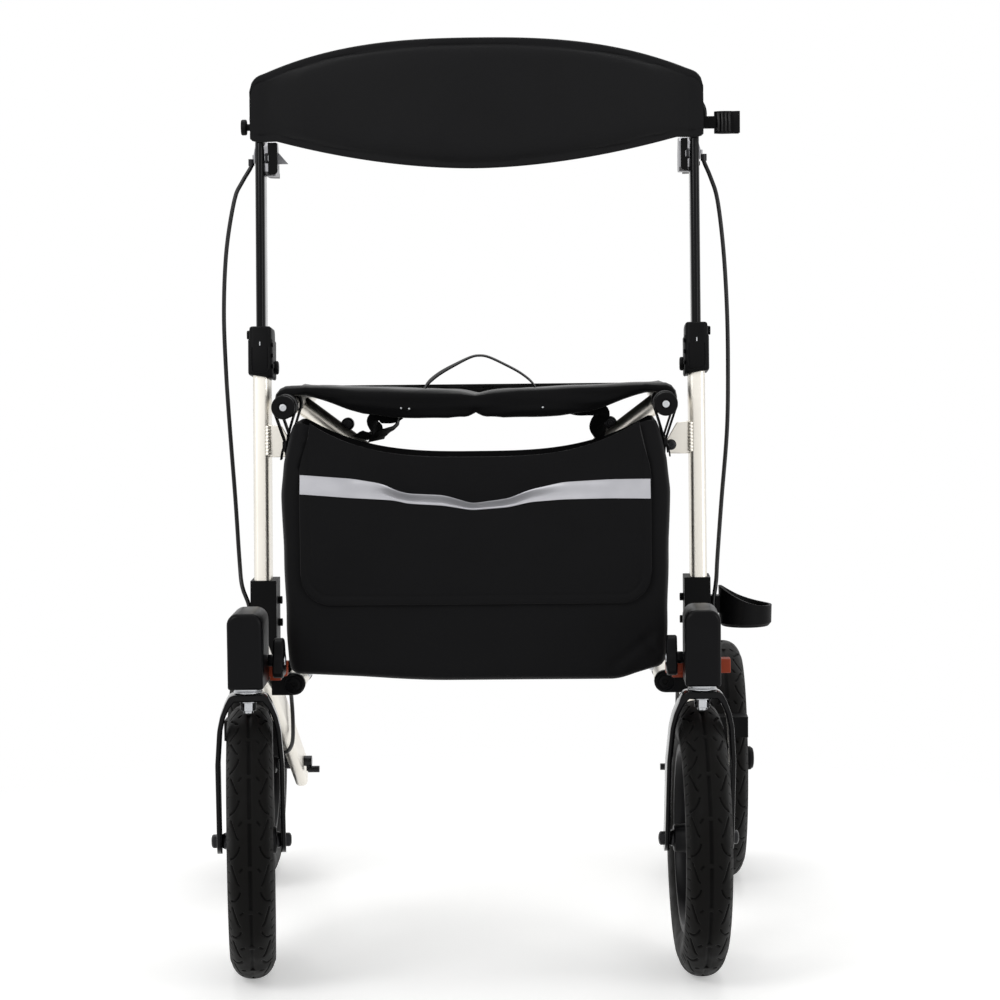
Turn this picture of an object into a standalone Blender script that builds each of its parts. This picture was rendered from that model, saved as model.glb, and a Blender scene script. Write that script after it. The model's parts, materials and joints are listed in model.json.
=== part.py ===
"""A folding all-terrain rollator in metres, +Z up, with its front towards -Y.

The origin lies on the floor under the middle of the whole. Sizes along Y are counted
from the front axle, and one empty moves the finished frame onto the origin.
"""

import math

import bmesh
import bpy
from mathutils import Vector

SIDES = {"left": -1, "right": 1}

# Clearance that touching pieces keep
GAP = 0.0003
# How far joined shapes run into each other, and how far cutters run past what they cut
OVERLAP = 0.002
PAST = 0.020

# Wheels, front and rear alike
WHEEL_RADIUS = 0.150
TYRE_WIDTH = 0.049
TYRE_WALL = 0.005
TREAD_THICKNESS = 0.0075
TYRE_SEGMENTS = 24
# The tyre's section, in shares of half its width and of its height above the rim
CROWN_SHARE = 0.4
SHOULDER_SHARE = 0.8
SHOULDER_DROP = 0.18
WIDEST_DROP = 0.55
BEAD_RISE = 0.025
RIM_RADIUS = 0.103
RIM_WIDTH = 0.038
RIM_FLANGE = 0.0022
RIM_LIP = 0.004
RIM_WALL = 0.005
SPOKE_COUNT = 6
SPOKE_THICKNESS = 0.010
SPOKE_WIDTH = 0.018
SPOKE_ROOT_WIDTH = 0.0144
HUB_RADIUS = 0.017
AXLE_Z = WHEEL_RADIUS
REAR_AXLE_Y = 0.500

# Steered front forks
STEER_X = 0.244
TRAIL = 0.050
STEER_Y = -TRAIL
CASTER_REST = {"left": 5.6, "right": 2.5}
TYRE_TO_CROWN = 0.0125
CROWN_THICKNESS = 0.008
CROWN_WIDTH = 0.032
FORK_DEPTH = 0.028
LEG_THICKNESS = 0.0056
LEG_TO_TYRE = 0.0077
FORK_FOOT = 0.015
FORK_FOOT_ROUND = 0.011
FORK_SHOULDER_OUT = 0.0055
FORK_SHOULDER_DROP = 0.0125
FORK_KNEE_IN = 0.0005
FORK_KNEE_DROP = 0.0625
CROWN_INSET = 0.0008
STEM_RADIUS = 0.006
STEM_NUT_HEIGHT = 0.0105
STEM_NUT_RADIUS = 0.0083
STEM_IN_HOUSING = 0.065
BEARING_RADIUS = 0.016
BEARING_HEIGHT = 0.0075
FRONT_AXLE_RADIUS = 0.004
FRONT_HUB_SPACER = 0.004
AXLE_NUT_RADIUS = 0.0078
AXLE_NUT_HEIGHT = 0.006
FORK_TOP = 2 * WHEEL_RADIUS + TYRE_TO_CROWN + CROWN_THICKNESS
FORK_HALF = TYRE_WIDTH / 2 + LEG_TO_TYRE + LEG_THICKNESS / 2
CROWN_BOTTOM = FORK_TOP - CROWN_THICKNESS

# Caster housings
HOUSING_WIDTH = 0.038
HOUSING_HEIGHT = 0.082
HOUSING_FRONT = STEER_Y - 0.030
HOUSING_BACK = STEER_Y + 0.040
HOUSING_CORNER = 0.010
HOUSING_FRONT_EDGE = 0.004
HOUSING_BACK_EDGE = 0.002
HOUSING_BOTTOM = FORK_TOP + BEARING_HEIGHT
HOUSING_TOP = HOUSING_BOTTOM + HOUSING_HEIGHT

# Swivel lock lever behind each housing
LOCK_BEHIND = 0.018
LOCK_ABOVE = 0.0072
LOCK_WIDTH = 0.074
LOCK_HEIGHT = 0.023
LOCK_REACH = 0.006
LOCK_BACK = 0.0035
LOCK_TAB = 0.007
LOCK_TAB_WIDTH = 0.012
LOCK_TAB_IN = 0.007
LOCK_CHAMFER = 0.003
LOCK_PIN_RADIUS = 0.0025
TONGUE_WIDTH = 0.014
TONGUE_RADIUS = 0.006
LOCK_Y = HOUSING_BACK + LOCK_BEHIND
LOCK_Z = HOUSING_BOTTOM + LOCK_ABOVE

# Hand knob on the inner side of each housing
HAND_KNOB_RADIUS = 0.019
HAND_KNOB_LOBE = 0.0033
HAND_KNOB_WIDTH = 0.0116
HAND_KNOB_BOSS = 0.0065
HAND_KNOB_BOSS_RADIUS = 0.0065
HAND_KNOB_EDGE = 0.0025
HAND_KNOB_LOBES = 3
HAND_KNOB_SEGMENTS = 24
HAND_KNOB_Y = STEER_Y + 0.0255
HAND_KNOB_Z = HOUSING_BOTTOM + 0.0245
HAND_SCREW_RADIUS = 0.003
HAND_SCREW_LENGTH = 0.007

# Side beams
BEAM_X = STEER_X + 0.0005
BEAM_WIDTH = 0.016
BEAM_HEIGHT = 0.0384
BEAM_CORNER = 0.0065
BEAM_WALL = 0.0025
BEAM_BEYOND_AXLE = 0.053
BEAM_FRONT_Z = HOUSING_TOP - 0.023
BEAM_SLOPE = (BEAM_FRONT_Z - AXLE_Z) / (REAR_AXLE_Y - HOUSING_BACK)
BEAM_ANGLE = math.atan(BEAM_SLOPE)

# Rear axles and hub caps
REAR_WHEEL_X = BEAM_X + 0.0515
REAR_AXLE_RADIUS = 0.006
REAR_SPACER_RADIUS = 0.010
REAR_AXLE_PAST_HUB = 0.008
REAR_NUT_RADIUS = 0.0068
REAR_NUT_HEIGHT = 0.0095
PEG_RADIUS = 0.0043
PEG_LENGTH = 0.0145
PEG_DROP = 0.0106
PEG_ARM_WIDTH = 0.006
PEG_ARM_THICKNESS = 0.0045
PEG_ARM_IN = 0.0025
HUB_CAP_RADIUS = 0.0155
HUB_CAP_HEIGHT = 0.0155
HUB_CAP_CLEARANCE = 0.0015
# Height and radius along the cap's dome, in shares of the whole
HUB_CAP_DOME = [(0.0, 1.0), (0.7, 0.97), (0.93, 0.8), (1.0, 0.5)]

# Rear brakes
BRAKE_RUNNING_GAP = 0.0024
BRAKE_PIVOT_Y = REAR_AXLE_Y - 0.1265
BRAKE_PIVOT_ABOVE_AXLE = 0.049
BRAKE_ARM_THICKNESS = 0.007
BRAKE_PIN_RADIUS = 0.0035
BRAKE_PIN_LENGTH = 0.0073
BRAKE_ARM_END = 0.009
SHOE_WIDTH = 0.0515
SHOE_LOW = 0.053
SHOE_HEIGHT = 0.025
SHOE_THICKNESS = 0.0165
CABLE_ANCHOR_Y = REAR_AXLE_Y - 0.148
CABLE_ANCHOR_ABOVE_AXLE = 0.037
CABLE_ANCHOR_RADIUS = 0.006

# Leaning uprights and the handle tubes inside them
LEAN = math.radians(6.0)
POST_FOOT_Y = 0.192
POST_FOOT_Z = AXLE_Z + 0.150
UPRIGHT_X = BEAM_X + 0.008
UPRIGHT_WIDTH = 0.019
UPRIGHT_DEPTH = 0.038
UPRIGHT_WALL = 0.002
UPRIGHT_TOP = AXLE_Z + 0.540
UPRIGHT_ABOVE_BEAM = 0.004
HANDLE_WIDTH = 0.0112
HANDLE_DEPTH = 0.033
HANDLE_WALL = 0.0015
HANDLE_BOTTOM = AXLE_Z + 0.370
HANDLE_BEND_Z = AXLE_Z + 0.762
HANDLE_BEND_RADIUS = 0.045
HANDLE_END_LEAN = math.radians(86.0)
GRIP_LENGTH = 0.125
GRIP_WIDTH = 0.034
GRIP_HEIGHT = 0.042
GRIP_END = 0.006
# The grip's swell: shares of its length, and of its width and height there
GRIP_SWELL = [
    (0.0, 1.04),
    (0.05, 1.06),
    (0.14, 0.94),
    (0.5, 1.0),
    (0.88, 0.95),
    (0.97, 0.9),
    (1.0, 0.72),
]

# Sockets where the uprights meet the beams
SOCKET_WIDTH = 0.0302
SOCKET_INNER = 0.017
SOCKET_WALL = 0.0035
SOCKET_SUNK = 0.002
SOCKET_TOP = AXLE_Z + 0.2665
SOCKET_BOLT_RADIUS = 0.0045
SOCKET_BOLT_LENGTH = 0.010
SOCKET_BOLT_HEIGHTS = (AXLE_Z + 0.216, AXLE_Z + 0.242)
CABLE_BOSS_RADIUS = 0.006
CABLE_BOSS_HEIGHT = 0.0013
CABLE_BOSS_ABOVE = 0.009

# Welded brackets on the uprights
BRACKET_LOW = AXLE_Z + 0.408
BRACKET_HIGH = AXLE_Z + 0.445
BRACKET_REACH = 0.0277
BRACKET_PLATE = 0.005
BRACKET_CHAMFER = 0.010
BRACKET_BOLT_RADIUS = 0.0055
BRACKET_BOLT_IN = 0.0067
BRACKET_FORWARD = 0.008
BRACKET_BOLT_Z = AXLE_Z + 0.422
BRACKET_BOLT_HEAD = 0.0035

# Height clamps
CLAMP_WIDTH = 0.0288
CLAMP_DEPTH = 0.052
CLAMP_CORNER = 0.007
CLAMP_LOW = AXLE_Z + 0.5015
CLAMP_HIGH = AXLE_Z + 0.5575
CLAMP_CHAMFER = 0.003
CLAMP_TIP = 0.0022
CLAMP_TIP_HEIGHT = 0.010
CLAMP_TIP_FRONT = 0.014
CLAMP_TIP_BACK = 0.006
CLAMP_KNOB_Z = AXLE_Z + 0.511
CLAMP_KNOB_RADIUS = 0.008
CLAMP_KNOB_LENGTH = 0.0045
CLAMP_KNOB_EDGE = 0.0012
CLAMP_SCREW_RADIUS = 0.003

# Brake levers under the grips
MOUNT_INNER = 0.0177
MOUNT_OUTER = 0.0087
MOUNT_FRONT_Y = 0.243
MOUNT_LOW = AXLE_Z + 0.734
MOUNT_HIGH = AXLE_Z + 0.773
MOUNT_REAR_Y = 0.294
MOUNT_CHAMFER = 0.005
MOUNT_SLOPE_LOW = 0.020
MOUNT_SLOPE_IN = 0.011
LEVER_PIVOT_Y = 0.284
LEVER_PIVOT_Z = AXLE_Z + 0.744
LEVER_ROOT_RADIUS = 0.006
LEVER_ROOT_WIDTH = 0.0094
LEVER_ROOT_INWARD = 0.0075
LEVER_CLEARANCE = 0.003
LEVER_PIN_RADIUS = 0.0025
LEVER_THICKNESS = 0.006
LEVER_LENGTH = 0.116
LEVER_INNER = 0.0220
LEVER_OUTER = 0.0035
LEVER_BEHIND_MOUNT = 0.0015
LEVER_FLARE = 0.008
LEVER_CORNER = 0.003
LEVER_SLOPE = 0.02
FERRULE_OUT = 0.0115
FERRULE_RADIUS = 0.0042
FERRULE_Y = 0.258
FERRULE_Z = AXLE_Z + 0.754

# Crossing frame tubes and their pivots
PIVOT_X = BEAM_X - 0.034
PIVOT_Z = AXLE_Z + 0.1555
PIVOT_FRONT_Y = 0.1155
PIVOT_BACK_Y = 0.2247
PIVOT_PLATE = 0.0095
PIVOT_WEB = 0.0052
PIVOT_BLOCK_RADIUS = 0.0125
PIVOT_PIN_RADIUS = 0.005
BARREL_RADIUS = 0.0115
CROSS_TUBE_RADIUS = 0.011
CROSS_TUBE_WALL = 0.002
CROSS_PLANES = {"a": 0.178, "b": 0.203}
CROSS_BOLT_RADIUS = 0.004
CROSS_BOLT_HEAD = 0.009
CROSS_BOLT_HEAD_HEIGHT = 0.004
CROSS_BOLT_CHAMFER = 0.0018
LUG_RADIUS = 0.0075
LUG_LENGTH = 0.010
LUG_PIN_RADIUS = 0.0045
LUG_PIN_HEIGHT = 0.0015
LUG_ALONG = 0.464
LUG_ABOVE = 0.0136

# Seat rails
RAIL_Z = AXLE_Z + 0.4735
RAIL_RADIUS = 0.0115
RAIL_WALL = 0.002
RAIL_FRONT_Y = 0.040
RAIL_BACK_Y = 0.350
RAIL_CAP_RADIUS = 0.0132
RAIL_CAP_LENGTH = 0.012
RAIL_CAP_EDGE = 0.0015
RAIL_CAP_PLUG = 0.004
COLLAR_Y = 0.075
COLLAR_LENGTH = 0.008
COLLAR_RADIUS = 0.0135

# Seat and its lift strap
SEAT_FRONT_Y = 0.085
SEAT_BACK_Y = 0.340
SEAT_SIDE_TOP = 0.0231
SEAT_SAG = 0.013
SEAT_THICKNESS = 0.014
SEAT_CREASE = 0.003
SEAT_TUCK = 0.0026
SEAT_HEM = 0.0055
SEAT_HEM_DEPTH = 0.006
SEAT_EDGE = 0.0015
SEAT_HOLLOW = 0.003
# The sag between the rails: shares of the half span where it is set, and its curve
SEAT_SHARES = (0.06, 0.3, 0.6, 0.85)
SEAT_SAG_POWER = 1.6
# Where the seat turns down over a rail, from the rail's middle
SEAT_TURN_IN = 0.004
SEAT_TURN_OUT = 0.008
SEAT_TURN_DROP = 0.003
SEAT_SIDE_HIGH = 0.012
SEAT_SIDE_LOW = 0.001
SEAT_NOTCH_CLEARANCE = 0.0008
STRAP_WIDTH = 0.020
STRAP_THICKNESS = 0.0016
STRAP_HALF_SPAN = 0.064
STRAP_RISE = 0.038
STRAP_SHIFT = 0.004
STRAP_Y = 0.200
STRAP_SUNK = 0.004
STRAP_STEPS = 12
STRAP_POWER = 2.2
STRAP_INNER_SHARE = 0.97

# Bag and its flap
BAG_TOP_HALF = 0.2135
BAG_BOTTOM_HALF = 0.208
BAG_FRONT_Y = 0.035
BAG_BACK_Y = 0.150
BAG_BOTTOM = AXLE_Z + 0.169
BAG_TOP = AXLE_Z + 0.456
BAG_RIM_SAG = 0.039
BAG_WALL = 0.003
BAG_CORNER = 0.014
BAG_LOOP_WIDTH = 0.019
BAG_LOOP_THICKNESS = 0.002
BAG_STRAP_THICKNESS = 0.0035
BAG_STRAP_SEWN = 0.020
BAG_FLOOR_ROUND = 0.012
BAG_LOOPS_Y = (0.064, 0.1275)
FLAP_HALF = 0.1935
FLAP_THICKNESS = 0.003
FLAP_BOTTOM = AXLE_Z + 0.255
FLAP_CORNER = 0.030

# Backrest
BACKREST_PAST_HANDLE = 0.0105
BACKREST_FLAT_BEFORE = 0.0085
BACKREST_HALF = UPRIGHT_X + BACKREST_PAST_HANDLE
BACKREST_FLAT_HALF = UPRIGHT_X - BACKREST_FLAT_BEFORE
BACKREST_LOW = AXLE_Z + 0.7735
BACKREST_HIGH = AXLE_Z + 0.8465
BACKREST_DROP = 0.0345
BACKREST_RISE = 0.041
BACKREST_BULGE = 0.066
BACKREST_EDGE = 0.005
BACKREST_MIDDLE = 0.014
BACKREST_PAD = 0.010
BACKREST_RISE_POWER = 3.5
BACKREST_FLAT_SHARE = 0.55
BACKREST_ROUND_SHARE = 0.95
BACKREST_STEPS = 24
BACK_KNOB_Y = 0.262
BACK_KNOB_Z = AXLE_Z + 0.791
BACK_KNOB_RADIUS = 0.008
BACK_KNOB_LENGTH = 0.0094
BACK_KNOB_STEM = 0.008
BACK_KNOB_EDGE = 0.0016

# Stick cup and stick clip on the right side
CUP_RADIUS = 0.031
CUP_WALL = 0.003
CUP_FLOOR = 0.004
CUP_FLOOR_ROUND = 0.002
CUP_FOOT_ROUND = 0.004
CUP_TAPER = 0.0005
CUP_FROM_SOCKET = 0.0107
CUP_Y = 0.215
CUP_BOTTOM = AXLE_Z + 0.2065
CUP_RIM_OUTER = AXLE_Z + 0.231
CUP_RIM_INNER = AXLE_Z + 0.2537
CUP_STUB_FRONT_Y = 0.206
CUP_STUB_BACK_Y = 0.2235
CUP_STUB_LOW = 0.0155
CUP_STUB_HIGH = 0.0355
CLIP_RADIUS = 0.012
CLIP_WALL = 0.0035
CLIP_LOW = AXLE_Z + 0.7775
CLIP_HEIGHT = 0.0255
CLIP_NECK = 0.018
CLIP_NECK_WIDTH = 0.012
CLIP_NECK_LOW = 0.006
CLIP_NECK_HEIGHT = 0.014
CLIP_Y = 0.262
CLIP_OPENING = math.radians(40.0)
CLIP_FLARE = 0.009

# Brake cables: distance outwards from the middle, Y and height above the axles
CABLE_RADIUS = 0.0025
CABLE_SPACING = 0.032
CABLE_STRAIGHT = 0.008
CABLE_END_IN = 0.00175
CABLE_ROUTES = {
    "left": [
        (0.2755, 0.2555, 0.7265),
        (0.2840, 0.2520, 0.7066),
        (0.2938, 0.2470, 0.6485),
        (0.2973, 0.2400, 0.5787),
        (0.2955, 0.2340, 0.5090),
        (0.2914, 0.2280, 0.4390),
        (0.2858, 0.2220, 0.3574),
        (0.2816, 0.2150, 0.2877),
        (0.2780, 0.2060, 0.2580),
    ],
    "right": [
        (0.2720, 0.2550, 0.7260),
        (0.2795, 0.2520, 0.7000),
        (0.2859, 0.2470, 0.6420),
        (0.2893, 0.2400, 0.5726),
        (0.2898, 0.2340, 0.5030),
        (0.2880, 0.2280, 0.4335),
        (0.2809, 0.2220, 0.3523),
        (0.2755, 0.2150, 0.2860),
        (0.2735, 0.2070, 0.2600),
    ],
}
CABLE_LOWER_ROUTE = [
    (0.2698, 0.2000, 0.2360),
    (0.2698, 0.1990, 0.2180),
    (0.2700, 0.2120, 0.2060),
    (0.2680, 0.2340, 0.1940),
    (0.2520, 0.2460, 0.1750),
    (0.2380, 0.2620, 0.1500),
    (0.2320, 0.2850, 0.1240),
    (0.2315, 0.3000, 0.1060),
    (0.2318, 0.3120, 0.0780),
    (0.2345, 0.3280, 0.0530),
    (0.2420, 0.3430, 0.0395),
]

AXES = {"X": (1, 2, 0), "Y": (0, 2, 1), "Z": (0, 1, 2)}


def clear_scene():
    for obj in list(bpy.data.objects):
        bpy.data.objects.remove(obj, do_unlink=True)


def finish(name, colour, roughness, metallic=0.0):
    """A plain material of one colour, given as red, green and blue from 0 to 1."""
    material = bpy.data.materials.new(name)
    material.use_nodes = True
    shader = material.node_tree.nodes["Principled BSDF"]
    shader.inputs["Base Color"].default_value = (*colour, 1.0)
    shader.inputs["Roughness"].default_value = roughness
    shader.inputs["Metallic"].default_value = metallic
    return material


def empty(name, place, turn=0.0, parent=None):
    """A guide that carries other objects; turn is in degrees about +Z."""
    guide = bpy.data.objects.new(name, None)
    guide.location = place
    guide.rotation_euler = (0.0, 0.0, math.radians(turn))
    guide.parent = parent
    bpy.context.scene.collection.objects.link(guide)
    return guide


def loft(rings, joined=False):
    """Closed solid through rings of equally many points, capped or joined into a ring."""
    shape = bmesh.new()
    rows = [[shape.verts.new(point) for point in ring] for ring in rings]
    if joined:
        rows.append(rows[0])
    for low, high in zip(rows, rows[1:]):
        for k in range(len(low)):
            after = (k + 1) % len(low)
            shape.faces.new((low[k], low[after], high[after], high[k]))
    if not joined:
        shape.faces.new(rows[0])
        shape.faces.new(rows[-1])
    bmesh.ops.recalc_face_normals(shape, faces=shape.faces)
    return shape


def flat_ring(outline, axis, level):
    """The points of a flat outline, lifted to a level along axis."""
    first, second, along = AXES[axis]
    ring = []
    for a, b in outline:
        point = [0.0, 0.0, 0.0]
        point[first], point[second], point[along] = a, b, level
        ring.append(point)
    return ring


def prism(outline, axis, low, high):
    return loft([flat_ring(outline, axis, low), flat_ring(outline, axis, high)])


def block(low, high):
    """A box between two opposite corners."""
    outline = [(low[0], low[1]), (high[0], low[1]), (high[0], high[1]), (low[0], high[1])]
    return prism(outline, "Z", low[2], high[2])


def arc(centre, radius, start, end, steps):
    """Points along an arc, with its angles in degrees."""
    angles = [math.radians(start + (end - start) * k / steps) for k in range(steps + 1)]
    return [(centre[0] + radius * math.cos(a), centre[1] + radius * math.sin(a)) for a in angles]


def circle(centre, radius, segments):
    return arc(centre, radius, 0.0, 360.0, segments)[:-1]


def turned(profile, axis, centre, segments=16, joined=False):
    """Solid of revolution: profile lists (along, radius), centre is the point of its axis line."""
    rings = [flat_ring(circle(centre, radius, segments), axis, along) for along, radius in profile]
    return loft(rings, joined)


def rod(axis, centre, radius, low, high, segments=16):
    return turned([(low, radius), (high, radius)], axis, centre, segments)


def rounded_rectangle(width, height, corner, steps=3):
    """Outline about the origin with 4 * (steps + 1) points."""
    x, y = width / 2 - corner, height / 2 - corner
    points = []
    for quarter, (a, b) in enumerate([(x, y), (-x, y), (-x, -y), (x, -y)]):
        points += arc((a, b), corner, 90 * quarter, 90 * (quarter + 1), steps)
    return points


def oval(width, depth):
    """Flat oval: two half rounds of the width, joined by flats, in 16 points."""
    flat = (depth - width) / 2
    return arc((0, flat), width / 2, 0, 180, 7) + arc((0, -flat), width / 2, 180, 360, 7)


def combined(base, tool, operation):
    """The base shape joined with the tool or cut by it."""
    holders = []
    for shape in (base, tool):
        mesh = bpy.data.meshes.new("shape")
        shape.to_mesh(mesh)
        shape.free()
        holder = bpy.data.objects.new("shape", mesh)
        bpy.context.scene.collection.objects.link(holder)
        holders.append(holder)
    modifier = holders[0].modifiers.new("Boolean", "BOOLEAN")
    modifier.operation = operation
    modifier.object = holders[1]
    bpy.context.view_layer.update()
    result = bmesh.new()
    result.from_object(holders[0], bpy.context.evaluated_depsgraph_get())
    for holder in holders:
        mesh = holder.data
        bpy.data.objects.remove(holder)
        bpy.data.meshes.remove(mesh)
    return result


def joined(base, *tools):
    for tool in tools:
        base = combined(base, tool, "UNION")
    return base


def cut(base, *tools):
    for tool in tools:
        base = combined(base, tool, "DIFFERENCE")
    return base


def place(name, shape, material, pivot=(0.0, 0.0, 0.0), parent=None, side=1):
    """Names a shape, mirrors it for the left side, and puts its origin on the pivot."""
    shift = Vector((side * pivot[0], pivot[1], pivot[2]))
    for vertex in shape.verts:
        vertex.co.x *= side
        vertex.co -= shift
    if side < 0:
        bmesh.ops.reverse_faces(shape, faces=shape.faces)
    mesh = bpy.data.meshes.new(name)
    shape.to_mesh(mesh)
    shape.free()
    mesh.shade_smooth()
    mesh.set_sharp_from_angle(angle=math.radians(35))
    mesh.materials.append(material)
    obj = bpy.data.objects.new(name, mesh)
    obj.location = shift
    obj.parent = parent or FRAME
    bpy.context.scene.collection.objects.link(obj)
    return obj


def bevelled(shape, width, chosen, segments=2, along=None):
    """Rounds the edges whose both ends pass the chosen test, or only those along one axis."""
    edges = [edge for edge in shape.edges if all(chosen(v.co) for v in edge.verts)]
    if along is not None:
        index = "XYZ".index(along)
        spans = [abs(edge.verts[0].co[index] - edge.verts[1].co[index]) for edge in edges]
        edges = [edge for edge, span in zip(edges, spans) if span > 0.9 * edge.calc_length()]
    bmesh.ops.bevel(
        shape, geom=edges, offset=width, segments=segments, profile=0.5, affect="EDGES"
    )
    return shape


def smooth_route(points, spacing):
    """Points about one spacing apart on a smooth curve through the given points."""
    knots = [Vector(p) for p in points]
    knots = [2 * knots[0] - knots[1]] + knots + [2 * knots[-1] - knots[-2]]
    route = []
    for a, b, c, d in zip(knots, knots[1:], knots[2:], knots[3:]):
        steps = max(1, round((c - b).length / spacing))
        for k in range(steps):
            t = k / steps
            route.append(
                b
                + (c - a) * (t / 2)
                + (2 * a - 5 * b + 4 * c - d) * (t * t / 2)
                + (3 * b - a - 3 * c + d) * (t**3 / 2)
            )
    return route + [knots[-2]]


def beam_z(y):
    """Height of the beam's centre line."""
    return AXLE_Z + (REAR_AXLE_Y - y) * BEAM_SLOPE


def beam_top(y):
    return beam_z(y) + BEAM_HEIGHT / 2 / math.cos(BEAM_ANGLE)


def post_y(z):
    """Where the leaning centre line of the upright stands at a height."""
    return POST_FOOT_Y + (z - POST_FOOT_Z) * math.tan(LEAN)


def post_ring(section, z):
    """A section square to the leaning centre line, about its point at height z."""
    return [
        (UPRIGHT_X + u, post_y(z) + v * math.cos(LEAN), z - v * math.sin(LEAN))
        for u, v in section
    ]


def post_prism(section, low, high):
    return loft([post_ring(section, low), post_ring(section, high)])


def handle_path():
    """Stations along the handle tube: Y, Z and the lean of the tube there."""
    stations = [(post_y(HANDLE_BOTTOM), HANDLE_BOTTOM, LEAN)]
    steps = 6
    start_y = post_y(HANDLE_BEND_Z)
    for k in range(steps + 1):
        lean = LEAN + (HANDLE_END_LEAN - LEAN) * k / steps
        y = start_y + HANDLE_BEND_RADIUS * (math.cos(LEAN) - math.cos(lean))
        z = HANDLE_BEND_Z + HANDLE_BEND_RADIUS * (math.sin(lean) - math.sin(LEAN))
        stations.append((y, z, lean))
    stations.append(grip_station(GRIP_LENGTH - GRIP_END))
    return stations


def grip_station(along):
    """Station on the straight end of the handle, at a distance from its bend."""
    y = post_y(HANDLE_BEND_Z) + HANDLE_BEND_RADIUS * (math.cos(LEAN) - math.cos(HANDLE_END_LEAN))
    z = HANDLE_BEND_Z + HANDLE_BEND_RADIUS * (math.sin(HANDLE_END_LEAN) - math.sin(LEAN))
    y += along * math.sin(HANDLE_END_LEAN)
    z += along * math.cos(HANDLE_END_LEAN)
    return y, z, HANDLE_END_LEAN


def handle_ring(section, station):
    y, z, lean = station
    return [(UPRIGHT_X + u, y + v * math.cos(lean), z - v * math.sin(lean)) for u, v in section]


def handle_front_y(z):
    """The front of the handle tube in its bend, at a height."""
    centre_y = post_y(HANDLE_BEND_Z) + HANDLE_BEND_RADIUS * math.cos(LEAN)
    centre_z = HANDLE_BEND_Z - HANDLE_BEND_RADIUS * math.sin(LEAN)
    outer = HANDLE_BEND_RADIUS + HANDLE_DEPTH / 2
    return centre_y - math.sqrt(outer**2 - (z - centre_z) ** 2)


def bag_rim(x):
    """Height of the bag's rim, which sags between its sides."""
    return BAG_TOP - BAG_RIM_SAG * (1 - min(1.0, abs(x) / FLAP_HALF) ** 2)


def wheel_rim(hub_half, bore):
    """Rim channel, spokes and hub in one casting, about the X axis at the origin."""
    half = RIM_WIDTH / 2
    seat = RIM_RADIUS - RIM_LIP
    inner = seat - RIM_WALL
    channel = [
        (-half, inner),
        (half, inner),
        (half, RIM_RADIUS),
        (half - RIM_FLANGE, RIM_RADIUS),
        (half - RIM_FLANGE, seat),
        (RIM_FLANGE - half, seat),
        (RIM_FLANGE - half, RIM_RADIUS),
        (-half, RIM_RADIUS),
    ]
    star = []
    for k in range(SPOKE_COUNT):
        middle = 2 * math.pi * k / SPOKE_COUNT
        for radius, across in (
            (HUB_RADIUS - 2 * OVERLAP, -SPOKE_ROOT_WIDTH / 2),
            (inner + RIM_WALL / 2, -SPOKE_WIDTH / 2),
            (inner + RIM_WALL / 2, SPOKE_WIDTH / 2),
            (HUB_RADIUS - 2 * OVERLAP, SPOKE_ROOT_WIDTH / 2),
        ):
            angle = middle + math.atan(across / radius)
            star.append((radius * math.cos(angle), radius * math.sin(angle)))
    rim = joined(
        turned(channel, "X", (0.0, 0.0), TYRE_SEGMENTS, joined=True),
        prism(star, "X", -SPOKE_THICKNESS / 2, SPOKE_THICKNESS / 2),
        rod("X", (0.0, 0.0), HUB_RADIUS, -hub_half, hub_half),
    )
    return cut(rim, rod("X", (0.0, 0.0), bore + GAP, -TYRE_WIDTH, TYRE_WIDTH))


def wheel_tyre():
    """Tyre carcass, open towards the rim between its beads, about the X axis at the origin."""
    half = TYRE_WIDTH / 2
    bead = RIM_WIDTH / 2 - RIM_FLANGE - GAP
    seat = RIM_RADIUS - RIM_LIP + GAP
    height = WHEEL_RADIUS - RIM_RADIUS
    outer = [
        (bead, seat),
        (bead, RIM_RADIUS + BEAD_RISE * height),
        (half, WHEEL_RADIUS - WIDEST_DROP * height),
        (SHOULDER_SHARE * half, WHEEL_RADIUS - SHOULDER_DROP * height),
        (CROWN_SHARE * half, WHEEL_RADIUS),
    ]
    inner = [
        (CROWN_SHARE * half, WHEEL_RADIUS - TREAD_THICKNESS),
        (half - TYRE_WALL, WHEEL_RADIUS - WIDEST_DROP * height),
        (bead - TYRE_WALL, seat),
    ]
    # The loop runs over the tread to the left bead, then back through the hollow
    loop = outer + [(-x, radius) for x, radius in reversed(outer)]
    loop += [(-x, radius) for x, radius in reversed(inner)] + inner
    return turned(loop, "X", (0.0, 0.0), TYRE_SEGMENTS, joined=True)


def moved(shape, x, y, z):
    bmesh.ops.translate(shape, verts=shape.verts, vec=(x, y, z))
    return shape


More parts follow.
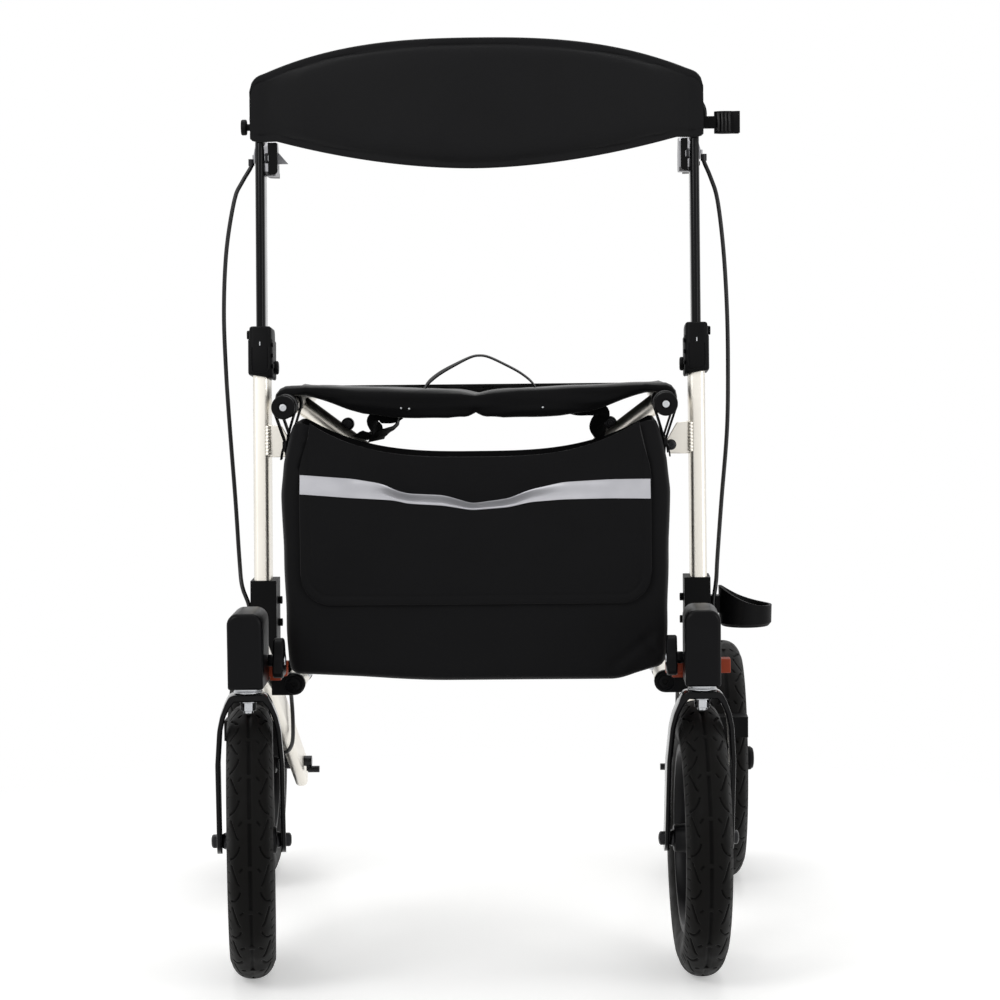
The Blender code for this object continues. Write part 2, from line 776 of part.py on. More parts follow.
def make_beam(label, side):
    """Flat-oval tube from the caster housing down past the rear axle."""
    outer = rounded_rectangle(BEAM_WIDTH, BEAM_HEIGHT, BEAM_CORNER)
    inner = rounded_rectangle(
        BEAM_WIDTH - 2 * BEAM_WALL, BEAM_HEIGHT - 2 * BEAM_WALL, BEAM_CORNER - BEAM_WALL
    )
    front_y = HOUSING_BACK + GAP
    sine, cosine = math.sin(BEAM_ANGLE), math.cos(BEAM_ANGLE)
    rear_y = REAR_AXLE_Y + BEAM_BEYOND_AXLE * cosine
    rear_z = AXLE_Z - BEAM_BEYOND_AXLE * sine

    def front(section):
        return [(BEAM_X + u, front_y, beam_z(front_y) + v / cosine) for u, v in section]

    def rear(section):
        return [(BEAM_X + u, rear_y + v * sine, rear_z + v * cosine) for u, v in section]

    shape = loft([front(outer), rear(outer), rear(inner), front(inner)], joined=True)
    axle = rod("X", (REAR_AXLE_Y, AXLE_Z), REAR_AXLE_RADIUS + GAP, BEAM_X - PAST, BEAM_X + PAST)
    brake_pin = rod(
        "X",
        (BRAKE_PIVOT_Y, AXLE_Z + BRAKE_PIVOT_ABOVE_AXLE),
        BRAKE_PIN_RADIUS + GAP,
        BEAM_X,
        BEAM_X + PAST,
    )
    shape = cut(shape, axle, brake_pin)
    place(f"beam_{label}", shape, CHAMPAGNE, (BEAM_X, REAR_AXLE_Y, AXLE_Z), side=side)


def make_housing(label, side):
    """Caster housing with a tongue behind it for the swivel lock."""
    half = HOUSING_WIDTH / 2
    top = HOUSING_TOP - HOUSING_CORNER
    outline = [(STEER_X - half, HOUSING_BOTTOM), (STEER_X + half, HOUSING_BOTTOM)]
    outline += arc((STEER_X + half - HOUSING_CORNER, top), HOUSING_CORNER, 0, 90, 5)
    outline += arc((STEER_X - half + HOUSING_CORNER, top), HOUSING_CORNER, 90, 180, 5)
    body = prism(outline, "Y", HOUSING_FRONT, HOUSING_BACK)
    body = bevelled(body, HOUSING_FRONT_EDGE, lambda co: co.y < HOUSING_FRONT + GAP)
    body = bevelled(body, HOUSING_BACK_EDGE, lambda co: co.y > HOUSING_BACK - GAP, 1)
    tongue = [(HOUSING_BACK - OVERLAP, LOCK_Z - TONGUE_RADIUS)]
    tongue += arc((LOCK_Y, LOCK_Z), TONGUE_RADIUS, -90, 90, 8)
    tongue.append((HOUSING_BACK - OVERLAP, LOCK_Z + TONGUE_RADIUS))
    body = joined(
        body, prism(tongue, "X", STEER_X - TONGUE_WIDTH / 2, STEER_X + TONGUE_WIDTH / 2)
    )
    stem = rod(
        "Z",
        (STEER_X, STEER_Y),
        STEM_RADIUS + GAP,
        HOUSING_BOTTOM - PAST,
        HOUSING_BOTTOM + STEM_IN_HOUSING + GAP,
    )
    lock_pin = rod(
        "X", (LOCK_Y, LOCK_Z), LOCK_PIN_RADIUS + GAP, STEER_X - half, STEER_X + half
    )
    screw = rod(
        "X",
        (HAND_KNOB_Y, HAND_KNOB_Z),
        HAND_SCREW_RADIUS + GAP,
        STEER_X - half - PAST,
        STEER_X - half + HAND_SCREW_LENGTH + GAP,
    )
    body = cut(body, stem, lock_pin, screw)
    pivot = (STEER_X, STEER_Y, HOUSING_BOTTOM)
    place(f"caster_housing_{label}", body, BLACK_PLASTIC, pivot, side=side)


def make_swivel_lock(label, side):
    """Red lever whose two arms straddle the housing's tongue on one pin."""
    half = LOCK_WIDTH / 2
    inner = TONGUE_WIDTH / 2 + GAP
    front = LOCK_Y - LOCK_REACH
    bridge = LOCK_Y + TONGUE_RADIUS + 2 * GAP
    back = bridge + LOCK_BACK
    plan = [
        (STEER_X - half, front + LOCK_CHAMFER),
        (STEER_X - half + LOCK_CHAMFER, front),
        (STEER_X - inner, front),
        (STEER_X - inner, bridge),
        (STEER_X + inner, bridge),
        (STEER_X + inner, front),
        (STEER_X + half - LOCK_CHAMFER, front),
        (STEER_X + half, front + LOCK_CHAMFER),
        (STEER_X + half, back),
        (STEER_X - half, back),
    ]
    low = LOCK_Z - LOCK_HEIGHT / 2
    lever = prism(plan, "Z", low, low + LOCK_HEIGHT)
    tab_x = STEER_X - half + LOCK_TAB_IN
    tab = block(
        (tab_x, front + OVERLAP, low - LOCK_TAB),
        (tab_x + LOCK_TAB_WIDTH, back - OVERLAP, low + OVERLAP),
    )
    reach = inner + 2 * OVERLAP
    pin = rod("X", (LOCK_Y, LOCK_Z), LOCK_PIN_RADIUS, STEER_X - reach, STEER_X + reach)
    lever = joined(lever, tab, pin)
    place(f"swivel_lock_{label}", lever, RED, (STEER_X, LOCK_Y, LOCK_Z), side=side)


def make_hand_knob(label, side):
    """Three-lobed knob that screws into the inner side of the housing."""
    outline = []
    for k in range(HAND_KNOB_SEGMENTS):
        angle = 2 * math.pi * k / HAND_KNOB_SEGMENTS
        radius = HAND_KNOB_RADIUS + HAND_KNOB_LOBE * math.cos(HAND_KNOB_LOBES * angle)
        outline.append(
            (HAND_KNOB_Y + radius * math.sin(angle), HAND_KNOB_Z + radius * math.cos(angle))
        )
    seat = STEER_X - HOUSING_WIDTH / 2 - GAP
    face = seat - HAND_KNOB_BOSS
    knob = prism(outline, "X", face - HAND_KNOB_WIDTH, face)
    knob = bevelled(knob, HAND_KNOB_EDGE, lambda co: co.x < face - HAND_KNOB_WIDTH + GAP)
    centre = (HAND_KNOB_Y, HAND_KNOB_Z)
    stem = turned(
        [
            (face - OVERLAP, HAND_KNOB_BOSS_RADIUS),
            (seat, HAND_KNOB_BOSS_RADIUS),
            (seat, HAND_SCREW_RADIUS),
            (seat + HAND_SCREW_LENGTH, HAND_SCREW_RADIUS),
        ],
        "X",
        centre,
    )
    pivot = (seat, HAND_KNOB_Y, HAND_KNOB_Z)
    place(f"hand_knob_{label}", joined(knob, stem), BLACK_PLASTIC, pivot, side=side)


def make_stem(label, caster):
    """Steering stem: nut under the crown, bearing stack above it, shaft into the housing."""
    shaft = turned(
        [
            (CROWN_BOTTOM - STEM_NUT_HEIGHT / 2, STEM_RADIUS),
            (FORK_TOP + GAP, STEM_RADIUS),
            (FORK_TOP + GAP, BEARING_RADIUS),
            (HOUSING_BOTTOM - GAP, BEARING_RADIUS),
            (HOUSING_BOTTOM - GAP, STEM_RADIUS),
            (HOUSING_BOTTOM + STEM_IN_HOUSING, STEM_RADIUS),
        ],
        "Z",
        (0.0, 0.0),
    )
    nut = rod(
        "Z", (0.0, 0.0), STEM_NUT_RADIUS, CROWN_BOTTOM - STEM_NUT_HEIGHT, CROWN_BOTTOM - GAP, 6
    )
    place(f"caster_stem_{label}", joined(shaft, nut), STEEL, (0.0, 0.0, FORK_TOP), caster)


def make_fork(label, caster):
    """One bent strap: crown across the top, two legs raked back to the axle."""
    shoulder = (CROWN_WIDTH / 2 + FORK_SHOULDER_OUT, FORK_TOP - FORK_SHOULDER_DROP)
    knee = (FORK_HALF - FORK_KNEE_IN, FORK_TOP - FORK_KNEE_DROP)
    foot = (FORK_HALF, AXLE_Z - FORK_FOOT)
    half = LEG_THICKNESS / 2
    right = [(CROWN_WIDTH / 2, FORK_TOP)]
    right += [(x + half, z) for x, z in (shoulder, knee, foot)]
    right += [(x - half, z) for x, z in (foot, knee, shoulder)]
    right.append((CROWN_WIDTH / 2 - CROWN_INSET, CROWN_BOTTOM))
    outline = right + [(-x, z) for x, z in reversed(right)]
    strap = prism(outline, "Y", -FORK_DEPTH / 2, FORK_DEPTH / 2)
    strap = bevelled(strap, FORK_FOOT_ROUND, foot_edge, 3, "X")
    rake = TRAIL / (FORK_TOP - CROWN_THICKNESS / 2 - AXLE_Z)
    for vertex in strap.verts:
        vertex.co.y += rake * (FORK_TOP - CROWN_THICKNESS / 2 - vertex.co.z)
    strap = cut(
        strap,
        rod("Z", (0.0, 0.0), STEM_RADIUS + GAP, CROWN_BOTTOM - PAST, FORK_TOP + PAST),
        rod("X", (TRAIL, AXLE_Z), FRONT_AXLE_RADIUS + GAP, -FORK_HALF - PAST, FORK_HALF + PAST),
    )
    place(f"fork_{label}", strap, SATIN_BLACK, (0.0, 0.0, FORK_TOP), caster)


def foot_edge(co):
    return co.z < AXLE_Z - FORK_FOOT + GAP


def make_front_wheel(label, caster):
    """Front axle with its nuts and spacers, rim and tyre."""
    leg_inner = FORK_HALF - LEG_THICKNESS / 2 - GAP
    leg_outer = FORK_HALF + LEG_THICKNESS / 2 + GAP
    hub_half = leg_inner - FRONT_HUB_SPACER - GAP
    half = [
        (leg_outer + AXLE_NUT_HEIGHT, AXLE_NUT_RADIUS),
        (leg_outer, AXLE_NUT_RADIUS),
        (leg_outer, FRONT_AXLE_RADIUS),
        (leg_inner, FRONT_AXLE_RADIUS),
        (leg_inner, AXLE_NUT_RADIUS),
        (hub_half + GAP, AXLE_NUT_RADIUS),
        (hub_half + GAP, FRONT_AXLE_RADIUS),
    ]
    profile = [(-x, radius) for x, radius in half] + list(reversed(half))
    axle = turned(profile, "X", (TRAIL, AXLE_Z), 12)
    centre = (0.0, TRAIL, AXLE_Z)
    place(f"front_axle_{label}", axle, STEEL, centre, caster)
    rim = moved(wheel_rim(hub_half, FRONT_AXLE_RADIUS), *centre)
    place(f"front_rim_{label}", rim, BLACK_PLASTIC, centre, caster)
    place(f"front_tyre_{label}", moved(wheel_tyre(), *centre), RUBBER, centre, caster)


def make_rear_wheel(label, side):
    """Rear axle through the beam, rim, tyre and hub cap."""
    hub_half = TYRE_WIDTH / 2 - GAP
    beam_inner = BEAM_X - BEAM_WIDTH / 2
    beam_outer = BEAM_X + BEAM_WIDTH / 2
    hub_inner = REAR_WHEEL_X - hub_half
    hub_outer = REAR_WHEEL_X + hub_half
    centre = (REAR_WHEEL_X, REAR_AXLE_Y, AXLE_Z)
    axle = turned(
        [
            (beam_inner - GAP - REAR_NUT_HEIGHT, REAR_NUT_RADIUS),
            (beam_inner - GAP, REAR_NUT_RADIUS),
            (beam_inner - GAP, REAR_AXLE_RADIUS),
            (beam_outer + GAP, REAR_AXLE_RADIUS),
            (beam_outer + GAP, REAR_SPACER_RADIUS),
            (hub_inner - GAP, REAR_SPACER_RADIUS),
            (hub_inner - GAP, REAR_AXLE_RADIUS),
            (hub_outer + REAR_AXLE_PAST_HUB, REAR_AXLE_RADIUS),
        ],
        "X",
        (REAR_AXLE_Y, AXLE_Z),
        12,
    )
    arm_x = beam_inner - GAP - REAR_NUT_HEIGHT + PEG_ARM_IN
    arm = block(
        (arm_x, REAR_AXLE_Y - PEG_ARM_WIDTH / 2, AXLE_Z - PEG_DROP - OVERLAP),
        (arm_x + PEG_ARM_THICKNESS, REAR_AXLE_Y + PEG_ARM_WIDTH / 2, AXLE_Z - OVERLAP),
    )
    peg_end = arm_x + PEG_ARM_THICKNESS - OVERLAP
    peg = rod("X", (REAR_AXLE_Y, AXLE_Z - PEG_DROP), PEG_RADIUS, peg_end - PEG_LENGTH, peg_end, 12)
    place(f"rear_axle_{label}", joined(axle, arm, peg), STEEL, centre, side=side)
    rim = moved(wheel_rim(hub_half, REAR_AXLE_RADIUS), *centre)
    place(f"rear_rim_{label}", rim, BLACK_PLASTIC, centre, side=side)
    place(f"rear_tyre_{label}", moved(wheel_tyre(), *centre), RUBBER, centre, side=side)
    base = hub_outer + GAP
    bore = REAR_AXLE_RADIUS + HUB_CAP_CLEARANCE
    profile = [(hub_outer + REAR_AXLE_PAST_HUB + HUB_CAP_CLEARANCE, bore), (base, bore)]
    for rise, wide in HUB_CAP_DOME:
        profile.append((base + rise * HUB_CAP_HEIGHT, wide * HUB_CAP_RADIUS))
    cap = turned(profile, "X", (REAR_AXLE_Y, AXLE_Z))
    place(f"hub_cap_{label}", cap, BLACK_PLASTIC, centre, side=side)


def make_brake_arm(label, side):
    """Arm on the beam's outer face, with the shoe across the front of the rear tyre."""
    pivot = (BRAKE_PIVOT_Y, AXLE_Z + BRAKE_PIVOT_ABOVE_AXLE)
    anchor = (CABLE_ANCHOR_Y, AXLE_Z + CABLE_ANCHOR_ABOVE_AXLE)
    inner = BEAM_X + BEAM_WIDTH / 2 + GAP
    outer = inner + BRAKE_ARM_THICKNESS
    middle = AXLE_Z + SHOE_LOW + SHOE_HEIGHT / 2
    reach = WHEEL_RADIUS + BRAKE_RUNNING_GAP
    back = REAR_AXLE_Y - math.sqrt(reach**2 - (middle - AXLE_Z) ** 2)
    shoe_low, shoe_high = AXLE_Z + SHOE_LOW, AXLE_Z + SHOE_LOW + SHOE_HEIGHT
    arm = arc(pivot, BRAKE_ARM_END, -60, 60, 5)
    arm += [(back, shoe_high), (back - SHOE_THICKNESS, shoe_high)]
    arm.append((back - SHOE_THICKNESS, shoe_low))
    arm += arc(anchor, CABLE_ANCHOR_RADIUS, 180, 290, 4)
    plate = prism(arm, "X", inner, outer)
    shoe_back = []
    steps = 6
    for k in range(steps + 1):
        z = shoe_low + SHOE_HEIGHT * k / steps
        shoe_back.append((REAR_AXLE_Y - math.sqrt(reach**2 - (z - AXLE_Z) ** 2), z))
    front = shoe_back[0][0] - SHOE_THICKNESS
    shoe_outline = shoe_back + [(front, shoe_high), (front, shoe_low)]
    shoe_outer = REAR_WHEEL_X + SHOE_WIDTH / 2
    shoe = prism(shoe_outline, "X", outer - OVERLAP, shoe_outer)
    pin = rod("X", pivot, BRAKE_PIN_RADIUS, inner - BRAKE_PIN_LENGTH, inner + OVERLAP)
    place(
        f"brake_arm_{label}", joined(plate, shoe, pin), BLACK_PLASTIC, (inner, *pivot), side=side
    )


def make_socket(label, side):
    """Black lug round the foot of the upright, resting on the beam with a cheek outside it."""
    inner_x = UPRIGHT_X - SOCKET_INNER
    outer_x = inner_x + SOCKET_WIDTH
    reach = UPRIGHT_DEPTH / 2 + SOCKET_WALL
    foot_z = beam_z(POST_FOOT_Y) - SOCKET_SUNK
    outline = [
        (post_y(foot_z) - reach, foot_z + reach * BEAM_SLOPE),
        (post_y(foot_z) + reach, foot_z - reach * BEAM_SLOPE),
        (post_y(SOCKET_TOP) + reach, SOCKET_TOP),
        (post_y(SOCKET_TOP) - reach, SOCKET_TOP),
    ]
    body = prism(outline, "X", inner_x, outer_x)
    bolt_y = post_y(SOCKET_BOLT_HEIGHTS[1])
    bolts = [
        rod("X", (bolt_y, z), SOCKET_BOLT_RADIUS, inner_x - SOCKET_BOLT_LENGTH, inner_x + OVERLAP)
        for z in SOCKET_BOLT_HEIGHTS
    ]
    boss = CABLE_LOWER_ROUTE[1]
    guide = rod(
        "X",
        (boss[1], AXLE_Z + boss[2] + CABLE_BOSS_ABOVE),
        CABLE_BOSS_RADIUS,
        outer_x - OVERLAP,
        outer_x + CABLE_BOSS_HEIGHT,
    )
    body = joined(body, *bolts, guide)
    front = POST_FOOT_Y - UPRIGHT_DEPTH - PAST
    back = POST_FOOT_Y + UPRIGHT_DEPTH + PAST
    saddle = [
        (front, beam_top(front) + GAP),
        (front, AXLE_Z),
        (back, AXLE_Z),
        (back, beam_top(back) + GAP),
    ]
    saddle = prism(saddle, "X", inner_x - PAST, BEAM_X + BEAM_WIDTH / 2 + GAP)
    recess = block(
        (inner_x - PAST, PIVOT_FRONT_Y - GAP, PIVOT_Z - PIVOT_BLOCK_RADIUS),
        (BEAM_X - BEAM_WIDTH / 2, PIVOT_BACK_Y + GAP, PIVOT_Z + PIVOT_BLOCK_RADIUS + GAP),
    )
    bore = oval(UPRIGHT_WIDTH + 2 * GAP, UPRIGHT_DEPTH + 2 * GAP)
    body = cut(body, saddle, recess, post_prism(bore, upright_bottom() - GAP, SOCKET_TOP + PAST))
    pivot = (UPRIGHT_X, post_y(SOCKET_TOP), SOCKET_TOP)
    place(f"socket_{label}", body, BLACK_PLASTIC, pivot, side=side)


def upright_bottom():
    """The upright stands on the beam at the front edge of its foot."""
    return beam_top(POST_FOOT_Y - UPRIGHT_DEPTH / 2) + UPRIGHT_ABOVE_BEAM


def make_upright(label, side):
    """Leaning tube with its welded bracket plate and the plate's bolt."""
    outer = oval(UPRIGHT_WIDTH, UPRIGHT_DEPTH)
    inner = oval(UPRIGHT_WIDTH - 2 * UPRIGHT_WALL, UPRIGHT_DEPTH - 2 * UPRIGHT_WALL)
    low, high = upright_bottom(), UPRIGHT_TOP
    rings = [post_ring(outer, low), post_ring(outer, high)]
    rings += [post_ring(inner, high), post_ring(inner, low)]
    tube = loft(rings, joined=True)
    tube_face = UPRIGHT_X - UPRIGHT_WIDTH / 2
    tip = tube_face - BRACKET_REACH
    plate_y = post_y(BRACKET_LOW) - BRACKET_FORWARD
    outline = [
        (tip, BRACKET_LOW + BRACKET_CHAMFER / 2),
        (tip + BRACKET_CHAMFER / 2, BRACKET_LOW),
        (tube_face + OVERLAP / 2, BRACKET_LOW),
        (tube_face + OVERLAP / 2, BRACKET_HIGH),
        (tip + BRACKET_CHAMFER, BRACKET_HIGH),
        (tip, BRACKET_HIGH - BRACKET_CHAMFER),
    ]
    plate = prism(outline, "Y", plate_y, plate_y + BRACKET_PLATE)
    bolt = rod(
        "Y",
        (tip + BRACKET_BOLT_IN, BRACKET_BOLT_Z),
        BRACKET_BOLT_RADIUS,
        plate_y - BRACKET_BOLT_HEAD,
        plate_y + BRACKET_PLATE + BRACKET_BOLT_HEAD,
        12,
    )
    shape = joined(tube, plate, bolt)
    place(f"upright_{label}", shape, CHAMPAGNE, (UPRIGHT_X, post_y(low), low), side=side)


def make_clamp(label, side):
    """Height clamp over the end of the upright, and the knob that tightens it."""
    section = rounded_rectangle(CLAMP_WIDTH, CLAMP_DEPTH, CLAMP_CORNER)
    small = rounded_rectangle(
        CLAMP_WIDTH - CLAMP_CHAMFER, CLAMP_DEPTH - CLAMP_CHAMFER, CLAMP_CORNER - CLAMP_CHAMFER / 2
    )
    body = loft(
        [
            post_ring(small, CLAMP_LOW),
            post_ring(section, CLAMP_LOW + CLAMP_CHAMFER),
            post_ring(section, CLAMP_HIGH - CLAMP_CHAMFER),
            post_ring(small, CLAMP_HIGH),
        ]
    )
    outer_x = UPRIGHT_X + CLAMP_WIDTH / 2
    middle_y = post_y(CLAMP_HIGH)
    tip = block(
        (
            outer_x - OVERLAP,
            middle_y - CLAMP_TIP_FRONT,
            CLAMP_HIGH - CLAMP_CHAMFER - CLAMP_TIP_HEIGHT,
        ),
        (outer_x + CLAMP_TIP, middle_y + CLAMP_TIP_BACK, CLAMP_HIGH - CLAMP_CHAMFER),
    )
    upright = oval(UPRIGHT_WIDTH + 2 * GAP, UPRIGHT_DEPTH + 2 * GAP)
    handle = oval(HANDLE_WIDTH + 2 * GAP, HANDLE_DEPTH + 2 * GAP)
    centre = (post_y(CLAMP_KNOB_Z), CLAMP_KNOB_Z)
    inner_x = UPRIGHT_X - CLAMP_WIDTH / 2
    wall = (CLAMP_WIDTH - UPRIGHT_WIDTH) / 2
    body = cut(
        joined(body, tip),
        post_prism(upright, CLAMP_LOW - PAST, UPRIGHT_TOP + GAP),
        post_prism(handle, UPRIGHT_TOP - PAST, CLAMP_HIGH + PAST),
        rod("X", centre, CLAMP_SCREW_RADIUS + GAP, inner_x - PAST, inner_x + wall),
    )
    pivot = (UPRIGHT_X, post_y(UPRIGHT_TOP), UPRIGHT_TOP)
    place(f"height_clamp_{label}", body, BLACK_PLASTIC, pivot, side=side)
    seat = inner_x - GAP
    face = seat - CLAMP_KNOB_LENGTH
    knob = turned(
        [
            (face, CLAMP_KNOB_RADIUS - CLAMP_KNOB_EDGE),
            (face + CLAMP_KNOB_EDGE, CLAMP_KNOB_RADIUS),
            (seat, CLAMP_KNOB_RADIUS),
            (seat, CLAMP_SCREW_RADIUS),
            (seat + wall - GAP, CLAMP_SCREW_RADIUS),
        ],
        "X",
        centre,
    )
    place(f"clamp_knob_{label}", knob, BLACK_PLASTIC, (seat, *centre), side=side)


def make_handle(label, side):
    """Handle tube that slides in the upright, bent back at its top, and its grip."""
    outer = oval(HANDLE_WIDTH, HANDLE_DEPTH)
    inner = oval(HANDLE_WIDTH - 2 * HANDLE_WALL, HANDLE_DEPTH - 2 * HANDLE_WALL)
    path = handle_path()
    rings = [handle_ring(outer, station) for station in path]
    rings += [handle_ring(inner, station) for station in reversed(path)]
    pivot = (UPRIGHT_X, post_y(HANDLE_BEND_Z), HANDLE_BEND_Z)
    place(f"handle_tube_{label}", loft(rings, joined=True), SATIN_BLACK, pivot, side=side)
    bore = oval(HANDLE_WIDTH + 2 * GAP, HANDLE_DEPTH + 2 * GAP)
    rings = [
        handle_ring(bore, grip_station(GRIP_LENGTH - GRIP_END + GAP)),
        handle_ring(bore, grip_station(0.0)),
    ]
    for share, scale in GRIP_SWELL:
        ring = grip_section(GRIP_WIDTH * scale, GRIP_HEIGHT * scale)
        rings.append(handle_ring(ring, grip_station(GRIP_LENGTH * share)))
    start = grip_station(0.0)
    place(f"grip_{label}", loft(rings), RUBBER, (UPRIGHT_X, start[0], start[1]), side=side)


def grip_section(width, height):
    """Ellipse with as many points as the flat oval that it closes round."""
    turns = [math.pi * (k + 0.5) / 8 for k in range(16)]
    points = [(width / 2 * math.cos(a), height / 2 * math.sin(a)) for a in turns]
    return points[-1:] + points[:-1]


def make_lever(label, side):
    """Mount round the handle tube, with the cable's ferrule, and the brake lever in its slot."""
    inner_x = UPRIGHT_X - MOUNT_INNER
    outer_x = UPRIGHT_X + MOUNT_OUTER
    outline = [
        (MOUNT_FRONT_Y, MOUNT_LOW + MOUNT_CHAMFER),
        (MOUNT_FRONT_Y + MOUNT_CHAMFER, MOUNT_LOW),
        (MOUNT_REAR_Y - MOUNT_CHAMFER, MOUNT_LOW),
        (MOUNT_REAR_Y, MOUNT_LOW + MOUNT_CHAMFER),
        (MOUNT_REAR_Y, MOUNT_LOW + MOUNT_SLOPE_LOW),
        (MOUNT_REAR_Y - MOUNT_SLOPE_IN, MOUNT_HIGH),
        (MOUNT_FRONT_Y + MOUNT_CHAMFER, MOUNT_HIGH),
        (MOUNT_FRONT_Y, MOUNT_HIGH - MOUNT_CHAMFER),
    ]
    mount = prism(outline, "X", inner_x, outer_x)
    ferrule_x = UPRIGHT_X + FERRULE_OUT
    ferrule_top = MOUNT_HIGH - MOUNT_CHAMFER
    ferrule = rod(
        "Z", (ferrule_x, FERRULE_Y), FERRULE_RADIUS, FERRULE_Z + GAP, ferrule_top, 12
    )
    bore = oval(HANDLE_WIDTH + 2 * GAP, HANDLE_DEPTH + 2 * GAP)
    tube = loft([handle_ring(bore, station) for station in handle_path()])
    pivot = (LEVER_PIVOT_Y, LEVER_PIVOT_Z)
    half_root = LEVER_ROOT_WIDTH / 2
    root_x = UPRIGHT_X - LEVER_ROOT_INWARD
    root_reach = LEVER_ROOT_RADIUS + LEVER_CLEARANCE
    slot = block(
        (root_x - half_root - GAP, LEVER_PIVOT_Y - root_reach, MOUNT_LOW - PAST),
        (
            root_x + half_root + GAP,
            MOUNT_REAR_Y + PAST,
            LEVER_PIVOT_Z + root_reach + LEVER_CLEARANCE,
        ),
    )
    hole = rod("X", pivot, LEVER_PIN_RADIUS + GAP, inner_x - PAST, outer_x + PAST, 12)
    mount = cut(joined(mount, ferrule), tube, slot, hole)
    place(f"lever_mount_{label}", mount, BLACK_PLASTIC, (UPRIGHT_X, *pivot), side=side)

    wide = MOUNT_REAR_Y + LEVER_BEHIND_MOUNT
    end = LEVER_PIVOT_Y + LEVER_LENGTH
    left, right = UPRIGHT_X - LEVER_INNER, UPRIGHT_X + LEVER_OUTER
    round_end = (right - left) / 2
    plan = [
        (root_x - half_root, LEVER_PIVOT_Y),
        (root_x + half_root, LEVER_PIVOT_Y),
        (root_x + half_root, wide),
        (right, wide + LEVER_FLARE),
    ]
    plan += arc(((left + right) / 2, end - round_end), round_end, 0, 180, 8)
    plan += [(left, wide + LEVER_CORNER), (left + LEVER_CORNER, wide)]
    plan.append((root_x - half_root, wide))
    base = LEVER_PIVOT_Z - LEVER_ROOT_RADIUS
    blade = prism(plan, "Z", base, base + LEVER_THICKNESS)
    for vertex in blade.verts:
        vertex.co.z -= LEVER_SLOPE * (vertex.co.y - LEVER_PIVOT_Y)
    root = rod("X", pivot, LEVER_ROOT_RADIUS, root_x - half_root, root_x + half_root)
    pin = rod("X", pivot, LEVER_PIN_RADIUS, inner_x + GAP, outer_x - GAP, 12)
    lever = joined(root, blade, pin)
    place(f"brake_lever_{label}", lever, SATIN_BLACK, (root_x, *pivot), side=side)


def make_cable(label, side):
    """Brake cable from the lever's ferrule, past the socket, to the brake arm."""
    top = FERRULE_Z - AXLE_Z
    start = [(UPRIGHT_X + FERRULE_OUT, FERRULE_Y, z) for z in (top, top - CABLE_STRAIGHT)]
    end_x = BEAM_X + BEAM_WIDTH / 2 - CABLE_END_IN
    end = [(end_x, CABLE_ANCHOR_Y, CABLE_ANCHOR_ABOVE_AXLE)]
    points = start + CABLE_ROUTES[label] + CABLE_LOWER_ROUTE + end
    points = [(side * x, y, AXLE_Z + above) for x, y, above in points]
    curve = bpy.data.curves.new(f"brake_cable_{label}", "CURVE")
    curve.dimensions = "3D"
    curve.bevel_depth = CABLE_RADIUS
    curve.bevel_resolution = 2
    curve.use_fill_caps = True
    spline = curve.splines.new("POLY")
    route = smooth_route(points, CABLE_SPACING)
    spline.points.add(len(route) - 1)
    for point, spot in zip(spline.points, route):
        point.co = (*spot, 1.0)
    curve.materials.append(BLACK_PLASTIC)
    cable = bpy.data.objects.new(f"brake_cable_{label}", curve)
    cable.parent = FRAME
    bpy.context.scene.collection.objects.link(cable)


def make_pivot_bracket(label, side):
    """Black block on the beam's inner face, with the pin that a cross tube turns on."""
    web_x = BEAM_X - BEAM_WIDTH / 2 - GAP
    radius = PIVOT_BLOCK_RADIUS
    outline = arc((PIVOT_X, PIVOT_Z), radius, 90, 270, 10)
    outline += [(web_x, PIVOT_Z - radius), (web_x, PIVOT_Z + radius)]
    body = prism(outline, "Y", PIVOT_FRONT_Y, PIVOT_BACK_Y)
    window = block(
        (PIVOT_X - PAST, PIVOT_FRONT_Y + PIVOT_PLATE, PIVOT_Z - PAST),
        (web_x - PIVOT_WEB, PIVOT_BACK_Y - PIVOT_PLATE, PIVOT_Z + PAST),
    )
    pin = rod(
        "Y",
        (PIVOT_X, PIVOT_Z),
        PIVOT_PIN_RADIUS,
        PIVOT_FRONT_Y + PIVOT_PLATE - OVERLAP,
        PIVOT_BACK_Y - PIVOT_PLATE + OVERLAP,
    )
    body = joined(cut(body, window), pin)
    pivot = (PIVOT_X, PIVOT_FRONT_Y, PIVOT_Z)
    place(f"pivot_bracket_{label}", body, BLACK_PLASTIC, pivot, side=side)


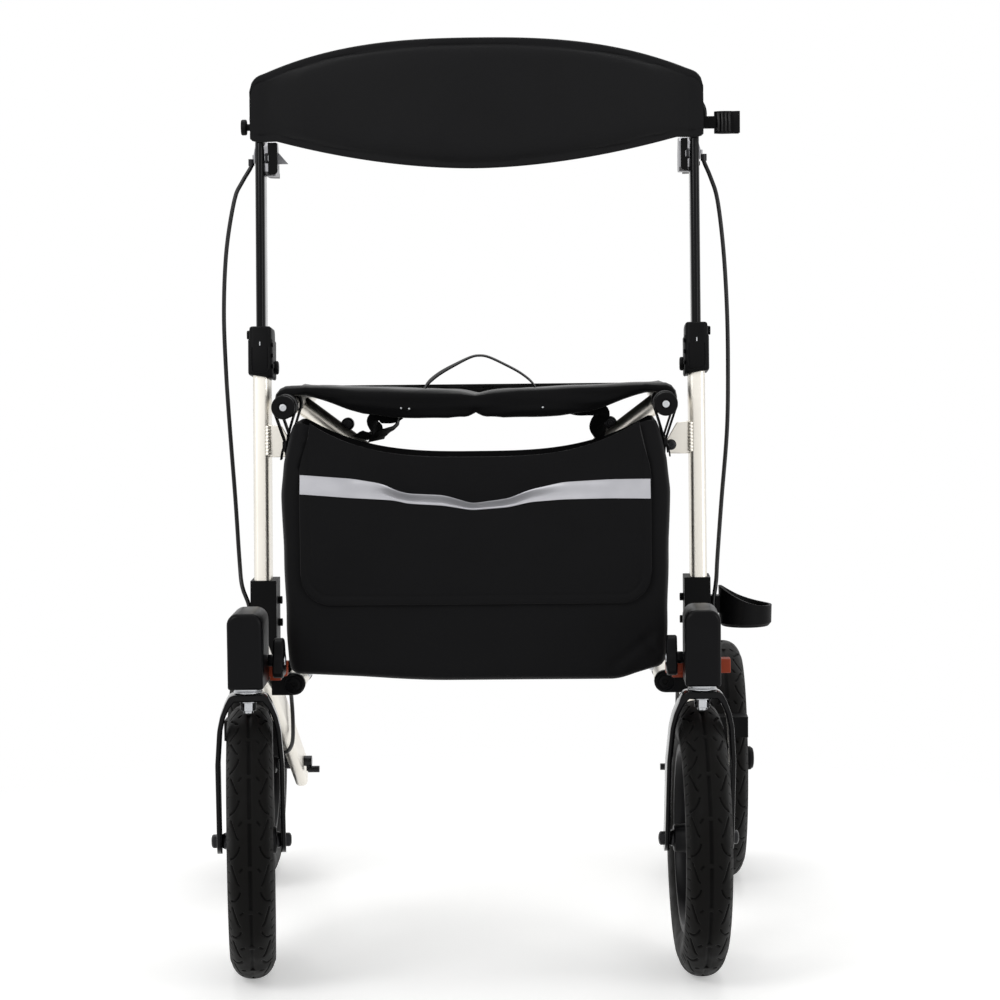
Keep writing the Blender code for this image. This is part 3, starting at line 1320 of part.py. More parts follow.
def make_cross_tube(kind, side):
    """Tube from one lower pivot up to the opposite seat rail, with its barrel and lug."""
    plane = CROSS_PLANES[kind]
    span, rise = 2 * PIVOT_X, RAIL_Z - PIVOT_Z
    angle = math.atan2(rise, span)
    length = math.hypot(span, rise)
    cosine, sine = math.cos(angle), math.sin(angle)
    segments = 16

    def ring(radius, along):
        return [
            (
                -PIVOT_X + along * cosine - v * sine,
                plane + u,
                PIVOT_Z + along * sine + v * cosine,
            )
            for u, v in circle((0.0, 0.0), radius, segments)
        ]

    outer, inner = CROSS_TUBE_RADIUS, CROSS_TUBE_RADIUS - CROSS_TUBE_WALL
    rings = [ring(outer, 0.0), ring(outer, length), ring(inner, length), ring(inner, 0.0)]
    tube = loft(rings, joined=True)
    barrel_front = PIVOT_FRONT_Y + PIVOT_PLATE + GAP
    barrel_back = PIVOT_BACK_Y - PIVOT_PLATE - GAP
    barrel = rod("Y", (-PIVOT_X, PIVOT_Z), BARREL_RADIUS, barrel_front, barrel_back)
    lug_x = -PIVOT_X + LUG_ALONG * cosine - LUG_ABOVE * sine
    lug_z = PIVOT_Z + LUG_ALONG * sine + LUG_ABOVE * cosine
    lug = turned(
        [
            (plane - LUG_LENGTH / 2 - LUG_PIN_HEIGHT, LUG_PIN_RADIUS),
            (plane - LUG_LENGTH / 2, LUG_PIN_RADIUS),
            (plane - LUG_LENGTH / 2, LUG_RADIUS),
            (plane + LUG_LENGTH / 2, LUG_RADIUS),
        ],
        "Y",
        (lug_x, lug_z),
    )
    middle_z = (PIVOT_Z + RAIL_Z) / 2
    tube = cut(
        joined(tube, barrel, lug),
        rod(
            "Y",
            (-PIVOT_X, PIVOT_Z),
            PIVOT_PIN_RADIUS + GAP,
            barrel_front - PAST,
            barrel_back + PAST,
        ),
        rod("Y", (PIVOT_X, RAIL_Z), RAIL_RADIUS + GAP, plane - PAST, plane + PAST),
        rod("Y", (0.0, middle_z), CROSS_BOLT_RADIUS + GAP, plane - PAST, plane + PAST),
    )
    place(f"cross_tube_{kind}", tube, CHAMPAGNE, (-PIVOT_X, plane, PIVOT_Z), side=side)


def make_cross_bolt():
    """Bolt at the crossing, with a spacer between the tubes."""
    front = CROSS_PLANES["a"] - CROSS_TUBE_RADIUS
    behind = CROSS_PLANES["a"] + CROSS_TUBE_RADIUS
    next_tube = CROSS_PLANES["b"] - CROSS_TUBE_RADIUS
    back = CROSS_PLANES["b"] + CROSS_TUBE_RADIUS
    face = front - GAP - CROSS_BOLT_HEAD_HEIGHT
    bolt = turned(
        [
            (face, CROSS_BOLT_HEAD - CROSS_BOLT_CHAMFER),
            (face + CROSS_BOLT_CHAMFER, CROSS_BOLT_HEAD),
            (front - GAP, CROSS_BOLT_HEAD),
            (front - GAP, CROSS_BOLT_RADIUS),
            (behind + GAP, CROSS_BOLT_RADIUS),
            (behind + GAP, CROSS_BOLT_HEAD),
            (next_tube - GAP, CROSS_BOLT_HEAD),
            (next_tube - GAP, CROSS_BOLT_RADIUS),
            (back + GAP, CROSS_BOLT_RADIUS),
            (back + GAP, CROSS_BOLT_HEAD),
            (back + GAP + CROSS_BOLT_HEAD_HEIGHT, CROSS_BOLT_HEAD),
        ],
        "Y",
        (0.0, (PIVOT_Z + RAIL_Z) / 2),
    )
    place("cross_bolt", bolt, STEEL, (0.0, CROSS_PLANES["a"], (PIVOT_Z + RAIL_Z) / 2))


def make_rail(label, side):
    """Seat rail: a tube with a cap on its front end and a collar in front of the seat."""
    cap_end = RAIL_FRONT_Y + RAIL_CAP_LENGTH
    profile = [
        (cap_end + RAIL_CAP_PLUG, RAIL_RADIUS - RAIL_WALL),
        (RAIL_BACK_Y, RAIL_RADIUS - RAIL_WALL),
        (RAIL_BACK_Y, RAIL_RADIUS),
        (COLLAR_Y + COLLAR_LENGTH, RAIL_RADIUS),
        (COLLAR_Y + COLLAR_LENGTH, COLLAR_RADIUS),
        (COLLAR_Y, COLLAR_RADIUS),
        (COLLAR_Y, RAIL_RADIUS),
        (cap_end, RAIL_RADIUS),
        (cap_end, RAIL_CAP_RADIUS),
        (RAIL_FRONT_Y + RAIL_CAP_EDGE, RAIL_CAP_RADIUS),
        (RAIL_FRONT_Y, RAIL_CAP_RADIUS - RAIL_CAP_EDGE),
    ]
    rail = turned(profile, "Y", (PIVOT_X, RAIL_Z))
    place(f"seat_rail_{label}", rail, CHAMPAGNE, (PIVOT_X, RAIL_FRONT_Y, RAIL_Z), side=side)


def seat_half_section(hem):
    """Right half of the seat's section from its top middle round the rail to its bottom middle."""
    side_top = RAIL_Z + SEAT_SIDE_TOP
    outer = RAIL_RADIUS + GAP + SEAT_TUCK
    top = [(0.0, side_top - SEAT_SAG - SEAT_CREASE)]
    for share in SEAT_SHARES:
        sag = SEAT_SAG * (1 - share**SEAT_SAG_POWER)
        top.append((PIVOT_X * share, side_top - sag))
    top += [
        (PIVOT_X - SEAT_TURN_IN, side_top),
        (PIVOT_X + SEAT_TURN_OUT, side_top - SEAT_TURN_DROP),
        (PIVOT_X + outer, RAIL_Z + SEAT_SIDE_HIGH),
        (PIVOT_X + outer, RAIL_Z - SEAT_SIDE_LOW),
    ]
    bottom = arc((PIVOT_X, RAIL_Z), RAIL_RADIUS + GAP, 0, 110, 5)
    for share in reversed(SEAT_SHARES):
        sag = SEAT_SAG * (1 - share**SEAT_SAG_POWER)
        bottom.append((PIVOT_X * share, side_top - sag - SEAT_THICKNESS - hem))
    bottom.append((0.0, side_top - SEAT_SAG - SEAT_THICKNESS - hem + SEAT_CREASE))
    return top, bottom


def make_seat():
    """Folding seat hung over both rails, with a crease down its middle and a strap to lift it."""
    rings = []
    stations = [
        (SEAT_FRONT_Y, SEAT_HEM, SEAT_EDGE),
        (SEAT_FRONT_Y + SEAT_EDGE, SEAT_HEM, 0.0),
        (SEAT_FRONT_Y + SEAT_HEM_DEPTH, SEAT_HEM, 0.0),
        (SEAT_FRONT_Y + SEAT_HEM_DEPTH + SEAT_EDGE, 0.0, SEAT_EDGE),
        ((SEAT_FRONT_Y + SEAT_BACK_Y) / 2, 0.0, SEAT_HOLLOW),
        (SEAT_BACK_Y - SEAT_EDGE, 0.0, 0.0),
        (SEAT_BACK_Y, 0.0, SEAT_EDGE),
    ]
    for y, hem, lowered in stations:
        top, bottom = seat_half_section(hem)
        half = [(x, z - lowered) for x, z in top] + bottom
        mirrored = [(-x, z) for x, z in reversed(half)]
        outline = half + mirrored[1:-1]
        rings.append([(x, y, z) for x, z in outline])
    seat = loft(rings)
    bmesh.ops.triangulate(seat, faces=seat.faces)
    notch = RAIL_RADIUS + GAP + SEAT_TUCK + SEAT_NOTCH_CLEARANCE
    for side in SIDES.values():
        reach = BAG_LOOP_WIDTH / 2 + 2 * GAP
        centre = (side * PIVOT_X, RAIL_Z)
        hollow = rod("Y", centre, notch, BAG_LOOPS_Y[1] - reach, BAG_LOOPS_Y[1] + reach)
        seat = cut(seat, hollow)
    foot = RAIL_Z + SEAT_SIDE_TOP - SEAT_SAG - STRAP_SUNK
    path = []
    for k in range(STRAP_STEPS + 1):
        share = 2 * k / STRAP_STEPS - 1
        x = STRAP_SHIFT * (1 - share * share) + STRAP_HALF_SPAN * share
        path.append((x, foot + (STRAP_RISE + STRAP_SUNK) * (1 - abs(share) ** STRAP_POWER)))
    under = [(STRAP_INNER_SHARE * x, z - STRAP_THICKNESS) for x, z in path]
    outline = path + under[::-1]
    strap = prism(outline, "Y", STRAP_Y - STRAP_WIDTH / 2, STRAP_Y + STRAP_WIDTH / 2)
    place("seat_sling", joined(seat, strap), FABRIC, (0.0, SEAT_FRONT_Y, RAIL_Z))


def bag_ring(inset, z, rim=False):
    """Rounded plan outline of the bag at a height, drawn in by inset."""
    share = (z - BAG_BOTTOM) / (BAG_TOP - BAG_BOTTOM)
    half = BAG_BOTTOM_HALF + (BAG_TOP_HALF - BAG_BOTTOM_HALF) * share - inset
    depth = BAG_BACK_Y - BAG_FRONT_Y - 2 * inset
    middle = (BAG_FRONT_Y + BAG_BACK_Y) / 2
    corner = BAG_CORNER - inset
    flat = half - corner
    points = []
    steps = 6
    front, back = -depth / 2, depth / 2
    for k in range(1, steps):
        points.append((-flat + 2 * flat * k / steps, front))
    points += arc((flat, front + corner), corner, -90, 0, 3)
    points += arc((flat, back - corner), corner, 0, 90, 3)
    for k in range(1, steps):
        points.append((flat - 2 * flat * k / steps, back))
    points += arc((-flat, back - corner), corner, 90, 180, 3)
    points += arc((-flat, front + corner), corner, 180, 270, 3)
    return [(x, middle + y, bag_rim(x) if rim else z) for x, y in points]


def strap_ring(x, y, z):
    """Level section of a bag strap about a point."""
    across, along = BAG_STRAP_THICKNESS / 2, BAG_LOOP_WIDTH / 2 - OVERLAP / 2
    corners = [(-across, -along), (across, -along), (across, along), (-across, along)]
    return [(x + u, y + v, z) for u, v in corners]


def make_bag():
    """Open bag hung from the rails by four webbing loops."""
    inner_floor = BAG_BOTTOM + BAG_WALL
    body = loft(
        [
            bag_ring(2 * BAG_WALL, inner_floor),
            bag_ring(BAG_WALL, inner_floor + BAG_FLOOR_ROUND),
            bag_ring(BAG_WALL, BAG_TOP, rim=True),
            bag_ring(0.0, BAG_TOP, rim=True),
            bag_ring(0.0, BAG_BOTTOM + BAG_FLOOR_ROUND),
            bag_ring(BAG_WALL, BAG_BOTTOM),
        ]
    )
    inner = RAIL_RADIUS + GAP
    outer = inner + BAG_LOOP_THICKNESS
    for side in SIDES.values():
        for y in BAG_LOOPS_Y:
            low, high = y - BAG_LOOP_WIDTH / 2, y + BAG_LOOP_WIDTH / 2
            loop = turned(
                [(low, inner), (high, inner), (high, outer), (low, outer)],
                "Y",
                (side * PIVOT_X, RAIL_Z),
                joined=True,
            )
            ends = [
                (side * (BAG_TOP_HALF - BAG_WALL / 2), BAG_TOP - BAG_STRAP_SEWN),
                (side * PIVOT_X, RAIL_Z - inner - BAG_LOOP_THICKNESS / 2),
            ]
            strap = loft([strap_ring(x, y, z) for x, z in ends])
            body = joined(body, loop, strap)
    place("bag_body", body, FABRIC, (0.0, BAG_FRONT_Y, BAG_TOP))


def make_flap():
    """Front flap of the bag, hinged along the bag's sagging front edge."""
    outline = []
    steps = 10
    for k in range(steps + 1):
        x = FLAP_HALF * (1 - 2 * k / steps)
        outline.append((x, bag_rim(x)))
    low = FLAP_BOTTOM + FLAP_CORNER
    outline += arc((-FLAP_HALF + FLAP_CORNER, low), FLAP_CORNER, 180, 270, 5)
    outline += arc((FLAP_HALF - FLAP_CORNER, low), FLAP_CORNER, 270, 360, 5)
    back = BAG_FRONT_Y - GAP
    flap = prism(outline, "Y", back - FLAP_THICKNESS, back)
    place("bag_flap", flap, FABRIC, (0.0, back, BAG_TOP))


def make_backrest():
    """Padded strap that bows forwards between the handles."""
    back_y = handle_front_y(BACKREST_LOW) - GAP
    rings = []
    for k in range(BACKREST_STEPS + 1):
        x = BACKREST_HALF * (2 * k / BACKREST_STEPS - 1)
        share = abs(x) / BACKREST_HALF
        bow = 1 - min(1.0, abs(x) / BACKREST_FLAT_HALF) ** 2
        y = back_y - BACKREST_BULGE * bow
        low = BACKREST_LOW - BACKREST_DROP * (1 - share**2)
        high = BACKREST_HIGH + BACKREST_RISE * (1 - share**BACKREST_RISE_POWER)
        thick = BACKREST_EDGE + (BACKREST_MIDDLE - BACKREST_EDGE) * min(1.0, 3 * bow)
        edge = BACKREST_EDGE
        middle, reach = (low + high) / 2, (high - low) / 2
        lip, flat = BACKREST_ROUND_SHARE * reach, BACKREST_FLAT_SHARE * reach
        ring = [
            (y, middle - lip),
            (y - edge / 2, middle - reach),
            (y - edge, middle - lip),
            (y - thick, middle - flat),
            (y - thick, middle + flat),
            (y - edge, middle + lip),
            (y - edge / 2, middle + reach),
            (y, middle + lip),
        ]
        rings.append([(x, *point) for point in ring])
    rest = loft(rings)
    pad = BACKREST_PAD / 2
    for side in SIDES.values():
        edges = sorted((side * (UPRIGHT_X - pad), side * (UPRIGHT_X + pad)))
        low = (edges[0], back_y - BACKREST_EDGE / 2, BACKREST_LOW + GAP)
        high = (edges[1], back_y + BACKREST_PAD / 2, BACKREST_LOW + BACKREST_PAD)
        rest = joined(rest, block(low, high))
        bore = oval(HANDLE_WIDTH + 2 * GAP, HANDLE_DEPTH + 2 * GAP)
        tube = [handle_ring(bore, station) for station in handle_path()]
        rest = cut(rest, loft([[(side * x, y, z) for x, y, z in ring] for ring in tube]))
    place("backrest", rest, FABRIC, (0.0, back_y, (BACKREST_LOW + BACKREST_HIGH) / 2))


def make_back_knob():
    """Thumb knob on the left handle that holds the backrest's end."""
    seat = UPRIGHT_X + HANDLE_WIDTH / 2 + GAP
    head = seat + BACK_KNOB_STEM
    knob = turned(
        [
            (seat, BACK_KNOB_RADIUS / 2),
            (head, BACK_KNOB_RADIUS / 2),
            (head, BACK_KNOB_RADIUS),
            (head + BACK_KNOB_LENGTH - BACK_KNOB_EDGE, BACK_KNOB_RADIUS),
            (head + BACK_KNOB_LENGTH, BACK_KNOB_RADIUS - BACK_KNOB_EDGE),
        ],
        "X",
        (BACK_KNOB_Y, BACK_KNOB_Z),
    )
    pivot = (seat, BACK_KNOB_Y, BACK_KNOB_Z)
    place("back_knob", knob, BLACK_PLASTIC, pivot, side=SIDES["left"])


def make_stick_cup():
    """Round cup for a stick's foot, with a rim that falls away outwards."""
    socket_face = UPRIGHT_X - SOCKET_INNER + SOCKET_WIDTH
    centre_x = socket_face + CUP_FROM_SOCKET + CUP_RADIUS
    segments = 28

    def ring(radius, z):
        return [(x, y, z) for x, y in circle((centre_x, CUP_Y), radius, segments)]

    def rim(radius):
        points = []
        for x, y in circle((centre_x, CUP_Y), radius, segments):
            share = (centre_x + radius - x) / (2 * radius)
            points.append((x, y, CUP_RIM_OUTER + (CUP_RIM_INNER - CUP_RIM_OUTER) * share**2))
        return points

    inner = CUP_RADIUS - CUP_WALL
    cup = loft(
        [
            ring(inner - CUP_FLOOR_ROUND, CUP_BOTTOM + CUP_FLOOR),
            rim(inner),
            rim(CUP_RADIUS),
            ring(CUP_RADIUS - CUP_TAPER, CUP_BOTTOM + CUP_FOOT_ROUND),
            ring(CUP_RADIUS - CUP_FOOT_ROUND, CUP_BOTTOM),
        ]
    )
    stub = block(
        (socket_face + GAP, CUP_STUB_FRONT_Y, CUP_BOTTOM + CUP_STUB_LOW),
        (centre_x - CUP_RADIUS + CUP_WALL / 2, CUP_STUB_BACK_Y, CUP_BOTTOM + CUP_STUB_HIGH),
    )
    place("stick_cup", joined(cup, stub), BLACK_PLASTIC, (socket_face, CUP_Y, CUP_BOTTOM))


def make_stick_clip():
    """Spring clip for a stick's shaft on the right handle, open outwards."""
    seat = UPRIGHT_X + HANDLE_WIDTH / 2 + GAP
    centre_x = seat + CLIP_NECK + CLIP_RADIUS
    opening = math.degrees(CLIP_OPENING)
    centre = (centre_x, CLIP_Y)
    outline = arc(centre, CLIP_RADIUS, opening, 360 - opening, 20)
    reach = CLIP_FLARE * math.cos(CLIP_OPENING / 2)
    spread = CLIP_FLARE * math.sin(CLIP_OPENING / 2)
    outer_x = centre_x + CLIP_RADIUS * math.cos(CLIP_OPENING)
    outer_y = CLIP_RADIUS * math.sin(CLIP_OPENING)
    outline.append((outer_x + reach, CLIP_Y - outer_y - spread))
    outline += arc(centre, CLIP_RADIUS - CLIP_WALL, 360 - opening, opening, 20)
    outline.append((outer_x + reach, CLIP_Y + outer_y + spread))
    clip = prism(outline, "Z", CLIP_LOW, CLIP_LOW + CLIP_HEIGHT)
    neck = block(
        (seat, CLIP_Y - CLIP_NECK_WIDTH / 2, CLIP_LOW + CLIP_NECK_LOW),
        (
            centre_x - CLIP_RADIUS + CLIP_WALL / 2,
            CLIP_Y + CLIP_NECK_WIDTH / 2,
            CLIP_LOW + CLIP_NECK_LOW + CLIP_NECK_HEIGHT,
        ),
    )
    place("stick_clip", joined(clip, neck), BLACK_PLASTIC, (seat, CLIP_Y, CLIP_LOW))


clear_scene()

CHAMPAGNE = finish("champagne_anodised", (0.72, 0.68, 0.58), 0.35, 0.8)
SATIN_BLACK = finish("satin_black_metal", (0.02, 0.02, 0.022), 0.4, 0.6)
BLACK_PLASTIC = finish("black_plastic", (0.015, 0.015, 0.017), 0.5)
RUBBER = finish("black_rubber", (0.02, 0.02, 0.02), 0.8)
STEEL = finish("bright_steel", (0.6, 0.6, 0.6), 0.3, 1.0)
RED = finish("red_plastic", (0.55, 0.06, 0.02), 0.45)
FABRIC = finish("black_fabric", (0.012, 0.012, 0.014), 0.85)

FRAME = empty("rollator", (0.0, -REAR_AXLE_Y / 2, 0.0))

for LABEL, SIDE in SIDES.items():
    CASTER = empty(f"caster_{LABEL}", (SIDE * STEER_X, STEER_Y, 0.0), CASTER_REST[LABEL], FRAME)
    make_beam(LABEL, SIDE)
    make_housing(LABEL, SIDE)
    make_swivel_lock(LABEL, SIDE)
    make_hand_knob(LABEL, SIDE)
    make_stem(LABEL, CASTER)
    make_fork(LABEL, CASTER)
    make_front_wheel(LABEL, CASTER)
    make_rear_wheel(LABEL, SIDE)
    make_brake_arm(LABEL, SIDE)
    make_socket(LABEL, SIDE)
    make_upright(LABEL, SIDE)
    make_clamp(LABEL, SIDE)
    make_handle(LABEL, SIDE)
    make_lever(LABEL, SIDE)
    make_cable(LABEL, SIDE)
    make_pivot_bracket(LABEL, SIDE)
    make_rail(LABEL, SIDE)

make_cross_tube("a", SIDES["right"])
make_cross_tube("b", SIDES["left"])
make_cross_bolt()
make_seat()
make_bag()
make_flap()
make_backrest()
make_back_knob()
make_stick_cup()
make_stick_clip()
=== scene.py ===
# %% [markdown]
# # A folding all-terrain rollator
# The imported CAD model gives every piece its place. This lesson dresses it: it rebuilds the
# visible pieces with softer edges and finer forms, gives each the finish of its real
# material, and lights the whole like a studio photograph on white.

import json
import math

import bmesh
import bpy
import numpy as np
from mathutils import Matrix, Vector, noise

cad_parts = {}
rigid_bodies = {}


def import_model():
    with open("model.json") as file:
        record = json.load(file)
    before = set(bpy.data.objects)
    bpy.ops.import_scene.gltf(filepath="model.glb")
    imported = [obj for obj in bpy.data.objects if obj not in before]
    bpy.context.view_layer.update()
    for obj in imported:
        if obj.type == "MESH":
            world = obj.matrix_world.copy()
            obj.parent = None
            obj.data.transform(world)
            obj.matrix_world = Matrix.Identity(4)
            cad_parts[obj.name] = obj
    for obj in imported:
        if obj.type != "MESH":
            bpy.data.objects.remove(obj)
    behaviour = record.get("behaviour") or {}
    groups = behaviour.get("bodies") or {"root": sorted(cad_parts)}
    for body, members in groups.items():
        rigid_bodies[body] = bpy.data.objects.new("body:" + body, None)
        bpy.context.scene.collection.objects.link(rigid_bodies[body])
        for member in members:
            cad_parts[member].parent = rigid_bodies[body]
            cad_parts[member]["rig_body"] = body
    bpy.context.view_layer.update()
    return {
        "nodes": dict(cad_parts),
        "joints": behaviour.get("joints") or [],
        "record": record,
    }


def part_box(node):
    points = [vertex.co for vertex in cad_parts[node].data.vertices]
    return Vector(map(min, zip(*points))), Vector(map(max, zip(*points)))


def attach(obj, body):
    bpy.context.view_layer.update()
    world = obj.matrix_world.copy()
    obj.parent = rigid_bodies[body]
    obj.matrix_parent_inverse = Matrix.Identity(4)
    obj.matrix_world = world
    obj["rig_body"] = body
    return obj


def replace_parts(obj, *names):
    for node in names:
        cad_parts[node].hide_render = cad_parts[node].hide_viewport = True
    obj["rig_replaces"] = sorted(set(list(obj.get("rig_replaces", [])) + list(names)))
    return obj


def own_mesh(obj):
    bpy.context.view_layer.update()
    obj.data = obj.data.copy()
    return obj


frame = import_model()

# %% [markdown]
# ## Where things are
# Positions could be typed in again, but then a change of the CAD model would pull the two
# apart. They are measured on its nodes, so a piece lands where its solid is. Distances along
# Y are counted from the front axles, half a metre ahead of the rear ones.

# %% Measure the frame
SIDES = {"left": -1, "right": 1}


def centre(node):
    low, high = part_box(node)
    return (low + high) / 2


def span(node):
    low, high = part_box(node)
    return high - low


WHEELBASE = 0.500
REAR = centre("rear_tyre_right")
FRONT_Y = REAR.y - WHEELBASE
WHEEL_RADIUS = span("rear_tyre_right").z / 2
TYRE_WIDTH = span("rear_tyre_right").x
POST_X = centre("handle_tube_right").x
PIVOT_X = centre("seat_rail_right").x
RAIL_Z = centre("seat_rail_right").z
GAP = 0.0003
print(f"wheel radius {WHEEL_RADIUS:.3f} m, rails {2 * PIVOT_X:.3f} m apart at {RAIL_Z:.3f} m")

# %% [markdown]
# ## Colour and nodes
# Colours are written as the hex values that a paint card gives, and one function turns them
# into the linear values that shaders work with. Nodes could be wired by hand in Blender's
# editor, but a small function that adds a node, sets it and links it keeps every material
# readable from top to bottom. Real surfaces are never quite even, so each finish drifts a
# little in tone and shine, has its own grain, and shines more towards its outline.


# %% Colour and node helpers
def linear(code):
    channels = [int(code[k : k + 2], 16) / 255 for k in (1, 3, 5)]
    curved = [c / 12.92 if c <= 0.04045 else ((c + 0.055) / 1.055) ** 2.4 for c in channels]
    return (*curved, 1.0)


def add(tree, kind, inputs=(), **settings):
    """A node with its settings; inputs pairs a socket's name or number with a value or a link."""
    node = tree.nodes.new(kind)
    for name, value in settings.items():
        setattr(node, name, value)
    for socket, value in inputs:
        if isinstance(value, bpy.types.NodeSocket):
            tree.links.new(value, node.inputs[socket])
        else:
            node.inputs[socket].default_value = value
    return node


def finish(name, code, roughness, metallic=0.0, **shader_values):
    """A new material with its shader: returns material, node tree and shader node."""
    material = bpy.data.materials.new(name)
    material.use_nodes = True
    tree = material.node_tree
    shader = tree.nodes["Principled BSDF"]
    shader.inputs["Base Color"].default_value = linear(code)
    shader.inputs["Roughness"].default_value = roughness
    shader.inputs["Metallic"].default_value = metallic
    for socket, value in shader_values.items():
        shader.inputs[socket.replace("_", " ")].default_value = value
    return material, tree, shader


# Nearly all of a noise texture lies between these two values
NOISE_LOW, NOISE_HIGH = 0.3, 0.7
# Turned this far from face on a surface begins to shine more, and here it shines most
TURNED_FROM, TURNED_TO = 0.25, 0.85


def per_metre(size_mm):
    """A pattern's scale from its size in millimetres."""
    return 1000 / size_mm


def mottle(tree, shader, code_a, code_b, size_mm, low, high):
    """Colour and roughness that drift over the surface in patches of a size."""
    place = add(tree, "ShaderNodeTexCoord").outputs["Object"]
    shape = [("Vector", place), ("Scale", per_metre(size_mm)), ("Detail", 3.0)]
    patches = add(tree, "ShaderNodeTexNoise", shape).outputs[0]
    tones = [(0, patches), (6, linear(code_a)), (7, linear(code_b))]
    mix = add(tree, "ShaderNodeMix", tones, data_type="RGBA")
    tree.links.new(mix.outputs[2], shader.inputs["Base Color"])
    ranges = [(0, patches), (1, NOISE_LOW), (2, NOISE_HIGH), (3, low), (4, high)]
    rough = add(tree, "ShaderNodeMapRange", ranges)
    tree.links.new(rough.outputs[0], shader.inputs["Roughness"])
    return place


def grain(tree, shader, place, size_mm, depth_mm, strength):
    """Fine relief of random grains."""
    shape = [("Vector", place), ("Scale", per_metre(size_mm)), ("Detail", 2.0)]
    height = add(tree, "ShaderNodeTexNoise", shape).outputs[0]
    relief = [("Strength", strength), ("Distance", depth_mm / 1000), ("Height", height)]
    bump = add(tree, "ShaderNodeBump", relief)
    tree.links.new(bump.outputs[0], shader.inputs["Normal"])


def glancing_shine(tree, shader, face_on, at_edge):
    """A shine that is faint where a surface is seen face on and rises towards its outline."""
    facing = add(tree, "ShaderNodeLayerWeight", [("Blend", 0.5)]).outputs["Facing"]
    ranges = [(0, facing), (1, TURNED_FROM), (2, TURNED_TO), (3, face_on), (4, at_edge)]
    level = add(tree, "ShaderNodeMapRange", ranges)
    tree.links.new(level.outputs[0], shader.inputs["Specular IOR Level"])


print("anodised champagne in linear light:", [round(c, 3) for c in linear("#F0ECE2")])

# %% [markdown]
# ## Metals
# The frame is extruded aluminium, blasted and anodised in a pale champagne: the oxide layer
# keeps it bright but blurs reflections evenly. Levers, housings and knobs wear a satin black
# powder coat, whose tell-tale is a soft orange peel, and forks and handles a glossier black
# coat. Axles, nuts and bolts are zinc plated, a colder grey with small patches in its shine.
# A photograph of each metal could be wrapped round the pieces, but numbers that follow the
# real process stay sharp at every distance and need no file.

# %% Metal finishes
anodised, tree, shader = finish("anodised_champagne_aluminium", "#F0ECE2", 0.36, 1.0)
place = mottle(tree, shader, "#EDE8DD", "#F4F0E8", 60, 0.32, 0.40)
# Blasting leaves pits of about 0.1 mm, drawn here at 0.7 mm so that a render can show them
grain(tree, shader, place, 0.7, 0.03, 0.25)

powder, tree, shader = finish("satin_black_powder_coat", "#0B0B0D", 0.32)
glancing_shine(tree, shader, 0.09, 0.03)
place = mottle(tree, shader, "#080809", "#0D0D0F", 40, 0.27, 0.37)
# Orange peel in powder coat repeats every 1 to 2 mm
grain(tree, shader, place, 1.6, 0.05, 0.35)

# The forks' coat is thicker and glossier: seen along its surface it mirrors the white around it
enamel, tree, shader = finish("gloss_black_enamel", "#0B0B0D", 0.14)
glancing_shine(tree, shader, 0.12, 1.0)
mottle(tree, shader, "#080809", "#0D0D0F", 40, 0.11, 0.18)

zinc, tree, shader = finish("zinc_plated_steel", "#C3C5C8", 0.28, 1.0)
place = mottle(tree, shader, "#B4B6BA", "#CFD1D3", 9, 0.2, 0.4)
grain(tree, shader, place, 0.8, 0.02, 0.3)

# Brake levers and their mounts are die cast and only tumbled, so they are greyer
cast_grey, tree, shader = finish("tumbled_cast_aluminium", "#98989B", 0.42, 1.0)
place = mottle(tree, shader, "#8E8E91", "#A4A4A7", 12, 0.36, 0.50)
grain(tree, shader, place, 0.9, 0.04, 0.35)

blackened, tree, shader = finish("black_oxide_steel", "#1A1A1C", 0.3, 0.6)
mottle(tree, shader, "#141416", "#242427", 7, 0.22, 0.4)
print("metal finishes:", [m.name for m in (anodised, powder, enamel, zinc, cast_grey, blackened)])

# %% [markdown]
# ## Plastics
# Sockets and clamps are glass-filled nylon moulded in a spark-eroded tool, which prints a
# fine even texture that kills hard highlights. The swivel locks are the same nylon in a
# signal red, and the cable casings are smooth extruded PVC. A plain black would do from far
# off; the grain is there because moulded black is told from painted black by it.

# %% Plastic finishes
nylon, tree, shader = finish("moulded_black_nylon", "#0B0B0C", 0.46, IOR=1.53)
glancing_shine(tree, shader, 0.07, 0.05)
place = mottle(tree, shader, "#09090A", "#0E0E0F", 30, 0.40, 0.52)
# Spark texture is about 0.2 mm and is drawn at 0.9 mm
grain(tree, shader, place, 0.9, 0.05, 0.45)

red_nylon, tree, shader = finish("moulded_red_nylon", "#8C3316", 0.42, IOR=1.53, Specular_IOR_Level=0.25)
place = mottle(tree, shader, "#822C11", "#96391A", 14, 0.36, 0.48)
grain(tree, shader, place, 0.9, 0.04, 0.3)

rim_nylon, tree, shader = finish("glass_filled_rim_nylon", "#0E0E10", 0.36, IOR=1.53)
glancing_shine(tree, shader, 0.12, 0.06)
place = mottle(tree, shader, "#0B0B0C", "#121214", 30, 0.30, 0.42)
grain(tree, shader, place, 0.9, 0.04, 0.35)

casing, tree, shader = finish("extruded_black_pvc", "#0A0A0B", 0.24, IOR=1.52)
glancing_shine(tree, shader, 0.25, 0.7)
mottle(tree, shader, "#0A0A0B", "#0F0F10", 25, 0.20, 0.30)
print("plastic finishes:", [m.name for m in (nylon, red_nylon, rim_nylon, casing)])
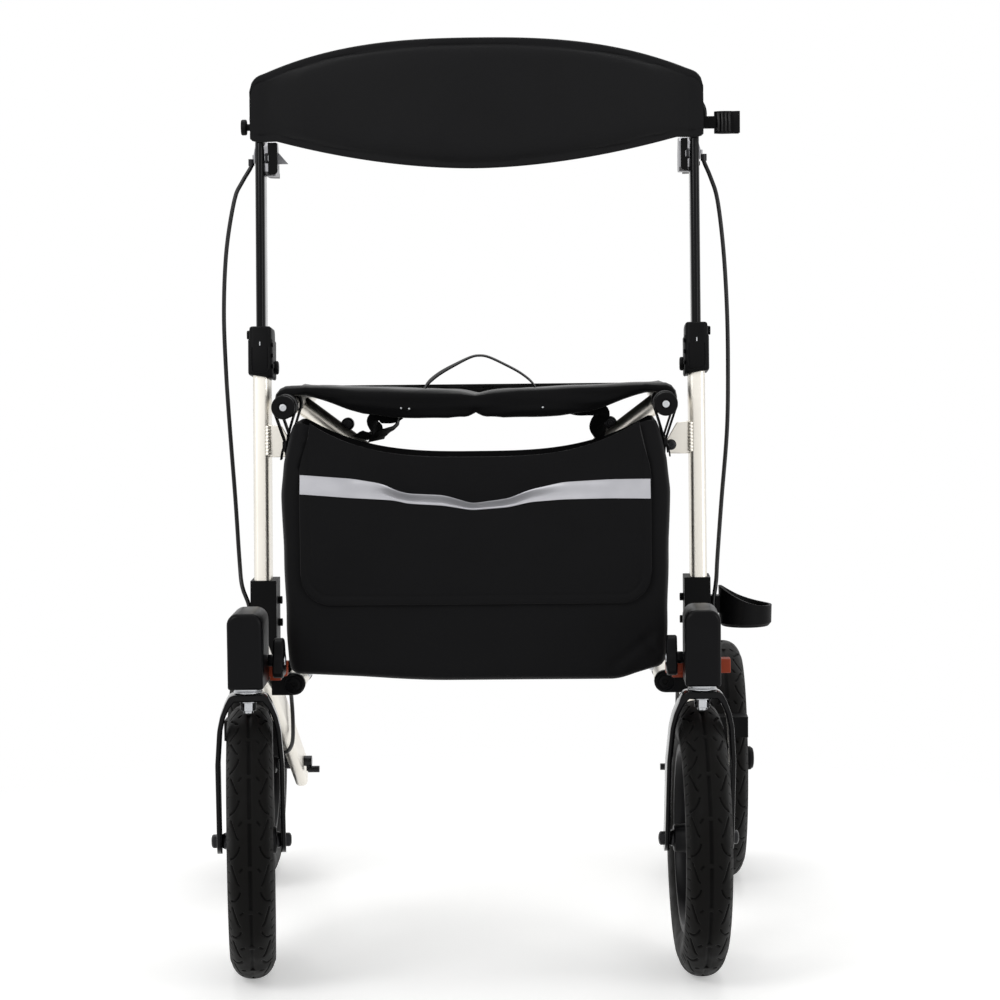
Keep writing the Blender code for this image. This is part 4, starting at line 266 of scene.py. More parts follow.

# %% [markdown]
# ## Rubber
# Tyres are filled with carbon black, so they are almost colourless, and their moulded skin is
# dull with slightly polished and dusty patches. The grips are a softer thermoplastic rubber
# with a fine matt texture that feels warm to the hand. The tread's grooves could be painted
# on, but they are real relief here; the mesh also marks them, and there shade is painted in.

# %% Rubber finishes
tyre_rubber, tree, shader = finish("vulcanised_tyre_rubber", "#0D0D0E", 0.62, IOR=1.52)
glancing_shine(tree, shader, 0.06, 0.15)
place = mottle(tree, shader, "#0B0B0B", "#131211", 22, 0.5, 0.74)
# Painted shade: the grooves, marked on the mesh, darken the tread's mottled colour to near black
tread_tone = shader.inputs["Base Color"].links[0].from_socket
groove = add(tree, "ShaderNodeAttribute", attribute_name="groove").outputs["Fac"]
tones = [(0, groove), (6, tread_tone), (7, linear("#020202"))]
groove_painted_shade = add(tree, "ShaderNodeMix", tones, data_type="RGBA")
tree.links.new(groove_painted_shade.outputs[2], shader.inputs["Base Color"])
grain(tree, shader, place, 1.1, 0.10, 0.4)

grip_rubber, tree, shader = finish("thermoplastic_rubber", "#0B0B0C", 0.66, IOR=1.5)
glancing_shine(tree, shader, 0.06, 0.4)
place = mottle(tree, shader, "#0A0A0A", "#0F0F0F", 26, 0.6, 0.74)
grain(tree, shader, place, 0.8, 0.08, 0.6)
print("rubber finishes:", tyre_rubber.name, grip_rubber.name)


# %% [markdown]
# ## Woven fabrics
# Bag and flap are 600 denier polyester: a plain weave whose threads lie about 0.6 mm apart.
# The seat and backrest are covered in a closer, smoother cloth, and all straps are webbing
# with ribs across them. A scanned cloth could be tiled over them, but its seams would show;
# waves along two directions, multiplied, make a weave without seams. Threads finer than a
# pixel are drawn two or three times as coarse, and wide soft folds lie under them.


# %% Weave
# One band of a wave texture is a twentieth of a unit wide at a scale of 1
BANDS = 20
FOLD_MM, FOLD_DEPTH = 55, 0.004


def woven(name, code_a, code_b, thread_mm, depth_mm, roughness, at_edge=0.3, sheen=0.04):
    """Plain weave: two sets of waves that cross, with a drifting tone."""
    nap = {"Sheen_Weight": sheen, "Sheen_Roughness": 0.45}
    material, tree, shader = finish(name, code_a, roughness, IOR=1.48, **nap)
    glancing_shine(tree, shader, 0.04, at_edge)
    place = mottle(tree, shader, code_a, code_b, 70, roughness - 0.08, roughness + 0.08)
    threads = [("Vector", place), ("Scale", per_metre(thread_mm) / BANDS), ("Distortion", 0.4)]
    waves = []
    for direction in ("X", "Z"):
        wave = add(tree, "ShaderNodeTexWave", threads, bands_direction=direction)
        waves.append(wave.outputs[1])
    crossed = add(tree, "ShaderNodeMath", enumerate(waves), operation="MULTIPLY").outputs[0]
    relief = [("Strength", 0.6), ("Distance", depth_mm / 1000), ("Height", crossed)]
    weave = add(tree, "ShaderNodeBump", relief).outputs[0]
    shape = [("Vector", place), ("Scale", per_metre(FOLD_MM)), ("Detail", 2.0), ("Distortion", 0.6)]
    folds = add(tree, "ShaderNodeTexNoise", shape).outputs[0]
    relief = [("Strength", 0.35), ("Distance", FOLD_DEPTH), ("Height", folds), ("Normal", weave)]
    soft = add(tree, "ShaderNodeBump", relief)
    tree.links.new(soft.outputs[0], shader.inputs["Normal"])
    return material


polyester = woven("woven_black_polyester", "#111112", "#171718", 1.6, 0.12, 0.62)
cover_cloth = woven("smooth_black_seat_cloth", "#0B0B0C", "#111112", 1.1, 0.06, 0.50, 0.6)
back_cloth = woven("matt_black_backrest_cloth", "#19191A", "#1F1F20", 1.1, 0.06, 0.60)
webbing = woven("ribbed_black_webbing", "#060607", "#0A0A0B", 1.4, 0.20, 0.70, sheen=0.03)

reflective, tree, shader = finish("glass_bead_reflective_tape", "#B4B4B9", 0.34, 0.35)
place = mottle(tree, shader, "#A9A9AF", "#C2C2C6", 34, 0.28, 0.42)
# Sealed cells of such tape are about 3 mm wide
cells = add(tree, "ShaderNodeTexVoronoi", [("Vector", place), ("Scale", per_metre(3.2))])
relief = [("Strength", 0.25), ("Distance", 0.0001), ("Height", cells.outputs["Distance"])]
sealed = add(tree, "ShaderNodeBump", relief)
tree.links.new(sealed.outputs[0], shader.inputs["Normal"])
print("materials:", len(bpy.data.materials))

# %% [markdown]
# ## Camera
# The camera stands where the photographer stood: three metres in front, a little to the
# right, at the height of a table top and turned slightly down. It could be aimed with a
# constraint at a target, but three angles also give the slight roll of a hand-held shot.

# %% Camera
EYE = Vector((0.0968, FRONT_Y - 3.0442, 0.7726))
YAW, PITCH, ROLL = (math.radians(a) for a in (1.291, 4.689, -0.622))
FOCAL_MM, SENSOR_MM = 101.25, 36.0
ahead = Vector(
    (-math.sin(YAW) * math.cos(PITCH), math.cos(YAW) * math.cos(PITCH), -math.sin(PITCH))
)
level = Vector((math.cos(YAW), math.sin(YAW), 0.0))
upward = level.cross(ahead)
across = level * math.cos(ROLL) + upward * math.sin(ROLL)
upward = upward * math.cos(ROLL) - level * math.sin(ROLL)
lens = bpy.data.cameras.new("camera")
lens.lens = FOCAL_MM
lens.sensor_width = SENSOR_MM
lens.clip_end = 50.0
camera = bpy.data.objects.new("camera", lens)
turned = Matrix((across, upward, -ahead)).transposed().to_4x4()
camera.matrix_world = Matrix.Translation(EYE) @ turned
bpy.context.scene.collection.objects.link(camera)
bpy.context.scene.camera = camera
bpy.context.scene.view_settings.view_transform = "Standard"
print("camera at", [round(v, 3) for v in EYE])

# %% [markdown]
# ## Floor
# A studio floor is a sweep of white paper. Strong lamps could burn it out to white, but they
# would bleach the object too. So the paper only looks white: rays from the camera and rays
# mirrored in metal see it lit from within, and all others meet plain paper that keeps the
# object's shadow.

# %% Floor
FLOOR_REACH = 14.0
# Near the wheels the paper shows its shadow; over this stretch it turns to plain white
SHADOW_NEAR, SHADOW_FAR = 0.55, 1.15


def seen_or_mirrored(tree):
    """1 for a ray from the camera or a mirrored one, 0 for one that only gathers light."""
    path = add(tree, "ShaderNodeLightPath")
    rays = [(0, path.outputs["Is Camera Ray"]), (1, path.outputs["Is Glossy Ray"])]
    return add(tree, "ShaderNodeMath", rays, operation="MAXIMUM").outputs[0]


floor_mesh = bpy.data.meshes.new("floor")
corners = [(a * FLOOR_REACH, b * FLOOR_REACH, 0) for a, b in ((-1, -1), (1, -1), (1, 1), (-1, 1))]
floor_mesh.from_pydata(corners, [], [(0, 1, 2, 3)])
floor = bpy.data.objects.new("floor", floor_mesh)
bpy.context.scene.collection.objects.link(floor)
paper, tree, shader = finish("white_backdrop_paper", "#F4F4F3", 0.9)
where = add(tree, "ShaderNodeTexCoord").outputs["Object"]
distance = add(tree, "ShaderNodeVectorMath", [(0, where)], operation="LENGTH").outputs["Value"]
ranges = [(0, distance), (1, SHADOW_NEAR), (2, SHADOW_FAR)]
far = add(tree, "ShaderNodeMapRange", ranges, interpolation_type="SMOOTHSTEP").outputs[0]
white = add(tree, "ShaderNodeEmission", [("Strength", 1.0)]).outputs[0]
lift = add(tree, "ShaderNodeEmission", [("Strength", 0.34)]).outputs[0]
near = add(tree, "ShaderNodeAddShader", [(0, shader.outputs[0]), (1, lift)]).outputs[0]
looks = add(tree, "ShaderNodeMixShader", [(0, far), (1, near), (2, white)]).outputs[0]
either = [(0, seen_or_mirrored(tree)), (1, shader.outputs[0]), (2, looks)]
both = add(tree, "ShaderNodeMixShader", either)
tree.links.new(both.outputs[0], tree.nodes["Material Output"].inputs["Surface"])
floor_mesh.materials.append(paper)
print("floor turns white from", SHADOW_NEAR, "to", SHADOW_FAR, "m away from the middle")

# %% [markdown]
# ## Surroundings
# Round the paper stands a white room. It could be a sky image, but a plain colour keeps the
# black pieces black: the room looks white to the camera and in reflections, and gives the
# object only about half of that light.

# %% Surroundings
AMBIENT, WHITE = 0.55, 1.0
world = bpy.data.worlds.new("white_studio")
bpy.context.scene.world = world
world.use_nodes = True
tree = world.node_tree
strength = add(tree, "ShaderNodeMix", [(0, seen_or_mirrored(tree)), (2, AMBIENT), (3, WHITE)])
background = tree.nodes["Background"]
background.inputs[0].default_value = (1, 1, 1, 1)
tree.links.new(strength.outputs[0], background.inputs[1])
print("the room lights the object at", AMBIENT)

# %% [markdown]
# ## Lamps
# A photographer would use softboxes: wide lamps give soft edges to shadows and long highlights
# along tubes. Area lamps do the same. The key stands on the left in front, the fill lower on
# the right, and one hangs above to part the black seat from the black bag.

# %% Lamps
def softbox(name, place, target, width, height, watts):
    light = bpy.data.lights.new(name, "AREA")
    light.shape = "RECTANGLE"
    light.size, light.size_y = width, height
    light.energy = watts
    lamp = bpy.data.objects.new(name, light)
    lamp.location = place
    lamp.rotation_euler = (Vector(target) - Vector(place)).to_track_quat("-Z", "Y").to_euler()
    bpy.context.scene.collection.objects.link(lamp)
    print(name, "of", watts, "W")


MIDDLE = (0.0, 0.0, 0.5)
softbox("key_softbox", (-1.9, -2.6, 2.3), MIDDLE, 1.4, 1.4, 34)
softbox("fill_softbox", (2.3, -2.2, 1.2), MIDDLE, 1.2, 1.6, 18)
softbox("top_softbox", (0.0, 0.6, 2.8), MIDDLE, 2.0, 1.4, 22)

# %% [markdown]
# ## Building pieces
# Pieces could be pushed and pulled by hand from cubes, but a machine part follows a few
# drawn sections. Three tools make most of this model. A loft skins rings of points, a lathe
# is a loft of circles, and a prism is a loft of two flat outlines. Each finished mesh is
# named, given its finish, tied to the CAD body it moves with, and declared to stand for its
# CAD node.

# %% Mesh tools
# For each axis: the two coordinates of a section across it, and the one along it
AXES = {"X": (1, 2, 0), "Y": (0, 2, 1), "Z": (0, 1, 2)}


def loft(rings, joined=False):
    """Skin through rings of as many points: capped, or its last ring joined to its first."""
    shape = bmesh.new()
    rows = [[shape.verts.new(point) for point in ring] for ring in rings]
    if joined:
        rows.append(rows[0])
    for low, high in zip(rows, rows[1:]):
        for k in range(len(low)):
            after = (k + 1) % len(low)
            shape.faces.new((low[k], low[after], high[after], high[k]))
    if not joined:
        shape.faces.new(rows[0])
        shape.faces.new(rows[-1])
    bmesh.ops.recalc_face_normals(shape, faces=shape.faces)
    return shape


def flat_ring(outline, axis, level):
    """A flat outline stood across an axis, at a level along it."""
    first, second, along = AXES[axis]
    ring = []
    for a, b in outline:
        point = [0.0, 0.0, 0.0]
        point[first], point[second], point[along] = a, b, level
        ring.append(point)
    return ring


def prism(outline, axis, low, high):
    return loft([flat_ring(outline, axis, low), flat_ring(outline, axis, high)])


def arc(middle, radius, start, end, steps):
    """Points on an arc between two angles in degrees."""
    angles = [math.radians(start + (end - start) * k / steps) for k in range(steps + 1)]
    return [(middle[0] + radius * math.cos(a), middle[1] + radius * math.sin(a)) for a in angles]


def circle(middle, radius, segments):
    return arc(middle, radius, 0.0, 360.0, segments)[:-1]


def lathe(profile, axis, middle, segments=48, joined=False):
    """Solid of revolution: profile lists (along, radius), middle is the point of its axis line."""
    rings = [flat_ring(circle(middle, radius, segments), axis, along) for along, radius in profile]
    return loft(rings, joined)


def merged(*shapes):
    """Several shapes in one mesh, each left whole."""
    whole = shapes[0]
    for shape in shapes[1:]:
        mesh = bpy.data.meshes.new("part")
        shape.to_mesh(mesh)
        shape.free()
        whole.from_mesh(mesh)
        bpy.data.meshes.remove(mesh)
    return whole


def mirrored(shape, side):
    """Pieces are drawn for the right side; on the left they are turned over."""
    if side < 0:
        for vertex in shape.verts:
            vertex.co.x *= -1
        bmesh.ops.reverse_faces(shape, faces=shape.faces)
    return shape


def piece(name, shape, material, body=None, nodes=(), bevel=0.0, smooth_angle=35):
    """Turns a shape into a named object of the model, with optional rounded edges."""
    mesh = bpy.data.meshes.new(name)
    shape.to_mesh(mesh)
    shape.free()
    mesh.shade_smooth()
    mesh.set_sharp_from_angle(angle=math.radians(smooth_angle))
    mesh.materials.append(material)
    obj = bpy.data.objects.new(name, mesh)
    bpy.context.scene.collection.objects.link(obj)
    if bevel:
        modifier = obj.modifiers.new("rounded edges", "BEVEL")
        modifier.width = bevel
        modifier.segments = 2
        modifier.limit_method = "ANGLE"
        modifier.angle_limit = ROUNDED_FROM
    if nodes:
        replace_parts(obj, *nodes)
    if body:
        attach(obj, body)
    return obj


def refined(node, material, bevel=0.0008, reshape=None):
    """A finer copy of a CAD node: flat triangles melted together, edges rounded, same place."""
    source = frame["nodes"][node]
    shape = bmesh.new()
    shape.from_mesh(source.data)
    bmesh.ops.remove_doubles(shape, verts=shape.verts, dist=SAME_POINT)
    bmesh.ops.dissolve_limit(shape, angle_limit=FLAT, verts=shape.verts, edges=shape.edges)
    if reshape:
        for vertex in shape.verts:
            reshape(vertex.co)
    piece(f"{node}_dressed", shape, material, source["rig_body"], [node], bevel)


# Edges are rounded from one angle between their faces on, and faces melt together up to another
ROUNDED_FROM, FLAT = math.radians(40), math.radians(1)
SAME_POINT = 0.000002
SLOTS = {entry["node"]: entry["material_slot"] for entry in frame["record"]["subparts"]}
print("material slots:", sorted(set(SLOTS.values())))

# %% [markdown]
# ## Tyres
# Each wheel is a 300 mm tyre on a moulded rim. The tread is cut by the mould: a centre groove
# that stops and starts, hooks and slashes that mirror each other across it, short slanted
# dashes and notches at the shoulder. It could be a bump map, but a tyre shows its tread in
# outline. So the grooves are drawn as lines on one repeat, and each point of the tyre asks
# how far it lies from the nearest line.

# %% Tread pattern
RIM_EDGE, RIM_WIDTH = 0.103, 0.038
TREAD_REPEATS = 19
TREAD_PITCH = 2 * math.pi * WHEEL_RADIUS / TREAD_REPEATS
# Grooves of one repeat on one half of the tyre, as (along, across) in millimetres
HOOK = [(2, 11.2), (6, 12.4), (10, 14.8), (13.5, 18.0), (15.5, 23.5)]
SLASH = [(23, 22.0), (31, 18.6), (41, 14.6), (43.5, 12.6)]
DASH = [(25.5, 8.6), (28.5, 11.2)]
# Each with half its width and its share of the full depth
GROOVES = [(HOOK, 0.00075, 1.0), (SLASH, 0.0008, 1.0), (DASH, 0.0009, 0.8)]
GROOVE_WALL = 0.0008
CENTRE_HALF, CENTRE_BRIDGE = 0.0016, 0.0022
NOTCH_HALF, NOTCH_FROM, NOTCH_TO, NOTCHES = 0.0006, 0.0255, 0.0315, 4


def trench(distance, half_width):
    """1 in the middle of a groove, falling to 0 over its wall."""
    return np.clip((half_width - distance) / GROOVE_WALL + 0.5, 0.0, 1.0)


def segment_distance(u, v, start, end):
    """Distances from the points (u, v) to a straight run."""
    du, dv = end[0] - start[0], end[1] - start[1]
    share = np.clip(((u - start[0]) * du + (v - start[1]) * dv) / (du * du + dv * dv), 0, 1)
    return np.hypot(u - start[0] - share * du, v - start[1] - share * dv)


def line_distance(u, v, points):
    line = [(a / 1000, b / 1000) for a, b in points]
    runs = zip(line, line[1:])
    return np.minimum.reduce([segment_distance(u, v, start, end) for start, end in runs])


def tread_depth(along, across):
    """How deep the tread is cut, from 0 to 1, at distances along and across the tyre."""
    u, v = along % TREAD_PITCH, np.abs(across)
    depth = np.zeros_like(v)
    for line, half_width, share in GROOVES:
        depth = np.maximum(depth, share * trench(line_distance(u, v, line), half_width))
    spacing = TREAD_PITCH / NOTCHES
    notch = 0.7 * trench(np.abs(u % spacing - spacing / 2), NOTCH_HALF)
    depth = np.maximum(depth, notch * (v > NOTCH_FROM) * (v < NOTCH_TO))
    # A short bridge stops the centre groove once in each repeat
    middle = trench(v, CENTRE_HALF) * (np.abs(u - TREAD_PITCH / 2) > CENTRE_BRIDGE)
    return np.maximum(depth, middle)


print(TREAD_REPEATS, "repeats of the tread,", round(TREAD_PITCH * 1000, 1), "mm each")

# %% [markdown]
# ## The tread wrapped round
# A real tyre is a soft ring whose section is nearly round: flat across the tread, widest half
# way down and drawn in to the rim. A displacement modifier on a smooth ring could press the
# tread in, but building the grid of points straight from the section puts its lines where
# the grooves are and keeps the side walls light. One mesh serves all four wheels.

# %% Wrap the tread round
WIDEST_RADIUS = WHEEL_RADIUS - 0.0255
# The section's angles, in degrees from the middle of the tread, where tread and bead end
TREAD_TURN, BEAD_TURN = 64.0, 140.0
SQUARENESS = 0.85
AROUND = TREAD_REPEATS * 54
GROOVE_DEPTH = 0.0022
RIB_AT, RIB_HEIGHT, RIB_WIDTH = 0.0345, 0.0006, 0.0012


def tyre_mesh():
    """Outer skin of the tyre about the X axis, bead to bead, with its relief."""
    degrees = [
        np.linspace(-BEAD_TURN, -TREAD_TURN, 12)[:-1],
        np.linspace(-TREAD_TURN, TREAD_TURN, 59),
        np.linspace(TREAD_TURN, BEAD_TURN, 12)[1:],
    ]
    turns = np.radians(np.concatenate(degrees))
    sine, cosine = np.sin(turns), np.cos(turns)
    x = TYRE_WIDTH / 2 * np.sign(sine) * np.abs(sine) ** SQUARENESS
    below = (WIDEST_RADIUS - RIM_EDGE - GAP) / -math.cos(math.radians(BEAD_TURN))
    radius = WIDEST_RADIUS + np.where(cosine > 0, WHEEL_RADIUS - WIDEST_RADIUS, below) * cosine
    across = np.concatenate([[0.0], np.cumsum(np.hypot(np.diff(x), np.diff(radius)))])
    across -= across[-1] / 2
    # A fine rib runs round each side wall
    rib = RIB_HEIGHT * np.exp(-(((np.abs(across) - RIB_AT) / RIB_WIDTH) ** 2))
    normal_x, normal_r = -np.gradient(radius), np.gradient(x)
    length = np.hypot(normal_x, normal_r)
    angles = np.arange(AROUND) * 2 * math.pi / AROUND
    along, side = np.meshgrid(angles * WHEEL_RADIUS, across, indexing="ij")
    depth = tread_depth(along, side)
    # Grooves run out towards the side wall
    shallower = np.clip((0.034 - np.abs(side)) / 0.008, 0.4, 1)
    sunk = GROOVE_DEPTH * depth * shallower - rib
    out_x = x - sunk * normal_x / length
    out_r = np.minimum(radius - sunk * normal_r / length, WHEEL_RADIUS)
    turned = angles[:, None]
    points = np.stack([out_x, out_r * np.cos(turned), out_r * np.sin(turned)], -1)
    wide = len(turns)
    faces = []
    for i in range(AROUND):
        here, after = i * wide, (i + 1) % AROUND * wide
        for j in range(wide - 1):
            faces.append((here + j, after + j, after + j + 1, here + j + 1))
    mesh = bpy.data.meshes.new("tyre")
    mesh.from_pydata(points.reshape(-1, 3).tolist(), [], faces)
    # The tread's depth goes on the mesh, so that the rubber gets painted shade, near black, in its
    # grooves
    mesh.attributes.new("groove", "FLOAT", "POINT").data.foreach_set("value", depth.ravel())
    mesh.shade_smooth()
    mesh.materials.append(tyre_rubber)
    return mesh


tread = tyre_mesh()
print("tyre:", len(tread.vertices), "points")

# %% [markdown]
# ## Rims
# The rims are one nylon moulding each: a channel for the tyre, six spokes that are hollowed
# between two raised edges to save weight, and a hub. A Boolean could cut the spokes out of a
# disc, but its edges come out ragged. Channel and hub are turned on a lathe instead, and a
# spoke is a loft whose section is a shallow H.

# %% Rim
SPOKES, SPOKE_INNER = 6, 0.0155
# Half a spoke's width at its two ends, how thick it is at its edges, and its web
SPOKE_IN, SPOKE_OUT = 0.0068, 0.0088
SPOKE_THICK, SPOKE_WEB, SPOKE_EDGE, SPOKE_SLOPE = 0.005, 0.0018, 0.0030, 0.001
FLARE, FLARE_SHARE = 0.004, 0.05


def spoke(turn, outer):
    """Spoke along a radius: a thin web between two raised edges, seen across the axle."""
    rings = []
    for share in (0.0, 0.06, 0.2, 0.5, 0.8, 0.94, 1.0):
        radius = SPOKE_INNER + (outer - SPOKE_INNER) * share
        flare = FLARE * (math.exp(-share / FLARE_SHARE) + math.exp((share - 1) / FLARE_SHARE))
        half = SPOKE_IN + (SPOKE_OUT - SPOKE_IN) * share + flare
        brow, foot = half - SPOKE_EDGE, half - SPOKE_EDGE - SPOKE_SLOPE
        side = [(-half, SPOKE_THICK), (-brow, SPOKE_THICK), (-foot, SPOKE_WEB)]
        side += [(foot, SPOKE_WEB), (brow, SPOKE_THICK), (half, SPOKE_THICK)]
        section = side + [(u, -t) for u, t in reversed(side)]
        ring = []
        for u, t in section:
            y = radius * math.cos(turn) - u * math.sin(turn)
            z = radius * math.sin(turn) + u * math.cos(turn)
            ring.append((t, y, z))
        rings.append(ring)
    return loft(rings)


def rim_shape(hub_half, bore):
    """Rim channel, spokes and hub about the X axis."""
    half, floor = RIM_WIDTH / 2, RIM_EDGE - 0.004
    inner = floor - 0.005
    upper = [(half, inner + 0.001), (half, RIM_EDGE - 0.0006), (half - 0.0006, RIM_EDGE)]
    upper += [(half - 0.0018, RIM_EDGE), (half - 0.0023, RIM_EDGE - 0.0006)]
    upper += [(half - 0.0023, floor), (0.5 * half, floor - 0.001)]
    profile = upper + [(-x, r) for x, r in reversed(upper)]
    profile += [(-half + 0.001, inner), (-0.010, inner - 0.0015), (0.010, inner - 0.0015)]
    profile.append((half - 0.001, inner))
    shapes = [lathe(profile, "X", (0, 0), 96, joined=True)]
    hub = [(hub_half, bore), (hub_half, 0.0135), (hub_half - 0.0012, 0.0150)]
    hub += [(0.009, 0.0160), (0.007, 0.0172)]
    hub += [(-x, r) for x, r in reversed(hub)]
    shapes.append(lathe(hub, "X", (0, 0), 64, joined=True))
    for k in range(SPOKES):
        shapes.append(spoke(2 * math.pi * k / SPOKES, inner))
    return merged(*shapes)


print("rims:", SPOKES, "spokes, tyre seats at", RIM_EDGE, "m")

# %% [markdown]
# ## Wheels on their axles
# Front wheels stand turned by a few degrees, as casters come to rest. Each could be modelled
# where it stands, but a wheel that is built once about its own axle and then placed by it
# stays true when it turns. The turn is read from the joint, so that hub and axle agree.


# %% Put the wheels on their axles
def axle_turn(joint):
    """Angle about Z of a wheel's axle, from its joint in the frame."""
    axis = next(j["axis"] for j in frame["joints"] if j["name"] == joint)
    return math.atan2(axis[1], axis[0]) if abs(axis[0]) > 0.5 else 0.0


def placed(obj, where, turn):
    obj.matrix_world = Matrix.Translation(where) @ Matrix.Rotation(turn, 4, "Z")


CASTER_TURN = {}
FRONT_HUB, FRONT_BORE = 0.0276, 0.0044
REAR_HUB, REAR_BORE = span("rear_rim_right").x / 2, 0.0065
for label, side in SIDES.items():
    turn = axle_turn(f"{label}_front_wheel_spin")
    turn = (turn + math.pi / 2) % math.pi - math.pi / 2
    CASTER_TURN[label] = turn
    ends = (("front", turn, FRONT_HUB, FRONT_BORE), ("rear", 0.0, REAR_HUB, REAR_BORE))
    for end, at, hub_half, bore in ends:
        body = f"{label}_{end}_wheel"
        where = centre(f"{end}_rim_{label}")
        tyre = bpy.data.objects.new(f"{label}_{end}_tyre", tread)
        bpy.context.scene.collection.objects.link(tyre)
        placed(tyre, where, at)
        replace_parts(tyre, f"{end}_tyre_{label}")
        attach(tyre, body)
        rim = piece(f"{label}_{end}_rim", rim_shape(hub_half, bore), rim_nylon)
        placed(rim, where, at)
        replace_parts(rim, f"{end}_rim_{label}")
        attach(rim, body)
    print(label, "caster stands turned by", round(math.degrees(turn), 1), "degrees")

# %% [markdown]
# ## Lines bent like strip steel
# Strip steel is bent over a mandrel, so its corners are arcs. Blender's bevelled curve could
# follow a bent line, but its arcs come out uneven. So a small function rounds each corner of
# a flat line with a true arc, and another gives the rounded section of the strip.


# %% Bent strips
def rounded_rectangle(width, height, corner, steps=4):
    x, y = width / 2 - corner, height / 2 - corner
    points = []
    for quarter, (a, b) in enumerate([(x, y), (-x, y), (-x, -y), (x, -y)]):
        points += arc((a, b), corner, 90 * quarter, 90 * (quarter + 1), steps)
    return points


def rounded_outline(middle, width, height, corner):
    return [(middle[0] + a, middle[1] + b) for a, b in rounded_rectangle(width, height, corner)]


def filleted(points, radii, steps=8):
    """A flat line with its inner corners rounded; gives its points."""
    line = [Vector(p) for p in points]
    out = [line[0]]
    for before, corner, after, radius in zip(line, line[1:], line[2:], radii):
        a, b = (before - corner).normalized(), (after - corner).normalized()
        half = a.angle(b) / 2
        reach = radius / math.tan(half)
        middle = corner + (a + b).normalized() * radius / math.sin(half)
        start, end = corner + a * reach - middle, corner + b * reach - middle
        sweep = start.angle_signed(end)
        for k in range(steps + 1):
            turned = start.copy()
            turned.rotate(Matrix.Rotation(-sweep * k / steps, 2))
            out.append(middle + turned)
    out.append(line[-1])
    return out


print("a bent right angle takes", len(filleted([(0, 1), (0, 0), (1, 0)], [0.2])), "points")

# %% [markdown]
# ## Forks and their bearings
# A fork is one strap of steel bent over the wheel, raked back so that the wheel trails its
# stem and steers itself. Two legs and a crown could be joined, but the real one has no
# joints, so it is a sweep of a rounded strip along one bent line: thicker in its crown and
# closed by round feet. The hexagon nut and the bearing races on its stem are turned parts.

# %% Forks
FORK_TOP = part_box("fork_right")[1].z
FORK_HALF, LEG, CROWN, STRIP_DEPTH = 0.035, 0.0056, 0.008, 0.028
TRAIL = 0.050
AXLE_Z = REAR.z
# The legs bow out over the tyre: half width at depths under the crown, and radii of the bends
BOW = [(FORK_HALF - 0.0005, 0.080), (0.0315, 0.041), (0.0280, 0.025), (0.0228, 0.0125)]
BOW.append((0.0172, CROWN / 2))
BENDS = [0.08, 0.06, 0.03, 0.015, 0.0045]


def fork_shape():
    foot_z = AXLE_Z - 0.015
    mid_z = FORK_TOP - CROWN / 2
    side = [(FORK_HALF, foot_z)] + [(x, FORK_TOP - down) for x, down in BOW]
    line = side + [(-x, z) for x, z in reversed(side)]
    path = filleted(line, BENDS + BENDS[::-1])
    round_foot = []
    for k in range(1, 9):
        turn = math.pi / 2 * k / 8
        rise = STRIP_DEPTH / 2 * (1 - math.cos(turn))
        round_foot.append((rise, math.sin(turn)))
    stations = [(Vector((FORK_HALF, foot_z + rise)), share) for rise, share in round_foot]
    stations += [(p, 1.0) for p in path[1:-1]]
    round_foot.reverse()
    stations += [(Vector((-FORK_HALF, foot_z + rise)), share) for rise, share in round_foot]
    rake = TRAIL / (mid_z - AXLE_Z)
    rings = []
    for k, (point, share) in enumerate(stations):
        ahead = stations[min(k + 1, len(stations) - 1)][0] - stations[max(k - 1, 0)][0]
        across = Vector((ahead.y, -ahead.x)).normalized()
        blend = min(1.0, max(0.0, (point.y - (mid_z - 0.012)) / 0.010))
        thick = LEG + (CROWN - LEG) * blend
        deep = STRIP_DEPTH * share
        ring = []
        for u, v in rounded_rectangle(thick, deep, min(0.0014, 0.4 * deep)):
            x, z = point.x + across.x * u, point.y + across.y * u
            ring.append((x, v + rake * (mid_z - z), z))
        rings.append(ring)
    return loft(rings)


def hexagon(radius):
    return circle((0, 0), radius, 6)


def turned_to(shape, label):
    """Turns a shape with a caster and puts it over its steering axis."""
    side = SIDES[label]
    where = Vector((side * STEER_X, FRONT_Y - TRAIL, 0))
    shape.transform(Matrix.Translation(where) @ Matrix.Rotation(CASTER_TURN[label], 4, "Z"))
    return shape


STEER_X = centre("caster_stem_right").x
HOUSING_BOTTOM = FORK_TOP + 0.0075
for label in SIDES:
    body = f"{label}_caster"
    fork = turned_to(fork_shape(), label)
    piece(f"{label}_fork", fork, enamel, body, [f"fork_{label}"])
    under = FORK_TOP - CROWN
    nut_low = under - 0.0105
    nut = prism(hexagon(0.0083), "Z", nut_low, under - 0.0012)
    washer = lathe([(under - 0.0014, 0.0100), (under, 0.0100)], "Z", (0, 0), 40)
    profile = [(nut_low - 0.003, 0.0050), (nut_low, 0.0060), (nut_low + 0.002, 0.0060)]
    shank = lathe(profile, "Z", (0, 0), 32)
    races = [(0.0, 0.0130), (0.0012, 0.0155), (0.0028, 0.0158), (0.0030, 0.0145), (0.0042, 0.0145)]
    races += [(0.0044, 0.0160), (0.0066, 0.0160), (0.0072, 0.0150)]
    stack = lathe([(FORK_TOP + z, r) for z, r in races], "Z", (0, 0), 64)
    steering = turned_to(merged(nut, washer, shank, stack), label)
    nodes = [f"caster_stem_{label}"]
    piece(f"{label}_stem", steering, zinc, body, nodes, bevel=0.0004)
print("forks are", round(1000 * (FORK_TOP - AXLE_Z)), "mm high over the axle")

# %% [markdown]
# ## Screws with a hexagon socket
# A cap screw is turned and then broached: a hexagon punch presses the socket into its face.
# A Boolean could cut it, but two more rings of a lathe do it without cutting: they have as
# many points as the round ones and only stand on a hexagon.


# %% Socket screws
AROUND_HEAD = 48


